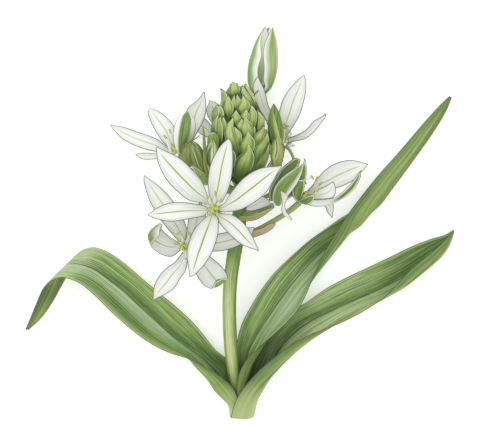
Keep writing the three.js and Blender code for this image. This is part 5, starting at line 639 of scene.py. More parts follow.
def tepal_material(name, seed=0.0, back=None, painted_shade_grey=0.0, vein=1.0, foot=0.5, rough=0.55, width=0.085):
    """Upper face white with a green midvein; lower face white or with a green band
    back = dict(lo, hi: where across the band lies, green, dark, soft, start, rim)."""
    m = Mat(name, rough)
    white = srgb(247, 248, 243)
    cream = srgb(230, 238, 200)
    grey = srgb(190, 195, 188)
    olive = srgb(134, 152, 78)
    absS = m.math('ABSOLUTE', m.s)
    st = m.streaks(13, 1.1, seed)
    st2 = m.streaks(34, 2.2, seed + 5)
    # upper face
    brim = m.step(absS, 0.25, 0.85, 0.35, 1.0)
    col = m.mix(m.math('MULTIPLY', m.math('MULTIPLY', m.step(st, 0.46, 0.70), 0.55), brim), white, grey)
    col = m.mix(m.math('MULTIPLY', m.math('MULTIPLY', m.step(st2, 0.52, 0.68), 0.42), brim), col, srgb(176, 182, 172))
    # painted shade at the tepal's foot, where the tepals meet; the foot argument sets how strong it is
    col = m.mix(m.math('MULTIPLY', m.step(m.l, 0.55, 0.02), m.math('MULTIPLY', m.step(st2, 0.35, 0.62, 0.35, 1.0), foot)), col, srgb(164, 172, 152))
    # painted shade along the margins
    col = m.mix(m.math('MULTIPLY', m.step(m.edge, 1.5, 0.35), 0.25), col, grey)
    halo = m.math('MULTIPLY', m.step(absS, 0.36, 0.02), 0.6 * vein)
    halo = m.math('MULTIPLY', halo, m.step(m.l, 1.0, 0.7))
    col = m.mix(halo, col, cream)
    line = m.math('MULTIPLY', m.step(absS, width, width * 0.35), m.step(m.l, 0.95, 0.80))
    line = m.math('MULTIPLY', line, m.lerp(m.step(st2, 0.3, 0.7), 0.7, 1.0))
    col = m.mix(m.math('MULTIPLY', line, vein), col, olive)
    # painted shade: greys the whole tepal
    if painted_shade_grey:
        col = m.mix(painted_shade_grey, col, grey)
    # lower face
    b = m.mix(m.math('MULTIPLY', m.step(st, 0.42, 0.72), 0.4), white, grey)
    if back:
        green = srgb(*back.get('green', (132, 160, 78)))
        dark = srgb(*back.get('dark', (84, 116, 48)))
        g = m.mix(m.step(st, 0.34, 0.66), dark, green)
        g = m.mix(m.math('MULTIPLY', m.step(st2, 0.52, 0.70), 0.5), g, srgb(182, 200, 122))
        g = m.mix(m.math('MULTIPLY', m.step(st2, 0.46, 0.30), 0.5), g, srgb(*[int(c * 0.75) for c in back.get('dark', (84, 116, 48))]))
        soft = back.get('soft', 0.2)
        wob = m.math('ADD', m.s, m.math('MULTIPLY', m.math('SUBTRACT', st2, 0.5), 0.35))
        inside = m.math('MULTIPLY', m.step(wob, back['lo'] - soft, back['lo'] + soft * 0.5), m.step(wob, back['hi'] + soft, back['hi'] - soft * 0.5))
        if 'start' in back:
            inside = m.math('MULTIPLY', inside, m.step(m.l, back['start'] - 0.12, back['start'] + 0.12))
        if 'end' in back:
            inside = m.math('MULTIPLY', inside, m.step(m.l, back['end'] + 0.12, back['end'] - 0.12))
        b = m.mix(inside, b, g)
        b = m.mix(m.math('MULTIPLY', m.step(m.edge, 0.7, 0.4), back.get('rim', 0.6)), b, srgb(228, 236, 206))
    col = m.mix(m.step(m.side, 0.35, 0.65), b, col)
    ink = m.step(m.edge, 0.34, 0.14)
    col = m.mix(m.math('MULTIPLY', ink, 0.9), col, INK)
    m.color(col)
    m.bump(st2, 0.00007, 0.45)
    return m.m


def leaf_material(name, seed=0.0, zones=(), rib=0.7):
    """Green blade with long streaks and a folded midrib that runs to the place rib.
    zones = patches of painted light and shade, with a few tints of the blade's own colour: (s, spread, t, spread,
    colour, amount)."""
    m = Mat(name, 0.5)
    deep = srgb(56, 86, 38)
    absS = m.math('ABSOLUTE', m.s)
    a = m.streaks(11, 1.6, seed)
    b = m.streaks(30, 3.0, seed + 3)
    c = m.streaks(64, 6.0, seed + 6)
    d = m.streaks(44, 17.0, seed + 9)
    col = m.mix(m.step(a, 0.36, 0.64), srgb(94, 134, 62), srgb(164, 192, 114))
    under = m.mix(m.step(a, 0.3, 0.7), srgb(92, 124, 58), srgb(150, 176, 98))
    # folded midrib: shaded on one side, lit on the other
    run = m.math('MULTIPLY', m.step(m.l, 0.05, 0.12), m.step(m.l, rib + 0.05, rib - 0.05))
    dark = m.math('MULTIPLY', m.step(m.s, 0.34, 0.01), m.step(m.s, -0.014, 0.008))
    col = m.mix(m.math('MULTIPLY', m.math('MULTIPLY', dark, run), 0.72), col, srgb(70, 104, 46))
    light = m.math('MULTIPLY', m.step(m.s, -0.20, -0.03), m.step(m.s, 0.010, -0.012))
    col = m.mix(m.math('MULTIPLY', m.math('MULTIPLY', light, run), 0.55), col, srgb(190, 210, 158))
    calm = None
    # patches of painted light and shade, with a few tints of the blade's own colour; the pale painted-light patches
    # also calm the streaks
    for s0, ss, t0, ts, tint, amount in zones:
        u = m.math('MULTIPLY', m.math('SUBTRACT', m.s, s0), 1 / ss)
        v = m.math('MULTIPLY', m.math('SUBTRACT', m.l, t0), 1 / ts)
        q = m.math('ADD', m.math('MULTIPLY', u, u), m.math('MULTIPLY', v, v))
        k = m.math('EXPONENT', m.math('MULTIPLY', q, -1.0))
        k = m.math('MULTIPLY', m.math('MULTIPLY', k, amount), m.step(b, 0.32, 0.62, 0.62, 1.15), clamp=True)
        col = m.mix(k, col, srgb(*tint))
        under = m.mix(m.math('MULTIPLY', k, 0.8), under, srgb(*tint))
        if sum(tint) > 540:
            calm = k if calm is None else m.math('MAXIMUM', calm, k)
    calm = m.math('SUBTRACT', 1.0, m.math('MULTIPLY', calm, 0.75)) if calm is not None else 1.0
    col = m.mix(m.math('MULTIPLY', m.step(b, 0.54, 0.66), 0.5), col, srgb(198, 216, 154))
    col = m.mix(m.math('MULTIPLY', m.math('MULTIPLY', m.step(b, 0.50, 0.38), 0.75), calm), col, srgb(72, 106, 46))
    col = m.mix(m.math('MULTIPLY', m.math('MULTIPLY', m.step(c, 0.47, 0.36), 0.65), calm), col, deep)
    col = m.mix(m.math('MULTIPLY', m.math('MULTIPLY', m.step(d, 0.46, 0.34), 0.55), calm), col, srgb(64, 96, 44))
    col = m.mix(m.math('MULTIPLY', m.step(d, 0.55, 0.68), 0.35), col, srgb(196, 214, 156))
    # dark line in the midrib crease: painted shade
    line = m.math('MULTIPLY', m.step(absS, 0.026, 0.008), run)
    col = m.mix(m.math('MULTIPLY', line, 0.85), col, srgb(54, 84, 38))
    # pale margin and sheath
    col = m.mix(m.math('MULTIPLY', m.step(m.edge, 0.95, 0.4), 0.55), col, srgb(190, 206, 140))
    col = m.mix(m.math('MULTIPLY', m.step(m.along, 12.0, 1.0), 0.5), col, srgb(184, 198, 132))
    under = m.mix(m.math('MULTIPLY', m.step(b, 0.5, 0.7), 0.55), under, srgb(188, 204, 144))
    under = m.mix(m.math('MULTIPLY', m.step(b, 0.47, 0.33), 0.65), under, srgb(66, 96, 42))
    under = m.mix(m.math('MULTIPLY', m.step(d, 0.45, 0.33), 0.5), under, srgb(60, 90, 40))
    under = m.mix(m.math('MULTIPLY', m.step(m.edge, 2.6, 0.5), 0.35), under, srgb(70, 100, 46))
    under = m.mix(m.math('MULTIPLY', m.step(m.along, 15.0, 1.0), 0.75), under, srgb(190, 202, 138))
    col = m.mix(m.step(m.side, 0.35, 0.65), under, col)
    ink = m.step(m.edge, 0.32, 0.12)
    col = m.mix(m.math('MULTIPLY', ink, 0.85), col, srgb(78, 92, 58))
    m.color(col)
    m.bump(b, 0.00014, 0.5)
    return m.m


# leaf patches: painted highlight, painted light on the halves turned to the light, painted shade on the halves turned
# away and deeper painted shade at the feet
PAINTED_HIGHLIGHT, PAINTED_LIGHT, PAINTED_SHADE, PAINTED_DEEP_SHADE = (206, 219, 176), (184, 204, 168), (76, 108, 50), (52, 82, 36)
LEAF_LIGHT_SHADE_AND_TINT = {
    'leaf_left': [(-0.20, 0.20, 0.47, 0.22, PAINTED_LIGHT, 0.85), (0.12, 0.10, 0.40, 0.22, PAINTED_SHADE, 0.75), (0.55, 0.60, 0.10, 0.12, PAINTED_DEEP_SHADE, 0.95),
                  (0.30, 0.45, 0.26, 0.10, PAINTED_SHADE, 0.55), (0.55, 0.75, 0.675, 0.06, PAINTED_HIGHLIGHT, 0.62), (-0.45, 0.65, 0.71, 0.065, PAINTED_HIGHLIGHT, 0.62),
                  (0.0, 1.4, 0.85, 0.045, PAINTED_DEEP_SHADE, 0.95), (-0.5, 0.5, 0.91, 0.06, PAINTED_SHADE, 0.8), (0.40, 0.50, 0.95, 0.05, (158, 184, 88), 0.7),
                  (-0.60, 0.25, 0.46, 0.16, PAINTED_SHADE, 0.45), (0.75, 0.25, 0.45, 0.18, (170, 194, 112), 0.5)],
    'leaf_upper_right': [(-0.45, 0.35, 0.43, 0.13, PAINTED_LIGHT, 0.95), (0.08, 0.12, 0.38, 0.16, PAINTED_SHADE, 0.7), (0.85, 0.25, 0.30, 0.20, PAINTED_SHADE, 0.7),
                         (0.70, 0.50, 0.56, 0.06, PAINTED_DEEP_SHADE, 0.75), (0.40, 0.22, 0.42, 0.12, (172, 196, 120), 0.6), (0.30, 0.60, 0.12, 0.10, PAINTED_DEEP_SHADE, 0.8),
                         (0.70, 0.30, 0.72, 0.14, PAINTED_SHADE, 0.45), (-0.20, 0.30, 0.80, 0.16, (180, 198, 122), 0.6), (-0.80, 0.20, 0.70, 0.12, PAINTED_SHADE, 0.5)],
    'leaf_lower_right': [(0.62, 0.30, 0.52, 0.20, (184, 206, 146), 0.85), (0.05, 0.12, 0.45, 0.24, PAINTED_SHADE, 0.6), (0.30, 0.60, 0.17, 0.13, PAINTED_DEEP_SHADE, 1.0),
                         (-0.35, 0.25, 0.50, 0.20, (200, 214, 168), 0.9), (-0.75, 0.20, 0.62, 0.08, PAINTED_HIGHLIGHT, 0.8), (0.30, 0.60, 0.86, 0.14, PAINTED_SHADE, 0.6),
                         (0.90, 0.20, 0.35, 0.10, PAINTED_SHADE, 0.5)],
}


def stem_material(name, seed=0.0):
    """Ribbed stalk: painted highlight along its upper face, painted shade down both sides, near the flowers and at the
    lower end.
    """
    m = Mat(name, 0.5)
    ang = m.math('MULTIPLY', m.s, 10.0)
    a = m.noise(m.vec(ang, m.math('MULTIPLY', m.along, 0.05), seed), 1.0, 3.0)
    b = m.noise(m.vec(m.math('MULTIPLY', m.s, 24.0), m.math('MULTIPLY', m.along, 0.10), seed + 2), 1.0, 3.0)
    col = m.mix(m.step(a, 0.35, 0.65), srgb(124, 150, 74), srgb(174, 195, 116))
    # painted highlight along the upper face
    painted_face_highlight = m.math('MULTIPLY', m.step(m.s, 0.30, 0.52), m.step(m.s, 0.84, 0.62))
    col = m.mix(m.math('MULTIPLY', painted_face_highlight, 0.7), col, srgb(212, 224, 160))
    # painted shade down the right side
    right = m.math('MULTIPLY', m.step(m.s, 0.34, 0.14), m.step(m.s, -0.5, -0.2))
    col = m.mix(m.math('MULTIPLY', right, m.step(b, 0.3, 0.6, 0.5, 0.9)), col, srgb(92, 122, 54))
    # painted shade down the left side
    left = m.step(m.math('ABSOLUTE', m.s), 0.84, 0.96)
    col = m.mix(m.math('MULTIPLY', left, 0.6), col, srgb(104, 132, 62))
    col = m.mix(m.math('MULTIPLY', m.step(b, 0.52, 0.7), 0.45), col, srgb(206, 218, 150))
    col = m.mix(m.math('MULTIPLY', m.step(b, 0.48, 0.34), 0.62), col, srgb(88, 116, 50))
    # painted shade under the flower head at the upper end and under the leaves at the lower end
    col = m.mix(m.math('MULTIPLY', m.step(m.l, 0.58, 0.76), 0.85), col, srgb(102, 132, 62))
    col = m.mix(m.math('MULTIPLY', m.step(m.l, 0.28, 0.12), 0.78), col, srgb(106, 132, 62))
    # side stems are a little greyer, with painted shade underneath
    side = m.mix(m.step(b, 0.3, 0.7), srgb(128, 146, 84), srgb(184, 196, 136))
    side = m.mix(m.math('MULTIPLY', m.step(m.s, 0.25, -0.1), 0.6), side, srgb(86, 110, 54))
    col = m.mix(m.step(m.side, 0.4, 0.6), col, side)
    m.color(col)
    m.bump(b, 0.0001, 0.5)
    return m.m


def plain_material(name, c0, c1, across=8.0, along=3.0, rough=0.6, seed=0.0):
    m = Mat(name, rough)
    a = m.streaks(across, along, seed)
    m.color(m.mix(m.step(a, 0.3, 0.7), c0, c1))
    m.bump(a, 0.00008, 0.4)
    return m.m


def scale_material(name, seed=0.0, shade=0.0):
    """Pointed bud scale: pale rim with a painted highlight, painted highlight on the ridge, painted shade on the sides
    and foot, dark outline.
    """
    m = Mat(name, 0.5)
    absS = m.math('ABSOLUTE', m.s)
    a = m.streaks(4, 1.0, seed)
    b = m.streaks(12, 2.2, seed + 4)
    big = m.noise(m.obj, 230.0, 2.0)
    col = m.mix(m.step(a, 0.35, 0.65), srgb(126, 154, 66), srgb(176, 198, 108))
    # painted highlight along the ridge
    lit = m.math('MULTIPLY', m.step(m.s, -0.55, -0.05), m.step(m.s, 0.62, 0.15))
    lit = m.math('MULTIPLY', lit, m.math('MULTIPLY', m.step(m.l, 0.30, 0.62), m.step(m.l, 1.0, 0.86)))
    col = m.mix(m.math('MULTIPLY', lit, m.step(big, 0.35, 0.6, 0.40, 0.9)), col, srgb(202, 214, 140))
    if shade:
        col = m.mix(shade, col, srgb(72, 104, 42))
    col = m.mix(m.math('MULTIPLY', m.step(b, 0.48, 0.32), 0.55), col, srgb(92, 120, 50))
    # painted shade at the foot, where the scale tucks under its neighbours
    col = m.mix(m.math('MULTIPLY', m.step(m.l, 0.60, 0.16), 0.86), col, srgb(60, 90, 36))
    # painted shade on both flanks, stronger on the left
    left = m.math('MULTIPLY', m.step(m.s, -0.35, -0.85), m.step(m.l, 0.96, 0.7))
    col = m.mix(m.math('MULTIPLY', left, 0.85), col, srgb(62, 92, 36))
    right = m.math('MULTIPLY', m.step(m.s, 0.45, 0.8), m.step(m.l, 0.9, 0.6))
    col = m.mix(m.math('MULTIPLY', right, 0.45), col, srgb(88, 116, 48))
    keel = m.math('MULTIPLY', m.step(absS, 0.10, 0.0), m.step(m.l, 0.35, 0.7))
    col = m.mix(m.math('MULTIPLY', keel, 0.5), col, srgb(98, 124, 54))
    # pale rim: the margin's own pale colour, with a painted highlight that grows towards the right
    rim = m.math('MULTIPLY', m.step(m.edge, 0.55, 0.32), m.step(m.l, 0.15, 0.5))
    rim = m.math('MULTIPLY', rim, m.step(m.s, -0.9, 0.5, 0.35, 0.95))
    col = m.mix(rim, col, srgb(222, 230, 184))
    ink = m.step(m.edge, 0.28, 0.12)
    col = m.mix(m.math('MULTIPLY', ink, 0.92), col, srgb(48, 66, 32))
    m.color(col)
    m.bump(b, 0.0001, 0.4)
    return m.m


# ------------------------------------------------------------------ pieces
def piece(ob, slot, *nodes):
    for v in ob.data.vertices:
        v.co.z = max(v.co.z, 2e-5)
    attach(ob, 'root')
    if nodes:
        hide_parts(*nodes)
    return ob


TH = 0.36e-3
# flower backs that face the viewer: band position across the tepal, and its tone
BACKS = {
    ('upper_left_flower', 3): dict(lo=-0.42, hi=0.52, green=(140, 168, 92), dark=(84, 122, 58), soft=0.16, rim=0.2),
    ('right_flower', 2): dict(lo=-0.55, hi=0.45, start=0.42, soft=0.25, rim=0.7),
    ('right_flower', 5): dict(lo=-0.9, hi=0.9, green=(142, 166, 86), dark=(92, 122, 52), soft=0.3, rim=0.9),
    ('right_flower', 6): dict(lo=-0.8, hi=0.9, green=(128, 156, 76), dark=(76, 106, 44), soft=0.3, rim=0.9),
}
CURLED = {
    ('lower_left_flower', 2): dict(lo=-0.9, hi=0.9, end=0.90, green=(146, 172, 92), dark=(92, 124, 56), soft=0.35, rim=0.9),
    ('lower_left_flower', 4): dict(lo=-0.7, hi=0.7, green=(160, 184, 108), dark=(104, 132, 62), soft=0.3, start=0.5, rim=0.9),
}
for fi, f in enumerate(FLOWERS):
    for i, t in enumerate(f['tepals'], 1):
        key = (f['name'], i)
        front = f['name'] == 'front_flower'
        back = BACKS.get(key) or CURLED.get(key) or dict(lo=-0.34, hi=0.34, green=(146, 172, 98), dark=(104, 136, 66), rim=0.2)
        # painted shade: the rear flower's tepals are greyed most and the front flower's not at all; foot sets the
        # painted shade at the tepal bases
        mat = tepal_material('tepal_%s_%d' % key, seed=fi * 7 + i * 1.3, back=back,
                             painted_shade_grey=0.12 if f['name'] == 'rear_flower' else (0.0 if front else 0.04),
                             vein=1.0 if front else 0.65, foot=0.45 if front or f['name'] == 'lower_left_flower' else 0.65)
        G = tepal_grid(t, f['c'], f['d'])
        V, F, A, B = blade(G, TH, groove=0.05e-3, ripple=0.015e-3, veins=9, seed=fi * 7 + i, ridge=0.06e-3)
        if key in BACKS:
            A[:, 2] = 1 - A[:, 2]
        ob = new_object('%s_petal_%d' % key, V, F, {'pa': A, 'pb': B}, [mat])
        piece(ob, 'tepal_white', '%s_tepal_%d' % key)

LOOSE_LOOK = {
    'front': dict(lo=-0.66, hi=0.46, green=(150, 178, 98), dark=(88, 124, 54), soft=0.42, rim=0.4),
    'rear': dict(lo=-1.2, hi=1.2, green=(134, 156, 86), dark=(80, 106, 50), soft=0.2, rim=0.7),
    'right': dict(lo=-1.2, hi=1.2, green=(136, 162, 84), dark=(80, 110, 48), soft=0.2, rim=0.9),
    'left': dict(lo=-0.4, hi=0.4, rim=0.3),
}
for i, t in enumerate(LOOSE):
    short = t['name'].split('_')[-1]
    # these loose tepals are greyed by 0.15 of painted shade
    mat = tepal_material('loose_' + short, seed=60 + i, back=LOOSE_LOOK[short], painted_shade_grey=0.15, vein=0.5)
    V, F, A, B = blade(tepal_grid(t), TH, groove=0.04e-3, ripple=0.012e-3, seed=40 + i, ridge=0.05e-3)
    if short != 'left':
        A[:, 2] = 1 - A[:, 2]
    ob = new_object(t['name'] + '_petal', V, F, {'pa': A, 'pb': B}, [mat])
    piece(ob, 'tepal_white', t['name'])

for i, t in enumerate(RIBBONS):
    # the curled tepal is greyed a little (0.1) with painted shade
    mat = (plain_material('bract_left', srgb(96, 98, 48), srgb(156, 162, 92), 7, 2) if 'bract' in t['name']
           else tepal_material('curled', seed=81, back=dict(lo=-0.5, hi=0.6, green=(176, 196, 132), dark=(124, 150, 84), soft=0.4), painted_shade_grey=0.1, vein=0.3))
    V, F, A, B = blade(tepal_grid(t), 0.32e-3, ripple=0.01e-3, seed=50 + i)
    ob = new_object(t['name'] + '_detail', V, F, {'pa': A, 'pb': B}, [mat])
    piece(ob, 'bud_green' if 'bract' in t['name'] else 'tepal_white', t['name'])

for i, l in enumerate(LEAVES):
    mat = leaf_material(l['name'] + '_skin', seed=i * 11.0, zones=LEAF_LIGHT_SHADE_AND_TINT[l['name']], rib=[0.78, 0.62, 0.94][i])
    G = leaf_grid(l)
    V, F, A, B = blade(G, 0.52e-3, groove=0.10e-3, ripple=0.03e-3, veins=17, seed=i, ridge=0.08e-3, taper=6.0)
    ob = new_object(l['name'] + '_blade', V, F, {'pa': A, 'pb': B}, [mat])
    piece(ob, 'leaf_green', l['name'])

# flower centres
def ovary_material():
    """Three lobes with a painted highlight on each ridge, painted shade in the seams between them and at the foot."""
    m = Mat('ovary', 0.4)
    a = m.streaks(8, 2.5, 3.0)
    seg = m.math('FRACT', m.math('ADD', m.math('MULTIPLY', m.s, 1.5), 10.5))
    d = m.math('ABSOLUTE', m.math('SUBTRACT', m.math('MULTIPLY', seg, 2.0), 1.0))      # 0 ridge, 1 seam
    col = m.mix(m.step(a, 0.3, 0.7), srgb(158, 170, 70), srgb(204, 212, 108))
    # painted highlight on the ridges
    col = m.mix(m.math('MULTIPLY', m.step(d, 0.35, 0.0), 0.6), col, srgb(226, 230, 140))
    # painted shade in the seams
    col = m.mix(m.math('MULTIPLY', m.step(d, 0.70, 0.98), 0.85), col, srgb(92, 106, 40))
    # painted shade at the foot
    col = m.mix(m.math('MULTIPLY', m.step(m.l, 0.2, 0.0), 0.5), col, srgb(120, 134, 60))
    m.color(col)
    m.bump(a, 0.00006, 0.4)
    return m.m


OVARY = ovary_material()
FILAMENT = plain_material('filament', srgb(226, 230, 216), srgb(252, 252, 248), 5, 1)
ANTHER = plain_material('anther', srgb(160, 164, 84), srgb(206, 206, 124), 5, 4, 0.7)
for fi, f in enumerate(FLOWERS):
    bl = Build()
    d = unit(np.array([f['d'][0], -f['d'][1], f['d'][2]]))
    base = np.array(f['c']) + d * 1.6
    h, r = f['ovary'][1], f['ovary'][2]
    prof = through(np.array([[0, r * 0.55], [0.08, r * 0.85], [0.35, r], [0.62, r * 0.86], [0.8, r * 0.5], [0.9, 0.8], [1.1, 0.62], [1.2, 0.85], [1.24, 0.3]]), np.linspace(0, 1, 33))
    path = world(np.array([base + d * (q * h) for q in prof[:, 0]]))
    bl.add(*tube(path, np.maximum(prof[:, 1], 0.2) * UNIT, 48, 3, 0.13), mat=0)
    for full in f['anthers']:
        a = np.array(full[:3], float)
        o = a - base
        o = unit(o - d * (o @ d))
        root = base + o * (r * 0.62) + d * 0.9
        L = np.linalg.norm(a - base)
        bend = base + o * (L * 0.55) + d * (((a - base) @ d) * 0.35)
        P = through(np.array([root, bend, a]), np.linspace(0, 1, 15))
        side = unit(np.cross([0, 0, 1.0], np.gradient(P, axis=0)))
        wid = np.interp(np.linspace(0, 1, 15), [0, 0.25, 0.7, 1], [1.5, 1.75, 0.85, 0.28])
        rows = np.stack([P + side * (q * wid)[:, None] - np.array([0, 0, 0.35]) * (q * q * wid)[:, None] for q in np.linspace(-1, 1, 7)], 1)
        V, F, A, B = blade(world(rows), 0.22e-3)
        bl.add(V, F, A, B, mat=1)
        ad = unit(np.array([full[3], full[4], 0.15])) if len(full) > 3 else unit(np.cross(d, o) + d * 0.4)
        q = np.linspace(-1, 1, 13)
        ap = world(a + np.outer(q * 2.9, ad))
        ar = ANTHER_R_U * np.sqrt(np.clip(1 - np.abs(q) ** 2.6, 0.02, 1)) * UNIT
        bl.add(*tube(ap, ar, 16, 2, 0.16), mat=2)
    ob = bl.make(f['name'] + '_pistil', [OVARY, FILAMENT, ANTHER])
    piece(ob, 'pistil_stamens', f['name'] + '_centre')

# buds: pointed outer petals laid over a slimmer core. Edges are given either as
# layout points [x, y] or as ['a', place along the bud, angle in degrees] where
# they run out of sight; 0 degrees faces up, -90 left and +90 right.
def bud_frame(b):
    prof = through(np.array(b['prof'], float), np.linspace(0, 1, 81))
    a, c = np.array(b['a'], float), np.array(b['b'], float)
    axis = c - a
    L = np.linalg.norm(axis)
    ax = axis / L
    lat = np.array([-ax[1], ax[0], 0.0])
    lat = unit(lat) * (1 if lat[0] > 0 else -1)
    up = np.cross(ax, lat)
    up = up * (1 if up[2] > 0 else -1)
    return a, ax, L, lat, up, prof


def bud_edge(b, pts):
    a, ax, L, lat, up, prof = bud_frame(b)
    out = []
    for p in pts:
        if p[0] == 'a':
            out.append([p[1], math.radians(p[2])])
            continue
        d = np.array([p[0] - a[0], p[1] - a[1]])
        m = np.array([[ax[0], lat[0]], [ax[1], lat[1]]])
        q, w = np.linalg.solve(m, d)
        q = q / L
        r = max(np.interp(q, prof[:, 0], prof[:, 1]), 0.3)
        out.append([float(np.clip(q, 0, 1)), math.asin(float(np.clip(w / r, -0.98, 0.98)))])
    return np.array(out)


def bud_petal(b, pl, pr, off=0.0, lift=0.35, thick=0.9, tip=None):
    """pl, pr: left and right edge from the foot to the tip."""
    a, ax, L, lat, up, prof = bud_frame(b)
    nu, ns = 49, 25
    EL, ER = bud_edge(b, pl), bud_edge(b, pr)
    q0, q1 = (EL[0, 0] + ER[0, 0]) / 2, (EL[-1, 0] + ER[-1, 0]) / 2
    q = q0 + (q1 - q0) * (1 - (1 - np.linspace(0, 1, nu)) ** 1.4)
    def edge(E):
        k = (E[:, 0] - E[0, 0]) / (E[-1, 0] - E[0, 0])
        o = np.argsort(k)
        fine = np.linspace(0, 1, 200)
        e = np.interp(fine, k[o], E[o, 1])
        ker = np.ones(9) / 9
        e = np.convolve(np.concatenate([[e[0]] * 4, e, [e[-1]] * 4]), ker, 'valid')
        return np.interp((q - q0) / (q1 - q0), fine, e)
    aL, aR = edge(EL), edge(ER)
    mid = (aL[-1] + aR[-1]) / 2
    aL[-1], aR[-1] = mid - 0.02, mid + 0.02
    sv = np.linspace(-1, 1, ns)
    V, A, B = [], [], []
    T = (q - q0) / (q1 - q0)
    rr = np.interp(q, prof[:, 0], prof[:, 1])
    ang = aL[:, None] * (1 - sv) / 2 + aR[:, None] * (1 + sv) / 2
    half = (aR - aL) / 2 * rr
    edge_d = np.minimum((1 - np.abs(sv))[None, :] * half[:, None], ((1 - T) * (q1 - q0) * L)[:, None])
    rim = np.clip(1 - np.abs(sv) ** 8, 0, 1)[None, :]
    up_ = off + lift * (1 - sv ** 2)[None, :] * np.sin(np.pi * np.clip(T, 0.02, 0.98))[:, None] ** 0.5
    def ringpos(h):
        R = (rr[:, None] + h)
        P = a + ax * (q * L)[:, None, None] + (R * np.sin(ang))[..., None] * lat + (R * np.cos(ang))[..., None] * up
        if tip is not None:
            C = P.mean(axis=1, keepdims=True)
            k = np.clip((T - 0.80) / 0.20, 0, 1)[:, None, None]
            go = np.array([tip[0], tip[1], P[-1, ns // 2, 2]]) - P[-1, ns // 2]
            P = C + (P - C) * (1 - 0.86 * k ** 3.6) + go * k ** 1.5
        return world(P).reshape(-1, 3)
    outer = ringpos(up_ - 0.25 * (1 - rim))
    inner = ringpos(up_ - 0.25 - thick * rim)
    S = sv[None, :] * np.ones((nu, 1)); TT = T[:, None] * np.ones((1, ns))
    A = np.stack([S, TT, np.ones_like(S)], -1).reshape(-1, 3)
    A2 = A * [1, 1, 0]
    Bv = np.stack([edge_d * UNIT * 1e3, half[:, None] * np.ones_like(S), ang], -1).reshape(-1, 3)
    K = nu * ns
    ix = lambda k, i, j: k * K + i * ns + j
    F = []
    for i in range(nu - 1):
        for j in range(ns - 1):
            F.append((ix(0, i, j), ix(0, i, j + 1), ix(0, i + 1, j + 1), ix(0, i + 1, j)))
            F.append((ix(1, i, j), ix(1, i + 1, j), ix(1, i + 1, j + 1), ix(1, i, j + 1)))
        F.append((ix(0, i, 0), ix(0, i + 1, 0), ix(1, i + 1, 0), ix(1, i, 0)))
        F.append((ix(0, i, ns - 1), ix(1, i, ns - 1), ix(1, i + 1, ns - 1), ix(0, i + 1, ns - 1)))
    for j in range(ns - 1):
        F.append((ix(0, 0, j), ix(1, 0, j), ix(1, 0, j + 1), ix(0, 0, j + 1)))
        F.append((ix(0, nu - 1, j), ix(0, nu - 1, j + 1), ix(1, nu - 1, j + 1), ix(1, nu - 1, j)))
    return np.concatenate([outer, inner]), F, np.concatenate([A, A2]), np.concatenate([Bv, Bv])


def petal_skin(name, seed=0.0, green=(112, 146, 70), dark=(66, 104, 48), pale=(214, 226, 172), white=(244, 247, 236),
               band=(-0.5, 0.5), soft=0.25, tip=0.0, whiten=1.0, rim=0.6, low=0.0):
    """Outer bud petal. band = where across the green lies, the rest is white or pale."""
    m = Mat(name, 0.55)
    a = m.streaks(7, 1.3, seed)
    b = m.streaks(20, 2.2, seed + 3)
    g = m.mix(m.step(a, 0.32, 0.68), srgb(*dark), srgb(*green))
    g = m.mix(m.math('MULTIPLY', m.step(b, 0.52, 0.72), 0.45), g, srgb(176, 198, 120))
    g = m.mix(m.math('MULTIPLY', m.step(b, 0.44, 0.28), 0.45), g, srgb(*[int(c * 0.78) for c in dark]))
    if low:
        g = m.mix(m.math('MULTIPLY', m.step(m.l, 0.55, 0.0), low), g, srgb(*[int(c * 0.8) for c in dark]))
    w = m.mix(m.math('MULTIPLY', m.step(b, 0.42, 0.7), 0.35), srgb(*white), srgb(*pale))
    wob = m.math('MULTIPLY', m.math('SUBTRACT', b, 0.5), 0.3)
    sp = m.math('ADD', m.s, wob)
    inside = m.math('MULTIPLY', m.step(sp, band[0] - soft, band[0] + soft * 0.6), m.step(sp, band[1] + soft, band[1] - soft * 0.6))
    if tip:
        inside = m.math('MULTIPLY', inside, m.step(m.l, 1.0, 1.0 - tip, 0.2, 1.0))
    col = m.mix(m.math('SUBTRACT', 1.0, m.math('MULTIPLY', m.math('SUBTRACT', 1.0, inside), whiten)), w, g)
    r = m.math('MULTIPLY', m.step(m.edge, 0.55, 0.3), rim)
    col = m.mix(r, col, srgb(*pale))
    ink = m.step(m.edge, 0.22, 0.10)
    col = m.mix(m.math('MULTIPLY', ink, 0.8), col, srgb(74, 88, 52))
    m.color(col)
    m.bump(b, 0.00008, 0.4)
    return m.m


def bud_core(name, seed, c0, c1):
    m = Mat(name, 0.6)
    a = m.streaks(10, 2.0, seed)
    m.color(m.mix(m.step(a, 0.35, 0.65), c0, c1))
    m.bump(a, 0.00008, 0.4)
    return m.m


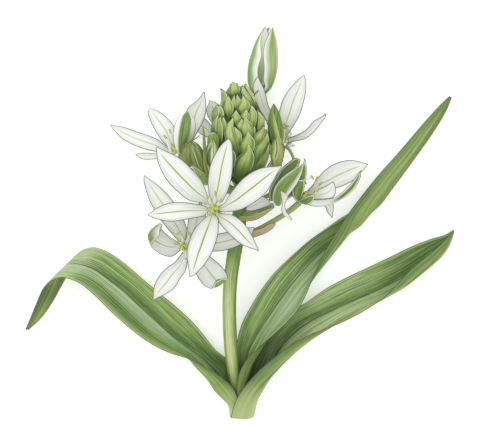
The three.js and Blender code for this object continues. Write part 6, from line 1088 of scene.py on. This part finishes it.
GREEN3 = dict(green=(128, 158, 78), dark=(86, 122, 54))
BUDWORK = {
    'top_bud': [
        # small pale petal deep in the notch of the tip
        (dict(pl=[['a', 0.5, 0], ['a', 0.7, 0], [266.9, 38.0], [267.4, 31.0]], pr=[['a', 0.5, 60], ['a', 0.7, 60], [272.2, 40.0], [272.0, 31.0]], off=-1.7, tip=(270.3, 27.5)),
         dict(green=(196, 204, 184), dark=(170, 180, 158), white=(240, 242, 236), pale=(226, 230, 220), band=(-1.2, -0.9), soft=0.3, rim=0.1)),
        # inner petal with the white tip
        (dict(pl=[['a', 0.05, -35], ['a', 0.3, -40], ['a', 0.7, -50], [261.6, 34.0], [263.2, 29.6]], pr=[['a', 0.05, 20], ['a', 0.3, 20], ['a', 0.7, 30], [268.6, 34.0], [267.8, 29.4]], off=-0.95, tip=(265.8, 26.0)),
         dict(green=(138, 158, 92), dark=(100, 124, 64), white=(232, 236, 224), pale=(206, 213, 194), band=(-1.2, 0.7), soft=0.5, tip=0.8, rim=0.2)),
        # far side
        (dict(pl=[['a', 0.02, 100], ['a', 0.3, 95], ['a', 0.7, 110], ['a', 0.97, 84]], pr=[['a', 0.02, 260], ['a', 0.3, 262], ['a', 0.7, 255], ['a', 0.97, 276]], off=-0.45, tip=(268.6, 27.6)),
         dict(green=(150, 174, 104), dark=(112, 142, 74), white=(236, 240, 228), band=(-0.5, 0.5))),
        # left petal
        (dict(pl=[['a', 0.02, -150], ['a', 0.3, -165], ['a', 0.7, -150], ['a', 0.97, -90]],
              pr=[['a', 0.02, -25], [258.6, 79.0], [257.6, 74.0], [257.8, 69.0], [259.4, 63.0], [261.2, 58.0], [260.9, 53.0], [260.2, 46.0], [260.4, 40.0], [261.8, 34.6], [263.2, 31.0]], off=-0.35, tip=(264.9, 26.9)),
         dict(green=(152, 174, 108), dark=(100, 130, 66), pale=(222, 230, 196), band=(-1.2, 0.60), soft=0.34, rim=0.2)),
        # right petal
        (dict(pl=[['a', 0.02, -5], [265.0, 88.0], [263.2, 80.0], [263.9, 73.0], [264.1, 67.0], [263.0, 58.0], [263.0, 51.0], [264.6, 44.0], [267.0, 38.6], [268.8, 34.0], [270.6, 30.0]],
              pr=[['a', 0.02, 120], ['a', 0.3, 125], ['a', 0.7, 120], ['a', 0.98, 90]], off=-0.1, tip=(272.6, 26.6)),
         dict(green=(170, 192, 120), dark=(116, 146, 74), band=(-0.62, 0.14), soft=0.4, low=0.6, rim=0.2)),
    ],
    'side_bud_right_upper': [
        (dict(pl=[['a', 0.02, 120], ['a', 0.4, 110], ['a', 0.8, 120], ['a', 0.99, 160]], pr=[['a', 0.02, 250], ['a', 0.4, 255], ['a', 0.8, 245], ['a', 0.99, 200]], off=-0.6),
         dict(GREEN3, band=(-1.2, 1.2))),
        # left lobe
        (dict(pl=[['a', 0.02, -170], ['a', 0.4, -170], ['a', 0.8, -150], ['a', 0.98, -100]], pr=[['a', 0.02, -30], ['a', 0.3, -20], [272.6, 118.0], [273.6, 110.5], [274.6, 106.0], [273.0, 103.6]], off=-0.5),
         dict(green=(144, 166, 84), dark=(96, 126, 56), band=(-1.2, 1.2), rim=0.3)),
        # right lobe
        (dict(pl=[['a', 0.02, 0], ['a', 0.4, -5], [275.0, 116.0], [275.2, 110.0], [275.2, 106.0], [275.0, 104.2]], pr=[['a', 0.02, 150], ['a', 0.4, 150], ['a', 0.8, 140], ['a', 0.99, 60]], off=-0.3),
         dict(green=(122, 150, 70), dark=(78, 108, 46), band=(-1.2, 1.2), rim=0.35)),
        # front petal with the pale right ridge
        (dict(pl=[['a', 0.02, -55], ['a', 0.2, -80], [268.6, 134.0], [268.2, 127.0], [269.2, 120.6], [271.4, 115.4], [273.4, 111.4]],
              pr=[['a', 0.02, 45], ['a', 0.2, 62], [280.4, 138.0], [278.6, 130.0], [276.8, 122.6], [275.2, 116.6], [273.8, 111.2]], off=0.2, lift=0.6),
         dict(green=(128, 156, 74), dark=(66, 98, 40), pale=(190, 206, 132), white=(186, 204, 128), band=(-0.9, 0.30), soft=0.4, low=0.6, rim=0.35, whiten=0.75)),
    ],
    'side_bud_right_lower': [
        (dict(pl=[['a', 0.02, 110], ['a', 0.4, 100], ['a', 0.8, 110], ['a', 0.99, 150]], pr=[['a', 0.02, 260], ['a', 0.4, 262], ['a', 0.8, 255], ['a', 0.99, 210]], off=-0.5),
         dict(GREEN3, band=(-1.2, 1.2))),
        (dict(pl=[['a', 0.02, -150], ['a', 0.4, -160], ['a', 0.8, -140], ['a', 0.98, -60]], pr=[['a', 0.02, 20], [275.0, 157.5], [276.9, 151.0], [276.6, 144.0], [275.6, 138.8]], off=-0.3),
         dict(green=(140, 166, 82), dark=(84, 114, 48), pale=(206, 218, 156), white=(206, 218, 156), band=(-1.2, 0.55), soft=0.4, low=0.5, rim=0.3, whiten=0.7)),
        (dict(pl=[[273.6, 165.0], [272.6, 161.5], [275.4, 157.0], [277.2, 151.0], [276.9, 144.0], [275.9, 138.0]], pr=[['a', 0.02, 140], ['a', 0.4, 140], ['a', 0.8, 130], ['a', 0.99, 40]], off=0.15),
         dict(green=(180, 184, 104), dark=(138, 146, 70), pale=(214, 222, 160), white=(216, 222, 164), band=(-0.8, 1.2), soft=0.3, low=0.4, rim=0.3, whiten=0.8)),
    ],
    'side_bud_left_front': [
        (dict(pl=[['a', 0.02, 120], ['a', 0.4, 110], ['a', 0.8, 110], ['a', 0.99, 150]], pr=[['a', 0.02, 250], ['a', 0.4, 255], ['a', 0.8, 250], ['a', 0.99, 200]], off=-0.5),
         dict(GREEN3, band=(-1.2, 1.2))),
        (dict(pl=[['a', 0.02, -150], ['a', 0.4, -165], ['a', 0.8, -150], ['a', 0.98, -60]], pr=[['a', 0.02, 10], [196.6, 165.0], [194.8, 158.0], [193.0, 152.0], [191.8, 147.0], [191.6, 142.6]], off=-0.3),
         dict(green=(142, 156, 84), dark=(98, 120, 56), pale=(190, 204, 140), band=(-1.2, 1.2), rim=0.3)),
        (dict(pl=[['a', 0.02, 20], ['a', 0.25, 28], [200.2, 156.0], [197.4, 150.0], [194.4, 144.6], [192.2, 141.8]], pr=[['a', 0.02, 150], ['a', 0.4, 150], ['a', 0.8, 140], ['a', 0.99, 40]], off=-0.25),
         dict(green=(134, 150, 72), dark=(96, 120, 52), pale=(196, 208, 140), band=(-1.2, 1.2), rim=0.3)),
        (dict(pl=[[201.2, 170.0], [197.4, 164.6], [195.2, 158.0], [193.2, 152.0], [191.9, 147.0], [191.9, 143.2]], pr=[['a', 0.02, 40], [203.0, 166.0], [202.0, 160.0], [199.8, 153.6], [196.8, 148.0], [192.6, 142.8]], off=0.2, lift=0.5),
         dict(green=(118, 148, 72), dark=(72, 104, 46), pale=(204, 218, 152), white=(206, 220, 158), band=(-0.55, 1.2), soft=0.35, rim=0.45, whiten=0.85)),
    ],
    'side_bud_left_small': [
        (dict(pl=[['a', 0.02, 90], ['a', 0.4, 90], ['a', 0.8, 90], ['a', 0.99, 120]], pr=[['a', 0.02, 265], ['a', 0.4, 265], ['a', 0.8, 260], ['a', 0.99, 220]], off=-0.4),
         dict(green=(150, 160, 84), dark=(110, 126, 60), band=(-1.2, 1.2))),
        (dict(pl=[['a', 0.02, -140], ['a', 0.4, -150], ['a', 0.8, -140], ['a', 0.98, -50]], pr=[['a', 0.02, 100], ['a', 0.4, 105], ['a', 0.8, 95], ['a', 0.99, 50]], off=0.0, lift=0.3),
         dict(green=(152, 162, 90), dark=(106, 124, 60), pale=(190, 202, 146), white=(178, 192, 134), band=(-1.2, 0.35), soft=0.5, rim=0.3, whiten=0.7)),
    ],
    'side_bud_inner': [
        (dict(pl=[['a', 0.02, 120], ['a', 0.4, 110], ['a', 0.8, 110], ['a', 0.99, 150]], pr=[['a', 0.02, 250], ['a', 0.4, 255], ['a', 0.8, 250], ['a', 0.99, 200]], off=-0.5),
         dict(GREEN3, band=(-1.2, 1.2))),
        (dict(pl=[['a', 0.02, -150], ['a', 0.4, -160], ['a', 0.8, -150], ['a', 0.98, -60]], pr=[['a', 0.02, 0], ['a', 0.3, -5], [209.6, 150.0], [211.4, 144.0], [212.6, 139.2]], off=-0.3),
         dict(green=(142, 164, 88), dark=(98, 126, 58), pale=(206, 220, 162), white=(214, 226, 178), band=(-1.2, 0.6), soft=0.35, rim=0.35, whiten=0.8)),
        (dict(pl=[['a', 0.02, 10], ['a', 0.3, 5], [213.2, 152.0], [213.2, 144.0], [212.8, 139.2]], pr=[['a', 0.02, 150], ['a', 0.4, 150], ['a', 0.8, 140], ['a', 0.99, 40]], off=-0.25),
         dict(green=(140, 164, 84), dark=(98, 128, 56), pale=(206, 220, 162), white=(222, 232, 190), band=(-0.6, 1.2), soft=0.3, rim=0.35)),
        (dict(pl=[['a', 0.02, -50], ['a', 0.2, -70], [205.8, 157.0], [206.2, 152.0], [208.8, 147.6], [211.0, 143.4], [212.6, 139.0]],
              pr=[['a', 0.02, 30], ['a', 0.2, 22], [213.4, 160.0], [213.4, 152.0], [213.2, 145.0], [212.9, 139.0]], off=0.2, lift=0.4),
         dict(green=(98, 130, 66), dark=(56, 88, 42), pale=(220, 230, 186), white=(232, 240, 210), band=(-0.70, 0.30), soft=0.3, rim=0.5)),
    ],
}
for bi, b in enumerate(BUDS):
    bl = Build()
    mats = []
    a, ax, L, lat, up, prof = bud_frame(b)
    q = prof[::2]
    path = world(a + ax * (q[:, 0] * L)[:, None])
    core = (srgb(186, 190, 160), srgb(150, 164, 112)) if b['name'] == 'top_bud' else (srgb(76, 104, 50), srgb(116, 146, 70))
    mats.append(bud_core(b['name'] + '_core', bi * 2.0, *core))
    deep = 2.6 if b['name'] == 'top_bud' else 1.0
    keep = slice(0, len(path) - (2 if deep > 1.5 else 0))
    bl.add(*tube(path[keep], np.maximum(q[keep, 1] - deep, 0.2) * UNIT, 48), mat=0)
    for k, (geo, look) in enumerate(BUDWORK[b['name']]):
        bl.add(*bud_petal(b, **geo), mat=k + 1)
        mats.append(petal_skin('%s_skin_%d' % (b['name'], k), seed=bi * 9.0 + k * 2.3, **look))
    if b['name'] == 'side_bud_inner':
        # small rounded bud standing behind it
        tiny = dict(a=[213.2, 156.0, 62.0], b=[213.2, 132.0, 62.0], prof=[[0, 1.5], [0.2, 4.0], [0.5, 5.8], [0.75, 5.6], [0.9, 3.9], [1, 0.8]])
        bl.add(*bud_petal(tiny, pl=[['a', 0.02, -100], ['a', 0.5, -110], ['a', 0.9, -100], ['a', 0.995, -40]], pr=[['a', 0.02, 100], ['a', 0.5, 110], ['a', 0.9, 100], ['a', 0.995, 40]]), mat=len(mats))
        mats.append(petal_skin('rear_bud_skin', seed=77.0, green=(150, 176, 92), dark=(106, 138, 62), band=(-1.2, 0.5), rim=0.9))
        p = through(np.array(tiny['prof']), np.linspace(0, 1, 25))
        bl.add(*tube(world(np.array(tiny['a']) + np.outer(p[:, 0], np.array(tiny['b']) - np.array(tiny['a']))), (p[:, 1] - 0.6) * UNIT, 24), mat=0)
    if b['name'] == 'side_bud_left_small':
        # thin dry bract along its upper left side
        P = through(np.array([[180.9, 153.0, 62.0], [182.2, 148.6, 64.0], [185.0, 144.8, 65.5], [188.8, 142.4, 66.4], [193.6, 139.8, 68.6], [197.2, 137.4, 67.5], [200.0, 134.9, 66.0]]), np.linspace(0, 1, 40))
        bl.add(*tube(world(P), np.interp(np.linspace(0, 1, 40), [0, 0.3, 0.8, 1], [0.3, 0.62, 0.5, 0.15]) * UNIT, 12), mat=len(mats))
        mats.append(plain_material('dry_bract', srgb(104, 84, 58), srgb(150, 122, 84), 4, 3))
    ob = bl.make(b['name'] + '_detail', mats)
    piece(ob, 'bud_white' if b['name'] == 'top_bud' else 'bud_green', b['name'])


# cone of packed buds
CP = np.array(CONE['path'], float)
CPROF = through(np.array(CONE['prof'], float), np.linspace(0, 1, 121))


def cone_at(y):
    """centre x, centre z and radius of the cone at the layout height y"""
    t = (CP[0, 1] - y) / (CP[0, 1] - CP[-1, 1])
    ys = CP[:, 1][::-1]
    xc = np.interp(y, ys, CP[:, 0][::-1])
    rad = np.interp(np.clip(t, 0, 1), CPROF[:, 0], CPROF[:, 1])
    return xc, CONE['z'], rad


def outline_rows(q, n):
    L = evenly([q['f']] + q['L'][::-1] + [q['t']], n)
    R = evenly([q['f']] + q['R'][::-1] + [q['t']], n)
    for a, b in ((0, 1), (n, n - 1)):
        d = unit(R[b] - L[b])
        m = (L[a] + R[a]) / 2
        w = 0.7 if a == 0 else 0.16
        L[a], R[a] = m - d * w, m + d * w
    return L, R


def scale_body(q, lift=3.2, bulge=2.6, turn=0):
    """turn 0: drawn side, 1: its mirror image on the far side, 2 and 3: the two flanks"""
    nu, ns = (26, 17) if turn < 2 else (16, 11)
    L, R = outline_rows(q, nu - 1)
    u = np.linspace(0, 1, nu)[:, None]
    # hollow flanks below the point
    mid = (L + R) / 2
    narrow = 1.09 - 0.16 * np.sin(np.pi * np.clip((u - 0.66) / 0.34, 0, 1)) ** 1.2
    L, R = mid + (L - mid) * narrow, mid + (R - mid) * narrow
    s = np.linspace(-1, 1, ns)[None, :]
    px = L[:, :1] * (1 - s) / 2 + R[:, :1] * (1 + s) / 2
    py = L[:, 1:] * (1 - s) / 2 + R[:, 1:] * (1 + s) / 2
    xc, zc, rad = cone_at(py)
    rad = np.maximum(rad, 4.5)
    dx = np.clip((px - xc) / rad, -0.9, 0.9)
    over = np.abs(px - xc) - np.abs(dx) * rad
    dz = np.sqrt(1 - dx * dx)
    half = np.linalg.norm(R - L, axis=1)[:, None] / 2
    edge = np.minimum((1 - np.abs(s)) * half, np.minimum(9.0, (1 - u) * np.linalg.norm(np.array(q['t']) - np.array(q['f']))) + 0.0)
    up = lift * u ** 1.2 - 4.6 + 1.4 * u
    up = up + bulge * (1 - s ** 2) ** 0.7 * np.sin(np.pi * u ** 0.75) ** 0.9
    up = up + 0.5 * np.exp(-(s / 0.14) ** 2) * np.sin(np.pi * np.minimum(u + 0.1, 1))
    up = up - 0.45 * np.exp(-((np.abs(s) - 0.78) / 0.08) ** 2)
    thick = 1.5 * (1 - s ** 4) + 0.45
    def place(h, t=0.0):
        P = np.stack([px + (0.25 * h - t) * dx, py, zc + (rad + h - t) * dz - 0.1 * over], -1)
        if turn > 1:
            X, Z = (P[..., 0] - xc) * 0.93, (P[..., 2] - zc) * 0.93
            way = 1 if turn == 2 else -1
            P[..., 0], P[..., 2] = xc + way * Z, zc - way * X - 0.6
            P[..., 1] += 1.6 if turn == 2 else 2.6
        if turn == 1:
            P[..., 0] = xc + (P[..., 0] - xc) * 0.98
            P[..., 1] += 0.8
            P[..., 2] = 2 * zc - P[..., 2] - 1.2
        return world(P).reshape(-1, 3)
    V = np.concatenate([place(up), place(up, thick)])
    S, U = s * np.ones_like(u), u * np.ones_like(s)
    A = np.stack([S, U, np.ones_like(S)], -1).reshape(-1, 3)
    A = np.concatenate([A, A * [1, 1, 0]])
    E = np.stack([edge * UNIT * 1e3, half * np.ones_like(s), U], -1).reshape(-1, 3)
    E = np.concatenate([E, E + [1.0, 0, 0]])
    K = nu * ns
    ix = lambda k, i, j: k * K + i * ns + j
    F = []
    for i in range(nu - 1):
        for j in range(ns - 1):
            F.append((ix(0, i, j), ix(0, i, j + 1), ix(0, i + 1, j + 1), ix(0, i + 1, j)))
            F.append((ix(1, i, j), ix(1, i + 1, j), ix(1, i + 1, j + 1), ix(1, i, j + 1)))
        F.append((ix(0, i, 0), ix(0, i + 1, 0), ix(1, i + 1, 0), ix(1, i, 0)))
        F.append((ix(0, i, ns - 1), ix(1, i, ns - 1), ix(1, i + 1, ns - 1), ix(0, i + 1, ns - 1)))
    for j in range(ns - 1):
        F.append((ix(0, 0, j), ix(1, 0, j), ix(1, 0, j + 1), ix(0, 0, j + 1)))
        F.append((ix(0, nu - 1, j), ix(0, nu - 1, j + 1), ix(1, nu - 1, j + 1), ix(1, nu - 1, j)))
    return V, F, A, E


bl = Build()
prof = CPROF[::3]
cy = CP[0, 1] + (CP[-1, 1] - CP[0, 1]) * prof[:, 0]
path = world(np.stack([cone_at(cy)[0], cy, np.full(len(cy), CONE['z'])], 1))
V, F, A, B = tube(path, np.maximum(prof[:, 1] - 3.6, 0.3) * UNIT, 40)
bl.add(V, F, A, B, mat=1)
for k, q in enumerate(SCALES):
    c_, _, r_ = cone_at(np.array([[(q['f'][1] + q['t'][1]) / 2]]))
    aside = ((q['f'][0] + q['t'][0]) / 2 - float(c_[0, 0])) / max(float(r_[0, 0]), 7.0)
    bl.add(*scale_body(q), mat=2 if aside < -0.42 else 0)
    bl.add(*scale_body(q, turn=1), mat=0)
    if abs(aside) < 0.62:
        bl.add(*scale_body(q, turn=2), mat=0)
        bl.add(*scale_body(q, turn=3), mat=0)
SCALE = scale_material('scale')
CORE = plain_material('cone_core', srgb(66, 92, 40), srgb(96, 122, 56), 8, 3)
SHADED = scale_material('scale_shaded', 2.0, 0.42)
piece(bl.make('cone_of_buds', [SCALE, CORE, SHADED]), 'bud_green', 'bud_cone')

# stalk with its flower stems, fused into one skin
parts = Build()
lines = []
for k, st in enumerate(STALK):
    P = through(np.array(st, float), np.linspace(0, 1, (len(st) - 1) * 8 + 1))
    path = world(P[:, :3])
    parts.add(*tube(path, P[:, 3] * UNIT, 36 if k == 0 else 20, 9, 0.025 if k == 0 else 0.0))
    lines.append((path, P[:, 3] * UNIT))
raw = parts.make('stalk_raw', [])
mod = raw.modifiers.new('fuse', 'REMESH')
mod.mode = 'VOXEL'
mod.voxel_size = 0.24e-3
dg = bpy.context.evaluated_depsgraph_get()
me = bpy.data.meshes.new_from_object(raw.evaluated_get(dg))
bpy.data.objects.remove(raw)
n = len(me.vertices)
co = np.zeros(n * 3); me.vertices.foreach_get('co', co); co = co.reshape(-1, 3)
best = np.full(n, 1e9); pa = np.zeros((n, 3)); pb = np.zeros((n, 3)); shade = np.zeros(n)
off = 0.0
for k, (path, rad) in enumerate(lines):
    T = unit(np.gradient(path, axis=0))
    along = np.concatenate([[0], np.cumsum(np.linalg.norm(np.diff(path, axis=0), axis=1))])
    D = np.linalg.norm(co[:, None] - path[None], axis=2)
    j = D.argmin(1)
    dist = D[np.arange(n), j] - rad[j]
    rel = co - path[j]
    x = np.cross(T[j], np.tile([0, 0, 1.0], (n, 1)))
    x = unit(x)
    y = np.cross(x, T[j])
    ang = np.arctan2((rel * y).sum(1), (rel * x).sum(1)) / np.pi
    up = dist < best
    best[up] = dist[up]
    pa[up] = np.stack([ang, along[j] / along[-1], np.full(n, 0.0 if k == 0 else 1.0)], 1)[up]
    pb[up] = np.stack([np.zeros(n), rad[j] * 1e3, along[j] * 1e3 + off], 1)[up]
    off += 31.0
for key, val in (('pa', pa), ('pb', pb)):
    at = me.attributes.new(key, 'FLOAT_VECTOR', 'POINT')
    at.data.foreach_set('vector', val.astype(np.float32).ravel())
me.materials.clear()
me.materials.append(stem_material('stem_skin'))
me.polygons.foreach_set('use_smooth', [True] * len(me.polygons))
me.update()
stalk = bpy.data.objects.new('stalk_skin', me)
bpy.context.scene.collection.objects.link(stalk)
sm = stalk.modifiers.new('soft', 'SMOOTH'); sm.factor = 0.5; sm.iterations = 4
piece(stalk, 'stem_green', 'flower_stalk')

def bract_material(name, seed, main, far, split, rim):
    m = Mat(name, 0.6)
    a = m.streaks(9, 1.6, seed)
    b = m.streaks(26, 3.0, seed + 2)
    col = m.mix(m.step(a, 0.3, 0.7), srgb(*main[0]), srgb(*main[1]))
    wob = m.math('ADD', m.s, m.math('MULTIPLY', m.math('SUBTRACT', b, 0.5), 0.5))
    col = m.mix(m.math('MULTIPLY', m.step(wob, split[0], split[1]), m.step(m.l, 0.0, 0.5, 0.5, 1.0)), col, m.mix(m.step(b, 0.3, 0.7), srgb(*far[0]), srgb(*far[1])))
    col = m.mix(m.math('MULTIPLY', m.step(b, 0.45, 0.28), 0.5), col, srgb(*[int(c * 0.72) for c in main[0]]))
    col = m.mix(m.math('MULTIPLY', m.step(m.edge, 0.5, 0.3), rim), col, srgb(222, 226, 196))
    col = m.mix(m.math('MULTIPLY', m.step(m.edge, 0.24, 0.1), 0.8), col, srgb(104, 92, 70))
    m.color(col)
    m.bump(b, 0.00008, 0.4)
    return m.m


BRACTS = [bract_material('bract_upper', 3.0, ((150, 160, 84), (196, 204, 134)), ((176, 150, 122), (206, 182, 152)), (0.0, 0.7), 0.2),
          bract_material('bract_lower', 7.0, ((170, 158, 108), (202, 186, 146)), ((186, 152, 130), (212, 184, 164)), (-0.4, 0.4), 0.2),
          bract_material('bract_bud', 9.0, ((130, 158, 78), (178, 198, 116)), ((206, 220, 164), (228, 236, 200)), (0.2, 0.8), 0.6)]
for i, b in enumerate(STALK_BRACTS):
    BRACT = BRACTS[i]
    V, F, A, B = blade(tepal_grid(b), 0.3e-3, seed=90 + i)
    piece(new_object('stalk_bract_%d' % (i + 1), V, F, {'pa': A, 'pb': B}, [BRACT]), 'stem_green')

# ------------------------------------------------------------- surroundings
me = bpy.data.meshes.new('floor')
me.from_pydata([(-4, -4, 0), (4, -4, 0), (4, 4, 0), (-4, 4, 0)], [], [(0, 1, 2, 3)])
floor = bpy.data.objects.new('floor', me)
bpy.context.scene.collection.objects.link(floor)
fm = bpy.data.materials.new('pale_floor'); fm.use_nodes = True
fm.node_tree.nodes['Principled BSDF'].inputs['Base Color'].default_value = (0.93, 0.93, 0.925, 1)
fm.node_tree.nodes['Principled BSDF'].inputs['Roughness'].default_value = 0.9
fm.node_tree.nodes['Principled BSDF'].inputs['Emission Color'].default_value = (1, 1, 1, 1)
fm.node_tree.nodes['Principled BSDF'].inputs['Emission Strength'].default_value = 0.36
me.materials.append(fm)

world_ = bpy.data.worlds.new('studio'); bpy.context.scene.world = world_
world_.use_nodes = True
world_.node_tree.nodes['Background'].inputs[0].default_value = (1, 1, 1, 1)
world_.node_tree.nodes['Background'].inputs[1].default_value = 0.78


def area(name, loc, size, power, target=(0, 0, 0.01)):
    l = bpy.data.lights.new(name, 'AREA'); l.shape = 'DISK'; l.size = size; l.energy = power
    o = bpy.data.objects.new(name, l)
    o.location = loc
    v = np.array(target) - np.array(loc)
    from mathutils import Vector
    o.rotation_euler = Vector(v).to_track_quat('-Z', 'Y').to_euler()
    bpy.context.scene.collection.objects.link(o)


area('key', (-0.45, 0.40, 0.75), 1.2, 3.0)
area('fill', (0.5, -0.3, 0.8), 1.6, 1.6)

cam = bpy.data.cameras.new('camera')
cam.lens = 200.0
cam.sensor_width = 36.0
cam.sensor_fit = 'HORIZONTAL'
cam.clip_start = 0.05
cam.clip_end = 20
co_ = bpy.data.objects.new('camera', cam)
co_.location = (SHIFT[0], SHIFT[1], EYE + SHIFT[2])
co_.rotation_euler = (0, 0, 0)
bpy.context.scene.collection.objects.link(co_)
bpy.context.scene.camera = co_
bpy.context.scene.view_settings.view_transform = 'Standard'
bpy.context.scene.view_settings.look = 'None'
